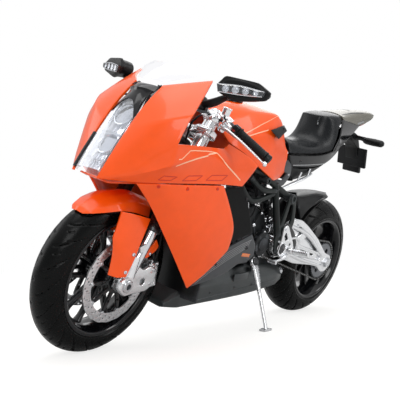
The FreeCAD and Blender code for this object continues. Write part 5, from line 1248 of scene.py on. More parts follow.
def make_rim(name, hub, matrix, bead, hub_radius, hub_half, node_name, body, inner_width,
             outer_width, thick, spread):
    """Cast wheel: rim, five pairs of spokes, hub and valve."""
    lip = bead + 0.45
    part = Part()
    profile = [    # (beyond the rim radius, y)
        (0.02, -lip + 0.35), (0.42, -lip + 0.25), (0.48, -lip + 0.02), (0.2, -lip - 0.12),
        (-0.45, -lip - 0.05), (-0.95, -lip + 0.35), (-1.15, -lip + 1.3), (-1.7, -lip + 2.0),
        (-2.25, -1.4), (-2.35, 0), (-2.25, 1.4), (-1.7, lip - 2.0), (-1.15, lip - 1.3),
        (-0.95, lip - 0.35), (-0.45, lip + 0.05), (0.2, lip + 0.12), (0.48, lip - 0.02),
        (0.42, lip - 0.25), (0.02, lip - 0.35)]
    part.add(lathe(hub, LEFT, [(RIM_RADIUS + r, y) for r, y in profile], 144, closed=True))
    # twin spokes, bowed, flared into the rim
    stations = [i / 8 for i in range(9)]
    for k in range(5):
        for sign in (-1, 1):
            a = TURN * k / 5 + math.pi / 2
            b = a + sign * spread
            root, tip = hub_radius * 0.75, RIM_RADIUS - 1.9
            p0 = Vector((root * math.cos(a + sign * 0.32), 0, root * math.sin(a + sign * 0.32)))
            p1 = Vector((tip * math.cos(b), 0, tip * math.sin(b)))
            run = p1 - p0
            normal = Vector((-run.z, 0, run.x)).normalized()
            path = [hub + p0.lerp(p1, t) + normal * (sign * 0.35 * math.sin(math.pi * t))
                    for t in stations]
            widths = [inner_width * (1 - t) + outer_width * t + 0.3 * max(0, t - 0.82) / 0.18
                      for t in stations]
            heights = [thick * (1.35 - 0.55 * t + 0.5 * max(0, t - 0.85) / 0.15)
                       for t in stations]
            part.add(squared_bar(path, normal, LEFT, widths, heights, power=0.45))
    profile = [
        (1.26, -hub_half), (hub_radius - 0.7, -hub_half), (hub_radius - 0.4, -hub_half + 0.3),
        (hub_radius - 0.5, -hub_half + 1.2), (hub_radius, -thick - 0.9),
        (hub_radius + 0.35, -thick), (hub_radius + 0.35, thick), (hub_radius, thick + 0.9),
        (hub_radius - 0.5, hub_half - 1.2), (hub_radius - 0.4, hub_half - 0.3),
        (hub_radius - 0.7, hub_half), (1.26, hub_half)]
    part.add(lathe(hub, LEFT, profile, 64, closed=True))
    a = TURN * 0.1
    out = Vector((math.cos(a), 0, math.sin(a)))
    part.add(lathe(hub + out * (RIM_RADIUS - 2.2), -out + LEFT * 0.5,
                   [(0.34, 0), (0.3, 0.4), (0.2, 0.5), (0.2, 1.3), (0.27, 1.35), (0.27, 1.8),
                    (0.001, 1.9)], 14), 1)
    part.build(name, ["black", "chrome"], "black_metal", node_name, body, matrix, split=50)


make_rim("front_wheel_casting", FRONT_HUB, FRONT, bead_half_width(FRONT_RADIUS, FRONT_CROWN),
         hub_radius=2.7, hub_half=5.0, node_name="front_rim", body="front_wheel",
         inner_width=0.75, outer_width=0.55, thick=1.1, spread=0.24)
make_rim("rear_wheel_casting", REAR_HUB, BIKE, bead_half_width(REAR_RADIUS, REAR_CROWN),
         hub_radius=3.2, hub_half=6.6, node_name="rear_rim", body="rear_wheel",
         inner_width=0.85, outer_width=0.62, thick=1.4, spread=0.22)


def make_discs(name, hub, matrix, outer, inner, y, sides, body, node_name, material, buttons,
               carrier):
    """Drilled wavy brake band on a dark carrier, joined by round buttons."""
    thick, around = 0.45, 160
    part = Part()

    def polar(radius, a):
        return (hub[0] + radius * math.cos(a), hub[2] + radius * math.sin(a))

    angles = [TURN * i / around for i in range(around)]
    outline = [polar(outer + 0.07 * math.cos(a * 20), a) for a in angles]
    holes = [[polar(inner - max(0, math.cos(a * buttons)) ** 6 * 0.75, a) for a in angles]]
    for row in range(3):
        radius = inner + 0.75 + row * (outer - inner - 1.3) / 2
        for i in range(26):
            holes.append(circle(polar(radius, TURN * (i + 0.33 * row) / 26), 0.3, 12))
    spider = [polar(carrier + 1.3 + (inner - 0.3 - carrier - 1.3)
                    * max(0, math.cos(a * buttons)) ** 1.2, a) for a in angles]
    button_angles = [TURN * i / buttons for i in range(buttons)]
    pockets = [circle((hub[0], hub[2]), carrier * 0.55, 32)]
    pockets += [circle(polar(carrier + (inner - carrier) * 0.5, a), 0.45, 14)
                for a in button_angles]
    for side in sides:
        flip = Matrix.Diagonal((1, side, 1, 1))
        part.add(plate(outline, holes, y - thick / 2, y + thick / 2, bevel=0.05, corner=0,
                       hole_corner=0, steps=1), matrix=flip)
        part.add(plate(spider, pockets, y - thick * 0.9, y + thick * 0.9, bevel=0.08, corner=0,
                       hole_corner=0, steps=1), 1, matrix=flip)
        for a in button_angles:
            x, z = polar(inner - 0.2, a)
            part.add(lathe((x, side * (y - thick * 0.95), z), (0, side, 0),
                           [(0.45, 0), (0.5, 0.06), (0.5, thick * 1.9 - 0.06),
                            (0.45, thick * 1.9), (0.25, thick * 1.9), (0.22, thick * 1.7),
                            (0.001, thick * 1.7)], 16), 2)
        for i in range(5):
            x, z = polar(carrier * 0.85, TURN * (i + 0.5) / 5)
            part.add(bolt((x, side * (y + thick * 0.85), z), (0, side, 0), 0.38, 0.28), 2)
    part.build(name, [material, "blackmetal", "steel"], "disc_steel", node_name, body, matrix,
               split=35)


REAR_DISC_Y = -7.3
make_discs("front_brake_rotors", FRONT_HUB, FRONT, outer=13.2, inner=10.3, y=6.3, sides=(1, -1),
           body="front_wheel", node_name="front_discs", material="front_disc", buttons=10,
           carrier=2.6)
make_discs("rear_brake_rotor", REAR_HUB, BIKE, outer=9.1, inner=6.5, y=REAR_DISC_Y, sides=(1,),
           body="rear_wheel", node_name="rear_disc", material="rear_disc", buttons=8,
           carrier=2.2)


# ---------------------------------------------------------------- chain
def chain_path(c0, r0, c1, r1):
    """Closed run round two sprockets, centres in (x, z)."""
    dx, dz = c1[0] - c0[0], c1[1] - c0[1]
    heading = math.atan2(dz, dx)
    wrap = math.acos((r0 - r1) / math.hypot(dx, dz))
    path = []
    for i in range(61):
        a = heading + wrap + (TURN - 2 * wrap) * i / 60
        path.append(Vector((c0[0] + r0 * math.cos(a), 0, c0[1] + r0 * math.sin(a))))
    for i in range(31):
        a = heading - wrap + 2 * wrap * i / 30
        path.append(Vector((c1[0] + r1 * math.cos(a), 0, c1[1] + r1 * math.sin(a))))
    path.append(path[0])
    return path


CHAIN_PITCH = 1.32
path = chain_path((0, 26.7), 8.9, (53.4, 36.0), 3.98)
travel = [0]
for a, b in zip(path[:-1], path[1:]):
    travel.append(travel[-1] + (b - a).length)
link_count = int(travel[-1] / CHAIN_PITCH) // 2 * 2
pins = []
for i in range(link_count):
    d = travel[-1] * i / link_count
    k = min(len(path) - 2, max(0, int(np.searchsorted(travel, d)) - 1))
    pins.append(path[k].lerp(path[k + 1], (d - travel[k]) / max(1e-9, travel[k + 1] - travel[k])))
part = Part()
for i in range(link_count):
    a, b = pins[i], pins[(i + 1) % link_count]
    tangent = (b - a).normalized()
    normal = Vector((-tangent.z, 0, tangent.x))
    # outer and inner link plates alternate
    for y0, y1 in ((8.5, 8.62), (9.18, 9.3)) if i % 2 else ((8.64, 8.76), (9.04, 9.16)):
        rim = []
        for pin, sign in ((a, -1), (b, 1)):
            for j in range(5):
                angle = -math.pi / 2 + math.pi * j / 4
                out = tangent * math.cos(angle) * sign + normal * math.sin(angle) * sign
                rim.append(pin + out * 0.43)
        count = len(rim)
        points = [Vector((p.x, y, p.z)) for y in (y0, y1) for p in rim]
        faces = [tuple(range(count)), tuple(range(2 * count - 1, count - 1, -1))]
        part.add((points, faces + ring_faces(2, count)))
    part.add(lathe((a.x, 8.46, a.z), LEFT, [(0.17, 0), (0.17, 0.3), (0.3, 0.3), (0.3, 0.58),
                                            (0.17, 0.58), (0.17, 0.88)], 8), 1)
part.build("chain_links", ["chain", "steel"], "chain_steel", "drive_chain", "rear_arm", split=30)

# ---------------------------------------------------------------- swingarm
# Outlines in (x, z), pivot end at high x.
ARM = [(44.6, 32.3), (45.3, 35), (43.9, 37.4), (40.6, 42.2), (37, 45), (32.8, 46.2), (28.6, 45.6),
       (22.4, 43), (12, 37.6), (2.6, 31), (-2.6, 29.8), (-3.9, 27.2), (-3.4, 24.2), (-0.6, 22.2),
       (3, 22.3), (7.2, 25), (14, 26), (28.6, 27.4), (40.6, 30.6)]
ARM_POCKETS = [
    [(37, 39.6), (33.4, 42.6), (29.4, 43), (24.6, 41), (33, 37.2)],
    [(21.2, 39.6), (12.2, 34.9), (8.6, 32.2), (10.4, 31.9), (27.2, 35.6)],
    [(6.2, 29.6), (5.6, 27.7), (12.5, 28.6), (25.8, 30.4), (26.4, 33.2), (12, 31.3)]]
ARM_SLOT = [(26.2, 33.6), (25.8, 32.0), (14.2, 30.4), (13.6, 31.0)]
ARM_SLOT_FRAME = [(27.4, 34.6), (26.6, 31.2), (13.4, 29.6), (11.6, 30.6), (13, 31.8)]
PIVOT_X, PIVOT_Z = 43.4, 34.8

part = Part()
for _, side in SIDES:
    part.add(plate(ARM, [], 9.75, 10.5, bevel=0.25, corner=1.6), side=side)
    part.add(plate(ARM, ARM_POCKETS, 10.2, 11.55, bevel=0.35, corner=1.6, hole_corner=0.9,
                   steps=3), side=side)
    part.add(plate(ARM_SLOT_FRAME, [ARM_SLOT], 11.2, 11.85, bevel=0.2, corner=0.6,
                   hole_corner=0.3), side=side)
    part.add(plate(ARM_SLOT, [], 11.2, 11.5, bevel=0.08, corner=0.3), 1, side)
    # pivot and axle bosses
    part.add(lathe((PIVOT_X, 9.7, PIVOT_Z), LEFT,
                   [(1.3, 0), (2.9, 0), (2.9, 1.5), (2.6, 2.1), (1.9, 2.15), (1.8, 1.7),
                    (1.3, 1.7)], 40), side=side)
    part.add(lathe((0, 9.6, 26.7), LEFT,
                   [(1.3, 0), (3.5, 0), (3.5, 1.4), (3.1, 2.05), (2.4, 2.1), (2.3, 1.85),
                    (1.3, 1.85)], 40), side=side)
    # fingers at the pivot end
    for a, b, radius in (((45.4, 11.2, 37.2), (36.6, 11.9, 39.2), 0.8),
                         ((45.9, 11.4, 33.6), (36, 12, 36.2), 0.85),
                         ((44.8, 11.3, 31), (35.4, 11.9, 32.6), 0.75),
                         ((38.8, 11.6, 42.6), (33.6, 11.8, 36.4), 0.65)):
        middle = Vector(a).lerp(Vector(b), 0.5) + Vector((0, 0.3, 0))
        part.add(tube([a, middle, b], [radius, radius * 0.9, radius * 0.5], 14, 5, flat=0.7),
                 side=side)
    for x, z in ((32, 43.9), (40.2, 33.6), (22.6, 28.6), (4.6, 26), (30.4, 36.4)):
        part.add(bolt((x, 11.5, z), LEFT, 0.6, 0.4), 2, side)
    # raised ridges along the casting
    for *ridge, radius in (((37.4, 11.35, 43.6), (22, 11.75, 39.4), (5, 11.55, 29.8), 0.95),
                           ((38.6, 11.4, 32.9), (22, 11.6, 28.7), (6, 11.5, 25.7), 0.8),
                           ((35.6, 11.6, 40.6), (30.2, 12.1, 36), (28.2, 11.7, 30.6), 1.1)):
        part.add(tube(ridge, [radius * 0.7, radius, radius * 0.6], 16, 8, flat=0.75,
                      up=(0, 0, 1)), side=side)
    # chain tensioner block behind the axle
    part.add(block((-3.4, 10.7, 26.7), (1.4, 1.6, 2.6)), side=side)
    part.add(rod((-4, 10.7, 26.7), (-5.4, 10.7, 26.7), 0.42), 2, side)
# cross web, two lugs with their pin, pivot sleeves
part.add(plate([(30, 31.2), (33.6, 30.6), (38.2, 33.2), (37.6, 36.8), (34.2, 37.2), (30, 36)], [],
               -9.9, 9.9, bevel=0.5, corner=1.0))
for y in (1.5, -2.4):
    part.add(plate([(36.2, 36.2), (32.9, 36.2), (33.2, 40.4), (34.1, 41.5), (35.2, 41.4),
                    (35.9, 40.4)], [], y, y + 0.9, bevel=0.12, corner=0.6))
part.add(rod((34.5, -2.6, 40.2), (34.5, 2.6, 40.2), 0.48), 2)
for y in (-11.5, 7.2):
    part.add(rod((PIVOT_X, y, PIVOT_Z), (PIVOT_X, y + 4.3, PIVOT_Z), 2.0, chamfer=0.2, count=36))
part.build("swingarm_casting", ["alloy", "engine", "steel"], "bright_alloy", "swingarm",
           "rear_arm", split=42)

part = Part()
part.add(rod((0, -12.5, 26.7), (0, 12.5, 26.7), 1.2, chamfer=0.15, count=30), 1)
for _, side in SIDES:
    part.add(lathe((0, side * 11.55, 26.7), (0, side, 0),
                   [(1.25, 0), (2.5, 0), (2.5, 0.2), (1.25, 0.2)], 30))
    part.add(lathe((0, side * 11.7, 26.7), (0, side, 0),
                   [(1.22, 0), (2.15, 0), (2.15, 0.85), (1.75, 1.15), (1.22, 1.15)], 6))
part.build("axle_nuts_rear", ["steel", "chrome"], "disc_steel", "rear_axle", "rear_arm",
           bevel=0.08, split=30)


# ---------------------------------------------------------------- brake calipers
def caliper(centre, rotation, length, deep, tall):
    """Caliper blocks, bridges, piston bores, bolts and a bleed screw."""
    part = Part()
    place = Matrix.Translation(Vector(centre)) @ rotation.to_4x4()
    for at, size in (
            ((0, deep * 0.30, 0), (length, deep * 0.40, tall * 0.94)),
            ((0.2, deep * 0.46, 0), (length * 0.72, deep * 0.22, tall * 0.7)),
            ((-length * 0.36, 0, -0.5 * tall * 0.78), (length * 0.3, deep * 0.92, tall * 0.16)),
            ((-length * 0.36, 0, 0.5 * tall * 0.78), (length * 0.3, deep * 0.92, tall * 0.16)),
            ((0, -deep * 0.36, 0), (length * 0.9, deep * 0.26, tall * 0.86))):
        part.add(block(at, size), matrix=place)
    for z in (-0.24, 0.24):
        part.add(lathe((0, deep * 0.48, z * tall), LEFT,
                       [(1.55, 0), (1.55, 0.35), (1.3, 0.5), (1.0, 0.5), (0.95, 0.3),
                        (0.001, 0.3)], 28), matrix=place)
    for x, z in ((-0.36, 0.42), (-0.36, -0.42), (0.4, 0.0)):
        part.add(bolt((x * length, deep * 0.5, z * tall), LEFT, 0.42, 0.32), 1, matrix=place)
    part.add(rod((0, deep * 0.3, tall * 0.46), (0, deep * 0.3, tall * 0.46 + 0.9), 0.32,
                 chamfer=0.08, count=10), 1, matrix=place)
    return part


part = caliper((106.9, 7.2, 26.5), tilt(math.radians(8)), length=4.4, deep=4.2, tall=8.4)
part.add_mirror_image()
for _, side in SIDES:
    part.add(tube(across([(106.6, 8.4, 30.9), (107.4, 9.6, 36), (108.6, 9.8, 43),
                          (107, 7.6, 50.4)], side), 0.34, 10), 2)
part.build("front_caliper_bodies", ["alloy", "steel", "rubber"], "bright_alloy",
           "front_calipers", "fork_lower", FRONT, bevel=0.22, split=32)

REAR_CALIPER_RADIUS, REAR_CALIPER_ANGLE = 8.9, math.radians(50)
part = caliper((REAR_CALIPER_RADIUS * math.cos(REAR_CALIPER_ANGLE), REAR_DISC_Y,
                26.7 + REAR_CALIPER_RADIUS * math.sin(REAR_CALIPER_ANGLE)),
               tilt(math.radians(40)) @ tilt(math.pi / 2) @ Matrix.Scale(-1, 3, (0, 1, 0)),
               length=3.4, deep=3.2, tall=4.8)
part.add(tube([(7.6, -8, 35), (14, -9.6, 38.4), (24, -9.6, 42), (34, -9.2, 46)], 0.3, 8), 2)
part.build("rear_caliper_body", ["alloy", "steel", "rubber"], "bright_alloy", "rear_caliper",
           "rear_arm", bevel=0.18, split=32)

# ---------------------------------------------------------------- fork
FORK_FOOT = [(121.6, 26.4), (121.5, 22.6), (119.2, 21.2), (114.6, 21.8), (109.6, 21.9),
             (106.6, 23.8), (106.2, 28.4), (109.2, 30.2), (112.6, 29), (115.6, 30.6), (117, 33.6),
             (118.9, 33.4), (119.6, 29)]
part = Part()
for _, side in SIDES:
    part.add(lathe(steer_point(26.0, y=FORK_Y * side), STEER_UP,
                   [(1.0, 0), (1.75, 0.1), (1.95, 0.6), (1.95, 3.4), (1.8, 3.8), (1.8, 21.2),
                    (1.0, 21.4)], 40))
    # axle clamp and caliper bracket
    part.add(plate(FORK_FOOT, [circle((112.0, 25.2), 1.15, 20), circle((119.2, 24.74), 1.3, 28)],
                   9.05, 10.25, bevel=0.28, corner=1.1, hole_corner=0.0), 1, side)
    part.add(lathe((119.2, 7.1, 24.74), LEFT,
                   [(1.3, 0), (2.5, 0), (2.9, 0.4), (3.0, 3.3), (2.7, 3.75), (2.0, 3.8),
                    (1.9, 3.3), (1.3, 3.3)], 44), 1, side)
    part.add(tube([(119, 9.2, 27.4), (118.1, 9.1, 30.4), (117.2, 9, 33.4)], [2.5, 2.15, 1.9],
                  20, 5), 1, side)
    for x, z in ((108.6, 24.2), (108.0, 28.6), (118.0, 22.3), (120.6, 23.0)):
        part.add(bolt((x, 10.2, z), LEFT, 0.5, 0.35), 2, side)
    # guard bracket
    part.add(block((115.8, 10.2, 36.2), (2.6, 0.5, 2.0), tilt(0.4)), 1, side)
part.build("fork_lower_castings", ["chrome", "alloy", "steel"], "chrome_parts", "fork_sliders",
           "fork_lower", FRONT, split=40)

part = Part()
part.add(rod((119.2, -11.2, 24.74), (119.2, 11.2, 24.74), 1.2, chamfer=0.1, count=28), 1)
for _, side in SIDES:
    part.add(lathe((119.2, side * 10.5, 24.74), (0, side, 0),
                   [(1.21, 0), (1.85, 0), (1.95, 0.15), (1.95, 0.75), (1.7, 0.95), (1.0, 0.95),
                    (0.9, 0.3), (0.001, 0.3)], 36))
part.build("front_axle_spindle", ["steel", "engine"], "disc_steel", "front_axle", "fork_lower",
           FRONT, split=34)

# Fork outer tubes: (distance up the axis, slot, sides, profile)
FORK_SHELLS = (
    (43.3, 0, 44, [(1.86, 0), (2.2, 0.02), (2.45, 0.25), (2.45, 1.5), (2.3, 1.8), (2.3, 24.6)]),
    (67.8, 1, 44, [(2.3, 0), (2.36, 0.1), (2.36, 8.6), (2.3, 8.8), (2.3, 17.3), (1.0, 17.4)]),
    (84.8, 1, 36, [(1.0, 0), (2.28, 0.0), (2.28, 0.5), (2.0, 0.7), (1.9, 1.1), (1.35, 1.15),
                   (1.25, 1.55), (0.55, 1.6), (0.5, 1.4), (0.001, 1.4)]),
    (86.1, 2, 6, [(0.7, 0), (0.7, 0.5), (0.001, 0.5)]))
part = Part()
for _, side in SIDES:
    for along, slot, count, profile in FORK_SHELLS:
        part.add(lathe(steer_point(along, y=FORK_Y * side), STEER_UP, profile, count), slot)
part.build("fork_tube_shells", ["blackmetal", "alloy", "orange_dark"], "black_metal",
           "fork_outers", "steering", FRONT, split=36)


def yoke(along, height, back):
    """Triple clamp with pinch bolts and pockets, drawn in (forward, y) off the steering axis."""
    outline = [(-back, -4.6), (-back, 4.6), (-1, 7), (-0.4, 11.9), (5.6, 11.9), (5.9, 7.4),
               (3.2, 4), (3.2, -4), (5.9, -7.4), (5.6, -11.9), (-0.4, -11.9), (-1, -7)]
    holes = [circle((FORK_OFFSET, FORK_Y * side), 2.35, 28) for side in (1, -1)]
    holes += [[(-back + 1.3, 2.2 * side), (-back + 1.3, 4 * side), (-1.6, 5.6 * side),
               (0.6, 4.6 * side), (1.6, 2.6 * side)] for side in (1, -1)]
    points, faces = plate(outline, holes, 0, height, bevel=0.25, corner=1.6, hole_corner=0.0)
    part = Part()
    part.add(([steer_point(along + up, forward, y) for forward, up, y in points], faces))
    middle = along + height * 0.5
    for side in (1, -1):
        part.add(rod(steer_point(middle, 5.4, side * 7.6), steer_point(middle, 5.4, side * 11.2),
                     0.7, chamfer=0.15, count=18))
        part.add(bolt(steer_point(middle, 5.4, side * 11.2), (0, side, 0), 0.55, 0.4), 1)
    part.add(lathe(steer_point(along + height, 0, 0), STEER_UP,
                   [(2.6, -0.05), (2.6, 0.4), (2.1, 0.6), (1.2, 0.6), (1.1, 0.1), (0.001, 0.1)],
                   32), 1)
    return part


part = yoke(along=77.2, height=2.2, back=3.6)
part.build("upper_yoke", ["alloy", "steel"], "bright_alloy", "upper_clamp", "steering", FRONT,
           split=36)
part = yoke(along=60.2, height=3.2, back=3.4)
part.add(rod(steer_point(61, 0, 0), steer_point(80.3, 0, 0), 1.35, count=30), 1)
part.build("lower_yoke", ["blackmetal", "steel"], "black_metal", "lower_clamp", "steering",
           FRONT, split=36)

# ---------------------------------------------------------------- bars, levers, grips, switches
BAR_ROOT, BAR_END = Vector((94.9, 10.9, 78.8)), Vector((90.2, 27.6, 70.4))
BAR_AXIS = (BAR_END - BAR_ROOT).normalized()
BAR_LENGTH = (BAR_END - BAR_ROOT).length
BAR_TURN = turn_to(BAR_AXIS)
LEVER_PIVOT = Vector((96.2, 13.4, 76.0))
LEVER_AXIS = Vector((0, 0.401, 0.916)).normalized()
PERCH = BAR_ROOT + BAR_AXIS * 3.0
RESERVOIR = PERCH + Vector((3.0, 0.2, 2.0))
SWITCH = BAR_ROOT + BAR_AXIS * 6.4


def from_perch(x, y, z):
    return PERCH + Vector((x, y, z))


bars, grips = Part(), Part()
for _, side in SIDES:
    # clamp ring round the fork tube with a split ear
    bars.add(lathe(steer_point(81.9), STEER_UP,
                   [(2.33, 0), (2.65, 0), (2.75, 0.15), (2.75, 2.55), (2.65, 2.7), (2.33, 2.7)],
                   44, closed=True), side=side)
    bars.add(block(steer_point(83.2, 6.0, 8.0), (1.6, 1.3, 2.4), tilt(-RAKE)), side=side)
    bars.add(bolt(steer_point(83.2, 6.9, 8.0), STEER_FORWARD, 0.5, 0.35), 2, side)
    bars.add(rod(BAR_ROOT - BAR_AXIS * 0.8, BAR_ROOT + BAR_AXIS * 2.2, 1.45, 1.2, count=30),
             side=side)
    bars.add(rod(BAR_ROOT, BAR_END, 0.95, count=26), 1, side)
    # master cylinder: perch clamp, body, small reservoir
    bars.add(lathe(PERCH - BAR_AXIS * 1.1, BAR_AXIS,
                   [(0.97, 0), (1.7, 0), (1.8, 0.15), (1.8, 2.05), (1.7, 2.2), (0.97, 2.2)], 30,
                   closed=True), side=side)
    bars.add(rod(from_perch(1.2, -0.6, 0.2), from_perch(2.0, 2.6, -1.5), 1.05, 0.8, count=22),
             side=side)
    bars.add(block(from_perch(1.6, 0.2, -0.4), (1.5, 1.8, 1.5), BAR_TURN), side=side)
    bars.add(tube([from_perch(-0.5, -0.4, -0.4), (93.9, 12.5, 75.6),
                   LEVER_PIVOT - LEVER_AXIS * 1.25], [0.6, 0.55, 0.7], 12), side=side)
    bars.add(lathe(LEVER_PIVOT - LEVER_AXIS * 1.6, LEVER_AXIS,
                   [(1.0, 0), (1.15, 0.15), (1.15, 0.9), (0.45, 0.95), (0.42, 2.4),
                    (0.62, 2.45), (0.62, 2.7), (0.001, 2.75)], 22), side=side)
    bars.add(lathe(RESERVOIR, (-0.1, 0.1, 1),
                   [(1.0, 0), (1.3, 0.15), (1.35, 1.9), (1.5, 1.95), (1.5, 2.35), (1.3, 2.5),
                    (0.001, 2.5)], 26), side=side)
    bars.add(tube([RESERVOIR + Vector((0, 0, 0.3)), RESERVOIR + Vector((-0.4, -0.2, -0.8)),
                   from_perch(1.7, 0.4, 0.4)], 0.26, 8), 3, side)
    bars.add(tube([from_perch(1.4, -1.0, 0.0), (99.2, 8.4, 78.6), (101.6, 5.6, 75.2),
                   (101.4, 4.6, 69.0)], 0.33, 8), 3, side)
    # switch box with its buttons
    grips.add(lathe(BAR_ROOT + BAR_AXIS * 5.4, BAR_AXIS,
                    [(0.97, 0), (1.55, 0), (1.7, 0.2), (1.7, 1.9), (1.55, 2.1), (0.97, 2.1)], 26,
                    closed=True), 1, side)
    grips.add(block(SWITCH + BAR_TURN @ Vector((-0.9, 0.2, 0)), (1.5, 2.4, 2.0), BAR_TURN), 1,
              side)
    for k, y in enumerate((0.7, -0.3, -1.0)):
        grips.add(block(SWITCH + BAR_TURN @ Vector((-1.65, y, 0.2 - 0.3 * k)), (0.5, 0.6, 0.9),
                        BAR_TURN), 2 if k == 1 else 0, side)
    # ribbed hand grip with flange, then the bar end
    profile = [(0.97, 7.7), (1.75, 7.7), (1.85, 7.85), (1.8, 8.15), (1.5, 8.3)]
    x = 8.5
    while x < BAR_LENGTH - 1.0:
        profile += [(1.42, x), (1.5, x + 0.12), (1.5, x + 0.42), (1.42, x + 0.54)]
        x += 0.66
    profile += [(1.55, BAR_LENGTH - 0.9), (1.6, BAR_LENGTH - 0.7), (1.6, BAR_LENGTH - 0.3),
                (0.97, BAR_LENGTH - 0.2)]
    grips.add(lathe(BAR_ROOT, BAR_AXIS, profile, 36, closed=True), side=side)
    profile = [(0.9, -0.25), (1.35, -0.2), (1.5, 0), (1.5, 1.1), (1.2, 1.4), (0.5, 1.4),
               (0.45, 1.2), (0.001, 1.2)]
    grips.add(lathe(BAR_ROOT, BAR_AXIS, [(r, BAR_LENGTH + h) for r, h in profile], 28), 1, side)
bars.build("clip_on_bars", ["alloy", "blackmetal", "steel", "rubber"], "black_metal", "clip_ons",
           "steering", FRONT, bevel=0.12, split=34)
grips.build("grips_switchgear", ["rubber", "satin", "red"], "hand_rubber", "grips_and_switches",
            "steering", FRONT, bevel=0.12, split=34)

LEVER_PATH = [(96.2, 13.4, 76.0), (96.9, 15.2, 75.6), (96.6, 17.6, 74.7), (95.9, 21.4, 73.0),
              (95.0, 26.2, 70.6), (94.6, 29.2, 69.1)]
for side, word in ((1, "clutch"), (-1, "brake")):
    part = Part()
    part.add(tube(LEVER_PATH, [0.85, 0.95, 0.8, 0.68, 0.55, 0.42], 18, 8, flat=0.62,
                  up=(1, 0, 0.1)), side=side)
    part.add(lathe(LEVER_PIVOT - LEVER_AXIS * 0.5, LEVER_AXIS,
                   [(0.5, 0), (1.05, 0), (1.15, 0.12), (1.15, 0.88), (1.05, 1.0), (0.5, 1.0)], 26,
                   closed=True), side=side)
    part.add(lathe((94.5, 29.9, 68.8), (0, 0.8, -0.6), ball_profile(0.8), 24), side=side)
    part.add(lathe(LEVER_PIVOT + Vector((1.0, 1.1, 0.1)), (0.6, -0.2, 0.7),
                   [(0.001, -0.5), (0.55, -0.45), (0.6, 0.4), (0.5, 0.5), (0.001, 0.5)], 18), 1,
             side)
    part.build(word + "_lever_blade", ["alloy", "steel"], "bright_alloy", word + "_lever",
               word + "_lever_arm", FRONT, split=45)

# ---------------------------------------------------------------- mirrors with clear lamps
LAMP_OUTLINE = [(110.75, 21.33, 86.84), (108.72, 27.38, 87.49), (106.47, 34.1, 87.12),
                (106.56, 33.83, 85.77), (108.43, 28.24, 85.08), (110.53, 21.98, 84.83)]
MIRROR_ARM = [(107, 14.6, 80.6), (106.5, 17.6, 81.8), (106.1, 20.8, 83.6), (106.4, 24.6, 84.8)]
for word, side in SIDES:
    body = word + "_mirror"
    shell = side_cage("mirror_shell", side)
    panel(shell, "mirror_case_" + word, "satin", "mirror_" + word, body, bevel=0,
          thickness=0)
    # arm swept into the case
    part = Part()
    part.add(tube(across(MIRROR_ARM, side), [1.9, 1.75, 1.35, 1.2], 18, 6, flat=0.66,
                  up=(1, 0, 0)))
    part.add(lathe((107.2, side * 14.0, 80.4), (0, side, 0.15),
                   [(1.2, -0.6), (2.3, -0.5), (2.45, -0.2), (2.45, 0.5), (1.9, 0.9),
                    (1.2, 1.2)], 26))
    for dx in (-1.1, 1.1):
        part.add(bolt((107.2 + dx, side * 14.6, 80.5 + dx * 0.3), (0, side, 0), 0.42, 0.3), 1)
    part.build("mirror_arm_" + word, ["satin", "blackmetal"], "black_gloss", body=body, split=40)
    # lamp: dark tray with round bowls
    rim = [Vector(point) for point in across(LAMP_OUTLINE, side)]
    centre = sum(rim, Vector()) / 6
    normal = (rim[1] - rim[0]).cross(rim[5] - rim[0]).normalized()
    if normal.x < 0:
        normal = -normal

    def lamp_ring(scale, lift):
        return [centre + (point - centre) * scale + normal * lift for point in rim]

    part = Part()
    part.add((lamp_ring(1.06, -0.5) + lamp_ring(1.06, 0.32) + lamp_ring(0.97, 0.42)
              + lamp_ring(0.93, 0.0), ring_faces(4, 6) + [tuple(range(18, 24))]))
    for k in range(4):
        t = 0.16 + 0.225 * k
        if t < 0.5:
            top, low = rim[0].lerp(rim[1], min(1, t * 2)), rim[5].lerp(rim[4], min(1, t * 2))
        else:
            top, low = rim[1].lerp(rim[2], t * 2 - 1), rim[4].lerp(rim[3], t * 2 - 1)
        r = (top - low).length * 0.40
        part.add(lathe(top.lerp(low, 0.5) + normal * 0.05, normal,
                       [(r, 0.0), (r + 0.08, 0.3), (r - 0.05, 0.33), (r * 0.8, 0.12),
                        (r * 0.45, 0.02), (r * 0.3, 0.25), (0.001, 0.32)], 28), 1)
    for corners in ((0, 1, 2), (5, 4, 3)):
        part.add(tube([rim[i] + normal * 0.35 for i in corners], 0.14, 8, steps=3), 1)
    part.build("mirror_lamp_tray_" + word, ["trayblack", "chrome"], "lamp_chrome",
               "mirror_lamp_" + word, body, split=30)
    part = Part()
    part.add((lamp_ring(1.0, 0.4) + lamp_ring(0.8, 0.72),
              ring_faces(2, 6) + [tuple(range(6, 12))]))
    part.build("mirror_lamp_cover_" + word, ["glass"], "clear_lens", body=body, recalc=False,
               split=20)
    # mirror glass facing the rider, inside the shell's rear ring
    rear = [Vector(point) for point in shell[0][28:35]]
    middle = sum(rear, Vector()) / 7
    part = Part()
    part.add(([middle + (point - middle) * 0.80 - normal * 0.14 for point in rear]
              + [middle + (point - middle) * 0.86 + normal * 0.25 for point in rear],
              [tuple(range(7))] + ring_faces(2, 7)))
    part.build("mirror_glass_" + word, ["chrome"], "chrome_parts", body=body, split=30)

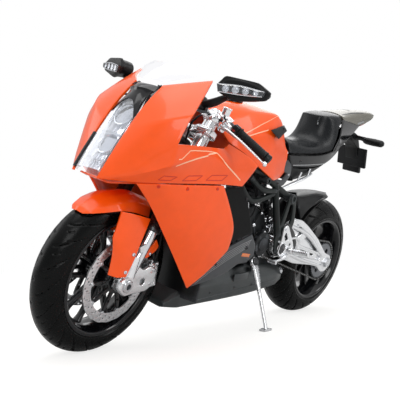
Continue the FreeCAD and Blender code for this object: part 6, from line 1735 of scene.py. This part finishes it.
# ---------------------------------------------------------------- frame tubes
# (radius stations, sides, steps, path)
FRAME_TUBES = (
    (1.25, 20, 5, [(99, 2.6, 60.6), (96.4, 5.6, 61.6), (92.5, 8.2, 62.6), (84, 10.5, 64.2),
                   (67.6, 10.6, 63.2), (55, 10.6, 58.9), (42.6, 10.6, 54.6)]),
    ([1.2, 1.3, 1.3, 1.35], 20, 5, [(54.4, 10.9, 59.4), (53.2, 11.1, 56), (50.4, 11.7, 48.6),
                                    (46.6, 12.3, 39.6)]),
    (1.02, 16, 6, [(82, 10.5, 63.6), (74.4, 10.8, 57), (68.5, 10.9, 52.8), (63, 11, 52.6),
                   (53, 10.9, 55.8)]),
    (0.98, 16, 6, [(70.6, 10.8, 60.6), (66, 11.3, 58), (61.5, 11.6, 56.5), (54, 11.4, 56.6)]))
PIVOT_PLATE = [(45, 55), (41, 56), (39.6, 52.6), (37.6, 45.2), (40, 38), (40.6, 32.8), (43, 31.4),
               (46.4, 32.6), (48.6, 38.6), (46.6, 45.4)]
part = Part()
for _, side in SIDES:
    for radius, sides, steps, path in FRAME_TUBES:
        part.add(tube(across(path, side), radius, sides, steps))
    # bosses with hex sockets
    for x, z, y0, y1, r in ((62.5, 60.2, 9.6, 13.4, 1.25), (42.6, 54.4, 9.4, 13.3, 1.75)):
        length = y1 - y0
        part.add(lathe((x, y0, z), LEFT,
                       [(r - 0.1, 0), (r, 0.1), (r, length - 0.15), (r - 0.15, length),
                        (r * 0.55, length), (r * 0.5, length - 1.0), (0.001, length - 1.0)], 30),
                 side=side)
        part.add(lathe((x, y1 - 1.1, z), LEFT,
                       [(r * 0.42, 0), (r * 0.42, 0.5), (r * 0.2, 0.55), (0.001, 0.3)], 6), 1,
                 side)
    part.add(plate(PIVOT_PLATE, [circle((PIVOT_X, PIVOT_Z), 1.2, 24),
                                 [(43.6, 52.6), (41.6, 52), (40.2, 46), (42.2, 41.4),
                                  (44.6, 44.4)]],
                   12.05, 12.95, bevel=0.22, corner=1.4, hole_corner=0.8), side=side)
    for x, z in ((45.4, 37.4), (42.0, 38.8), (47.0, 41.2)):
        part.add(bolt((x, 12.9, z), LEFT, 0.5, 0.35), 1, side)
    # weld beads where tubes meet
    for centre, axis, r in (((53.4, 11, 57.3), (0.25, 0, 1), 1.42),
                            ((81.2, 10.5, 63.2), (1, 0, 0.9), 1.2),
                            ((69.6, 10.8, 60.2), (1, 0, 0.6), 1.15)):
        part.add(lathe(centre, axis, [(r * 0.8, -0.22), (r + 0.06, -0.1), (r + 0.06, 0.1),
                                      (r * 0.8, 0.22)], 24), side=side)
# steering head, cross tube and its lugs
part.add(lathe(steer_point(64.6, 0, 0), STEER_UP,
               [(1.5, 0), (2.9, 0), (3.1, 0.2), (3.1, 1.6), (2.8, 1.9), (2.8, 8.5), (3.1, 8.8),
                (3.1, 10.2), (2.9, 10.4), (1.5, 10.4)], 40, closed=True))
part.add(rod((42.6, -10.6, 54.6), (42.6, 10.6, 54.6), 1.15))
part.add(rod((42.5, -2.2, 51.2), (42.5, 2.2, 51.2), 0.6), 1)
for y in (1.35, -2.2):
    part.add(plate([(41.2, 50), (43.8, 50), (44.2, 54.8), (41, 54.8)], [], y, y + 0.85, bevel=0.1,
                   corner=0.5))
part.build("frame_tubes", ["frame", "steel"], "frame_grey", "frame", split=42)

# flap of the rear hugger, ahead of the tyre
front, back = [], []
for i in range(15):
    a = math.radians(24 + 44 * i / 14)
    for j in range(13):
        y = -8.4 + 16.8 * j / 12
        r = 29.9 - 0.011 * y * y + 0.12 * math.cos(j * math.pi)
        front.append((r * math.cos(a), y, 26.7 + r * math.sin(a)))
        back.append(((r - 0.5) * math.cos(a), y, 26.7 + (r - 0.5) * math.sin(a)))
part = Part()
part.add(slab(front, back, 13))
part.build("hugger_flap", ["inner"], "black_satin", body="rear_arm", split=50)

# silver strut and side cover below the tank's tail
part = Part()
for _, side in SIDES:
    part.add(tube([(47.6, 9.4, 57.4), (42, 9.8, 59.6), (35.4, 10, 62), (28.4, 9.6, 64.6)],
                  [0.5, 0.75, 0.8, 0.5], 12, 6, flat=0.6), side=side)
    part.add(tube([(38, 9.9, 61), (36.6, 9.8, 64.6)], 0.4, 10), side=side)
    part.add(tube([(31.4, 9.8, 63.4), (30.4, 9.6, 66.4)], 0.4, 10), side=side)
    part.add(plate([(52.6, 66), (54.6, 60.2), (52, 57.4), (47, 58.6), (43.6, 62.6), (44.4, 66.6),
                    (48.2, 68.8)], [[(50.8, 64.6), (51.8, 60.8), (48.4, 60.6), (46.4, 63.4)]],
                   9.1, 9.8, bevel=0.25, corner=1.2, hole_corner=0.7), 1, side)
    part.add(bolt((45.4, 9.8, 63), LEFT, 0.45, 0.3), 2, side)
part.build("tail_struts", ["white", "cover", "steel"], "black_metal", "subframe", split=36)
part = Part()
for y0, y1 in ((4.6, 5.8), (-5.8, -4.6)):
    part.add(plate([(41.6, 60.8), (36.5, 60.6), (33, 61.1), (24, 63.6), (16.4, 67.4),
                    (16.4, 68.9), (24.4, 65.8), (32.2, 63.4), (36, 62.9), (41, 63.2)], [], y0, y1,
                   bevel=0.2, corner=0.6))
for x, z in ((38.0, 61.9), (20.0, 66.4)):
    part.add(rod((x, -5, z), (x, 5, z), 0.8))
part.build("subframe_rails", ["blackmetal"], "black_metal", split=36)

# ---------------------------------------------------------------- engine dressing
random.seed(11)
# (radius, slot, path); the last is the header pipe into the exhaust box
HOSES = (
    (0.75, 0, [(87, 7, 52), (80, 8.8, 53.6), (72, 8.8, 49), (68, 8.4, 44)]),
    (0.7, 0, [(88, 8.6, 41), (82, 9.2, 38), (76, 9.2, 36.5), (72, 8.6, 39)]),
    (0.35, 0, [(60, 7.4, 60), (57, 8.2, 54), (56, 8.8, 48), (58.6, 8.8, 43.4)]),
    (0.28, 0, [(64, 8, 58), (61, 9, 52), (61.4, 9.2, 47), (64.6, 8.8, 44)]),
    (0.22, 2, [(70.6, 8.4, 57.6), (66.6, 9.4, 51.8), (64.8, 9.4, 47.4)]),
    (0.3, 0, [(56.6, 7.4, 57.4), (52, 8.4, 51.4), (50.4, 8.8, 46), (51.8, 8.8, 41)]),
    (1.25, 3, [(82, 3.4, 52.4), (87.2, 4.2, 47), (87.6, 5.2, 38), (85.4, 5.6, 30),
               (78.6, 5.6, 25.6)]))
part = Part()
for _, side in SIDES:
    for radius, slot, path in HOSES:
        part.add(tube(across(path, side), radius, 10, 6), slot)
    for x, y, z, r in ((58.6, 8.9, 42.8, 0.85), (64.6, 9.0, 44.6, 0.7), (72.4, 8.9, 47.8, 0.8),
                       (61.0, 8.9, 50.8, 0.65), (55.4, 8.8, 47.4, 0.6)):
        part.add(lathe((x, y - 0.6, z), LEFT, [(r, 0), (r, 0.7), (r * 0.75, 0.95),
                                               (r * 0.4, 1.0), (0.001, 1.3)], 16), 2, side)
    # throttle bodies, side blocks and their screws
    for x in (66.0, 71.6):
        part.add(lathe((x, 2.2, 56.6), (0.1, 0.5, 0.85),
                       [(1.8, 0), (2.2, 0.2), (2.2, 2.6), (1.8, 2.9), (1.9, 3.2), (1.9, 4.2),
                        (1.5, 4.4)], 24), 1, side)
    part.add(block((58.6, 8.1, 56.2), (5.2, 1.4, 4.0), tilt(0.3)), 1, side)
    part.add(block((76.6, 8.2, 42.6), (4.2, 1.2, 3.0), tilt(-0.5)), 1, side)
    for i in range(3):
        part.add(bolt((57.0 + 1.6 * i, 8.8, 57.4 - 0.4 * i), LEFT, 0.32, 0.25), 2, side)
# rubber-mounted hangers that carry the exhaust box, sump ribs and filter
for x, z, tall in ((45.0, 27.3, 6.6), (61.0, 26.6, 5.2), (75.0, 26.2, 5.6)):
    part.add(block((x, 0, z), (3.0, 9.0, tall)), 1)
    for _, side in SIDES:
        part.add(lathe((x, side * 4.4, z - 0.4), (0, side, 0),
                       [(1.2, 0), (1.5, 0.1), (1.5, 0.7), (1.0, 0.9), (0.5, 0.9), (0.001, 0.7)],
                       20))
for i in range(7):
    part.add(block((60.0 + i * 3.2, 0, 28.0 + i * 0.22), (0.5, 15.4, 1.2)), 1)
part.add(lathe((86.8, 2.4, 34.0), (1, 0, -0.15),
               [(1.6, 0), (2.5, 0.1), (2.6, 0.5), (2.6, 1.6), (2.2, 2.0), (1.1, 2.1), (1.0, 1.8),
                (0.001, 1.8)], 28), 3)
# round caps on the covers: two left, one right, each in a circle of bolts
part.add(lathe((66.5, 10.5, 38.2), LEFT,
               [(3.0, 0), (3.2, 0.15), (3.2, 0.4), (2.7, 0.55), (2.4, 0.35), (1.2, 0.35),
                (1.0, 0.7), (0.001, 0.75)], 40), 1)
part.add(lathe((53.4, 11.1, 36.0), LEFT,
               [(2.8, 0), (3.0, 0.2), (3.0, 0.35), (2.2, 0.5), (0.8, 0.5), (0.7, 0.25),
                (0.001, 0.25)], 36), 1)
add_bolt_circle(part, (66.5, 9.9, 38.2), pitch_radius=5.75, count=7, axis=LEFT)
add_bolt_circle(part, (53.4, 10.7, 36.0), pitch_radius=4.75, count=4, axis=LEFT)
part.add(lathe((64.5, -11.1, 38.4), -LEFT,
               [(4.4, 0), (4.7, 0.2), (4.7, 0.5), (4.1, 0.7), (3.8, 0.4), (1.6, 0.4), (1.4, 0.8),
                (0.001, 0.85)], 48), 1)
add_bolt_circle(part, (64.5, -10.3, 38.4), pitch_radius=7.1, count=8, axis=-LEFT)
part.build("engine_dressing", ["rubber", "engine", "chrome", "steel"], "engine_grey", bevel=0.1,
           split=36)

# exhaust box: twin outlets at the rear, bolts, seam and side blocks
part = Part()
for y in (-5.2, 5.2):
    part.add(lathe((27.9, y, 22.2), (-1, 0, 0),
                   [(1.25, -0.6), (1.75, -0.5), (1.85, 0), (1.85, 1.0), (1.7, 1.2), (1.35, 1.2),
                    (1.3, 0.4), (0.001, 0.0)], 30))
for _, side in SIDES:
    for x, z in ((60.0, 18.2), (49.0, 18.6), (74.0, 17.4)):
        part.add(bolt((x, 8.0, z), LEFT, 0.42, 0.3), 1, side)
    part.add(tube([(83, 8.02, 15), (66, 8.05, 16.6), (46, 8.05, 18.2), (33, 8, 19.4)], 0.14, 6,
                  steps=2), 1, side)
    part.add(block((57.6, 8.1, 22.4), (8.5, 0.5, 2.8), tilt(0.06)), 1, side)
    part.add(block((50.2, 7.6, 25.0), (3.4, 1.2, 2.2)), 1, side)
part.build("exhaust_fittings", ["steel", "box"], "box_grey", bevel=0.14, split=34)

# ---------------------------------------------------------------- side stand
STAND_FOOT_Y = 22.9
STAND_PIVOT = Vector((55.3, 10.6, 28.9))
STAND_AXIS = Vector((0, 0.868, 0.498)).normalized()
leg = Vector((55.5, STAND_FOOT_Y, 7.2)) - STAND_PIVOT
leg_axis, leg_length = leg.normalized(), leg.length
leg_side = STAND_AXIS.cross(leg_axis).normalized()
part = Part()
part.add(lathe(STAND_PIVOT - STAND_AXIS * 0.65, STAND_AXIS,
               [(0.96, 0), (1.7, 0), (1.85, 0.15), (1.85, 1.15), (1.7, 1.3), (0.96, 1.3)], 34,
               closed=True))
# Leg stations: distance from the pivot, half width, half thickness
STAND_STATIONS = ((1.4, 1.7, 0.62), (3.0, 1.55, 0.7), (5.4, 1.35, 0.75), (6.2, 0.98, 0.7),
                  (9.0, 0.85, 0.62), (16.0, 0.7, 0.55), (leg_length - 1.2, 0.62, 0.5),
                  (leg_length - 0.2, 0.9, 0.5))
distances, widths, heights = zip(*STAND_STATIONS)
part.add(squared_bar([STAND_PIVOT + leg_axis * d for d in distances], leg_side, STAND_AXIS,
                     widths, heights, power=0.5))
# short peg with a ball end
peg = STAND_PIVOT + leg_axis * 10.5
part.add(rod(peg, peg + Vector((2.6, 1.6, 0.4)), 0.38))
part.add(lathe(peg + Vector((2.7, 1.7, 0.4)), (1, 0, 0), ball_profile(0.55), 16))
# foot: flat sole with turned-up ends, level once the machine leans
foot_z = (STAND_FOOT_Y * math.sin(LEAN) - REAR_CROWN * (1 - math.cos(LEAN))) / math.cos(LEAN)
part.add(plate([(53.6, 0), (57.5, 0), (57.9, 0.85), (57, 0.75), (56.4, 1), (54.6, 1),
                (54, 0.75), (53.2, 0.8)], [], -1.4, 1.4, bevel=0.12, corner=0.2),
         matrix=Matrix.Translation((0, STAND_FOOT_Y, foot_z)) @ Matrix.Rotation(LEAN, 4, 'X'))
part.add(rod(STAND_PIVOT + STAND_AXIS * 0.6, STAND_PIVOT + STAND_AXIS * 1.0, 1.3, count=6), 1)
# return spring: 13 coils, drawn in straight at both ends
start = STAND_PIVOT + leg_axis * 1.0 + leg_side * 2.1
run = STAND_PIVOT + leg_axis * 8.6 + leg_side * 1.3 - start
first, second, _ = axes_for(run)
spring = []
for i in range(150):
    t = i / 149
    radius = 0.42 * (1 if 0.08 < t < 0.92 else 0.2)
    angle = t * 13 * TURN
    spring.append(start + run * t
                  + (first * math.cos(angle) + second * math.sin(angle)) * radius)
part.add(tube(spring, 0.11, 6, steps=1), 1)
part.build("stand_leg", ["alloy", "steel"], "bright_alloy", "side_stand", "stand", split=40)

# ---------------------------------------------------------------- footrests
REST_PLATE = [(45.8, 33), (42, 30.6), (37, 31.2), (34.8, 34.6), (36.8, 37.6), (43, 44.4),
              (45.4, 43.2), (45, 38.4)]
HEEL_GUARD = [(44.6, 43.4), (42.6, 45.2), (36.6, 41.6), (32.6, 36.8), (33, 33.8), (34.2, 34),
              (35.2, 37.2), (38.6, 40.4)]
peg_axis = (Vector((37.4, 22.4, 35.2)) - Vector((38.4, 13.4, 34.0))).normalized()
peg_profile = [(0.8, 0), (1.25, 0.1), (1.25, 1.1), (0.95, 1.3)]
x = 1.7
while x < 7.4:
    peg_profile += [(0.9, x), (1.02, x + 0.1), (1.02, x + 0.45), (0.9, x + 0.55)]
    x += 0.72
peg_profile += [(1.1, 7.6), (1.1, 8.0), (0.8, 8.2)]
part = Part()
for _, side in SIDES:
    part.add(plate(REST_PLATE, [circle((PIVOT_X, PIVOT_Z), 2.1, 24),
                                [(43.2, 41.6), (40.6, 38.6), (42.6, 38), (44, 39.6)],
                                circle((38.6, 36.4), 0.7, 14)],
                   13.15, 14.0, bevel=0.2, corner=1.0, hole_corner=0.5), side=side)
    part.add(lathe((38.4, 14.4, 34.1), peg_axis, peg_profile, 26), side=side)
    # pedal with its toe peg and pivot
    part.add(tube([(40.2, 14.6, 32), (44, 15.1, 31), (48.6, 15.3, 30.6), (52.6, 15.4, 30.8)],
                  [0.75, 0.55, 0.5, 0.65], 14, 6, flat=0.8), side=side)
    part.add(rod((52.6, 14.9, 30.8), (52.8, 18.6, 31.0), 0.62), 1, side)
    part.add(lathe((40.2, 13.8, 32.0), LEFT,
                   [(1.1, 0), (1.1, 1.0), (0.8, 1.2), (0.4, 1.2), (0.001, 1.0)], 22), 1, side)
    part.add(tube([(38, 13.2, 38.6), (33, 12.9, 38.8), (29.4, 12.6, 36.8)], [0.5, 0.6, 0.4], 10),
             side=side)
    part.add(plate(HEEL_GUARD, [], 13.0, 13.35, bevel=0.1, corner=0.9), 2, side)
    for x, z in ((44.2, 42.6), (37.2, 33.0)):
        part.add(bolt((x, 13.9, z), LEFT, 0.5, 0.35), 1, side)
part.build("footrest_sets", ["alloy", "steel", "blackmetal"], "bright_alloy", "rearsets",
           split=38)

# ---------------------------------------------------------------- number plate carrier
part = Part()
part.add(plate([(-8, 85.2), (-12, 85.6), (-16.4, 84.6), (-20.6, 79.6), (-22.6, 74), (-21, 73.4),
                (-17.4, 79), (-11.5, 81.6)], [], -3.0, 3.0, bevel=0.45, corner=1.0))
part.add(plate([(-19, 79.2), (-20.4, 79.2), (-23.5, 70.6), (-22.2, 70.1)], [], -7.3, 7.3,
               bevel=0.3, corner=0.4))
part.add(plate([(-19.6, 78), (-21.4, 78.2), (-25.4, 67.8), (-23.6, 67.4)], [], -4.4, 4.4,
               bevel=0.3, corner=0.5))
part.add(plate([(-20.9, 79.6), (-22.3, 79.2), (-22.9, 77.6), (-21.6, 77.8)], [], -2.6, 2.6,
               bevel=0.2, corner=0.4))
for _, side in SIDES:
    # stalk, pod and amber lens
    part.add(tube([(-13.6, 3, 83.5), (-13.2, 6, 83.5), (-12.6, 9, 83.3)], [1.15, 0.95, 1.1],
                  14, 5), side=side)
    part.add(tube([(-12.4, 8.4, 83.1), (-12.3, 9.4, 82.9), (-12.3, 13, 82.9), (-12.4, 16.6, 82.9),
                   (-12.6, 17.7, 82.9)], [1.2, 1.75, 1.95, 1.8, 0.9], 20, 6, flat=0.85,
                  up=(1, 0, 0)), side=side)
    part.add(tube([(-14, 10, 82.9), (-14.35, 13, 82.9), (-14, 16.2, 82.9)], [0.4, 0.75, 0.4],
                  14, 5, flat=0.9), 1, side)
    part.add(bolt((-22.9, 5.9, 74), (-0.95, 0, 0.3), 0.45, 0.3), 2, side)
part.build("plate_carrier", ["satin", "amber", "steel"], "black_satin", "plate_holder", split=38)

# small instrument pod in the cockpit
part = Part()
part.add(block((107.2, 0, 77.8), (3.0, 11.0, 4.2), tilt(-0.9), taper=0.85))
part.add(block((105.7, 0, 78.6), (0.3, 8.6, 3.0), tilt(-0.9)), 1)
part.build("instrument_pod", ["satin", "glass"], "black_satin", bevel=0.4, split=36)


# ---------------------------------------------------------------- CAD pieces that stay
def dress(node_name, material, bevel):
    """Give a kept CAD piece its finish and softened edges."""
    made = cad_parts[node_name]
    made.data.materials.clear()
    made.data.materials.append(M[material])
    for face in made.data.polygons:
        face.material_index = 0
    stored = made.data.attributes.get("custom_normal")
    if stored:
        made.data.attributes.remove(stored)
    made.modifiers.new("weld", 'WELD').merge_threshold = 2e-6
    if bevel:
        add_bevel(made, "soft", bevel, 50)
    smooth_by(made, 35)


# (piece, material, bevel in mm)
for node_name, material, bevel in (
        ("pivot_bolts", "blackmetal", 0.1), ("crankcase", "engine", 0.15),
        ("cylinders", "engine", 0.08), ("engine_covers", "engine", 0.12),
        ("radiator", "blackmetal", 0), ("rear_sprocket", "sprocket", 0),
        ("shock_body", "blackmetal", 0.1), ("shock_shaft", "chrome", 0.08),
        ("shock_spring", "satin", 0)):
    dress(node_name, material, bevel)


# ---------------------------------------------------------------- stage
def floor_material():
    """Matte for the light; for the eye, brighter and fading to white away from the bike."""
    material, tree, shader, mm, output = new_material("pale_floor")
    shader.inputs["Roughness"].default_value = 0.6
    shader.inputs["Specular IOR Level"].default_value = 0.1
    color = ramp(tree, noise(tree, mm, scale=0.02, detail=3),
                 [(0.3, (0.60, 0.60, 0.595, 1)), (0.7, (0.63, 0.63, 0.625, 1))])
    tree.links.new(color, shader.inputs["Base Color"])
    diffuse = node(tree, "BsdfDiffuse", {0: (0.34, 0.335, 0.325, 1)})
    glow = node(tree, "Emission", {"Color": (1, 0.998, 0.99, 1), "Strength": 0.74})
    near = node(tree, "AddShader", {0: diffuse.outputs[0], 1: glow.outputs[0]})
    far = node(tree, "Emission", {"Color": (1, 1, 1, 1)})
    position = node(tree, "NewGeometry").outputs["Position"]
    distance = node(tree, "VectorMath", {0: position}, operation='LENGTH').outputs["Value"]
    fade = remap(tree, distance, source=(0.14, 0.34), target=(0, 1))
    seen = node(tree, "MixShader", {0: fade, 1: near.outputs[0], 2: far.outputs[0]})
    camera_ray = node(tree, "LightPath").outputs["Is Camera Ray"]
    mixed = node(tree, "MixShader", {0: camera_ray, 1: shader.outputs[0], 2: seen.outputs[0]})
    tree.links.new(mixed.outputs[0], output.inputs[0])
    return material


FLOOR_SIDES = 96
FLOOR_RADII = (0.15, 0.4, 0.8, 1.6, 3.2)    # metres
material = floor_material()
points = [(0, 0, 0)]
for radius in FLOOR_RADII:
    for i in range(FLOOR_SIDES):
        a = TURN * i / FLOOR_SIDES
        points.append((radius * math.cos(a), radius * math.sin(a), 0))
faces = [(0, 1 + i, 1 + (i + 1) % FLOOR_SIDES) for i in range(FLOOR_SIDES)]
for ring in range(len(FLOOR_RADII) - 1):
    low, high = 1 + ring * FLOOR_SIDES, 1 + (ring + 1) * FLOOR_SIDES
    for i in range(FLOOR_SIDES):
        j = (i + 1) % FLOOR_SIDES
        faces.append((low + i, high + i, high + j, low + j))
mesh = bpy.data.meshes.new("studio_floor")
mesh.from_pydata(points, [], faces)
mesh.materials.append(material)
for face in mesh.polygons:
    face.use_smooth = True
new_object("studio_floor", mesh)

# white room for the eye, dimmer room with a bright ceiling for light and reflections
scene = bpy.context.scene
world = bpy.data.worlds.new("studio") if scene.world is None else scene.world
scene.world = world
world.use_nodes = True
tree = world.node_tree
tree.nodes.clear()
ROOM_STOPS = [(0.0, (0.30, 0.30, 0.30, 1))]    # brightness against height
ROOM_STOPS += [(height, (value, value, value * 1.01, 1))
               for height, value in ((0.04, 0.80), (0.16, 0.55), (0.45, 0.62), (0.62, 1.1))]
ROOM_STOPS += [(1.0, (1.0, 1.0, 1.0, 1))]
coords = node(tree, "TexCoord").outputs["Generated"]
height = node(tree, "SeparateXYZ", {0: coords}).outputs["Z"]
rays = node(tree, "LightPath").outputs
# strength 0.72, raised by 0.16 in reflections
strength = node(tree, "Math", {0: rays["Is Glossy Ray"], 1: 0.16, 2: 0.72},
                operation='MULTIPLY_ADD')
room = node(tree, "Background", {0: ramp(tree, height, ROOM_STOPS), 1: strength.outputs[0]})
white = node(tree, "Background", {0: (1, 1, 1, 1)})
mixed = node(tree, "MixShader", {0: rays["Is Camera Ray"], 1: room.outputs[0],
                                 2: white.outputs[0]})
node(tree, "OutputWorld", {0: mixed.outputs[0]})

# camera, given in bike coordinates
CAMERA_PLACE = Vector((235.9767, 127.782, 77.5482))
CAMERA_RIGHT = Vector((-0.645233, 0.730375, 0.224114))
CAMERA_UP = Vector((0.038472, -0.261914, 0.964324))
CAMERA_FORWARD = Vector((-0.763016, -0.630836, -0.140896))
camera_data = bpy.data.cameras.new("cam")
camera_data.sensor_width = 36.0
camera_data.lens = 52.664823
camera_data.clip_start, camera_data.clip_end = 0.005, 50
camera = new_object("cam", camera_data)
lean = LEAN_TURN.to_3x3()
aim = Matrix((lean @ CAMERA_RIGHT, lean @ CAMERA_UP, -(lean @ CAMERA_FORWARD))).transposed()
camera.matrix_world = Matrix.Translation(BIKE @ CAMERA_PLACE) @ aim.to_4x4()
scene.camera = camera


def area(name, place, target, size, power, size_y=None):
    """Area light aimed at a target, in metres and watts."""
    light = bpy.data.lights.new(name, 'AREA')
    light.energy = power
    light.size = size
    if size_y:
        light.shape = 'RECTANGLE'
        light.size_y = size_y
    made = new_object(name, light)
    made.location = place
    made.rotation_mode = 'QUATERNION'
    direction = (Vector(target) - Vector(place)).normalized()
    made.rotation_quaternion = direction.to_track_quat('-Z', 'Y')


area("top_soft", place=(0.05, 0.05, 0.8), target=(0, 0, 0.04), size=0.6, power=2.5)
area("front_left_soft", place=(0.55, 0.60, 0.40), target=(0.02, 0, 0.05), size=0.4, power=2.1)
area("left_strip", place=(-0.35, 0.6, 0.35), target=(-0.02, 0, 0.04), size=0.2, power=1.3,
     size_y=0.5)
area("right_fill", place=(0.35, -0.6, 0.35), target=(0, 0, 0.05), size=0.5, power=1.1)
area("back_rim", place=(-0.6, -0.2, 0.5), target=(0, 0, 0.06), size=0.4, power=0.9)
scene.view_settings.view_transform = 'Standard'
scene.view_settings.look = 'None'
scene.view_settings.exposure = 0.0
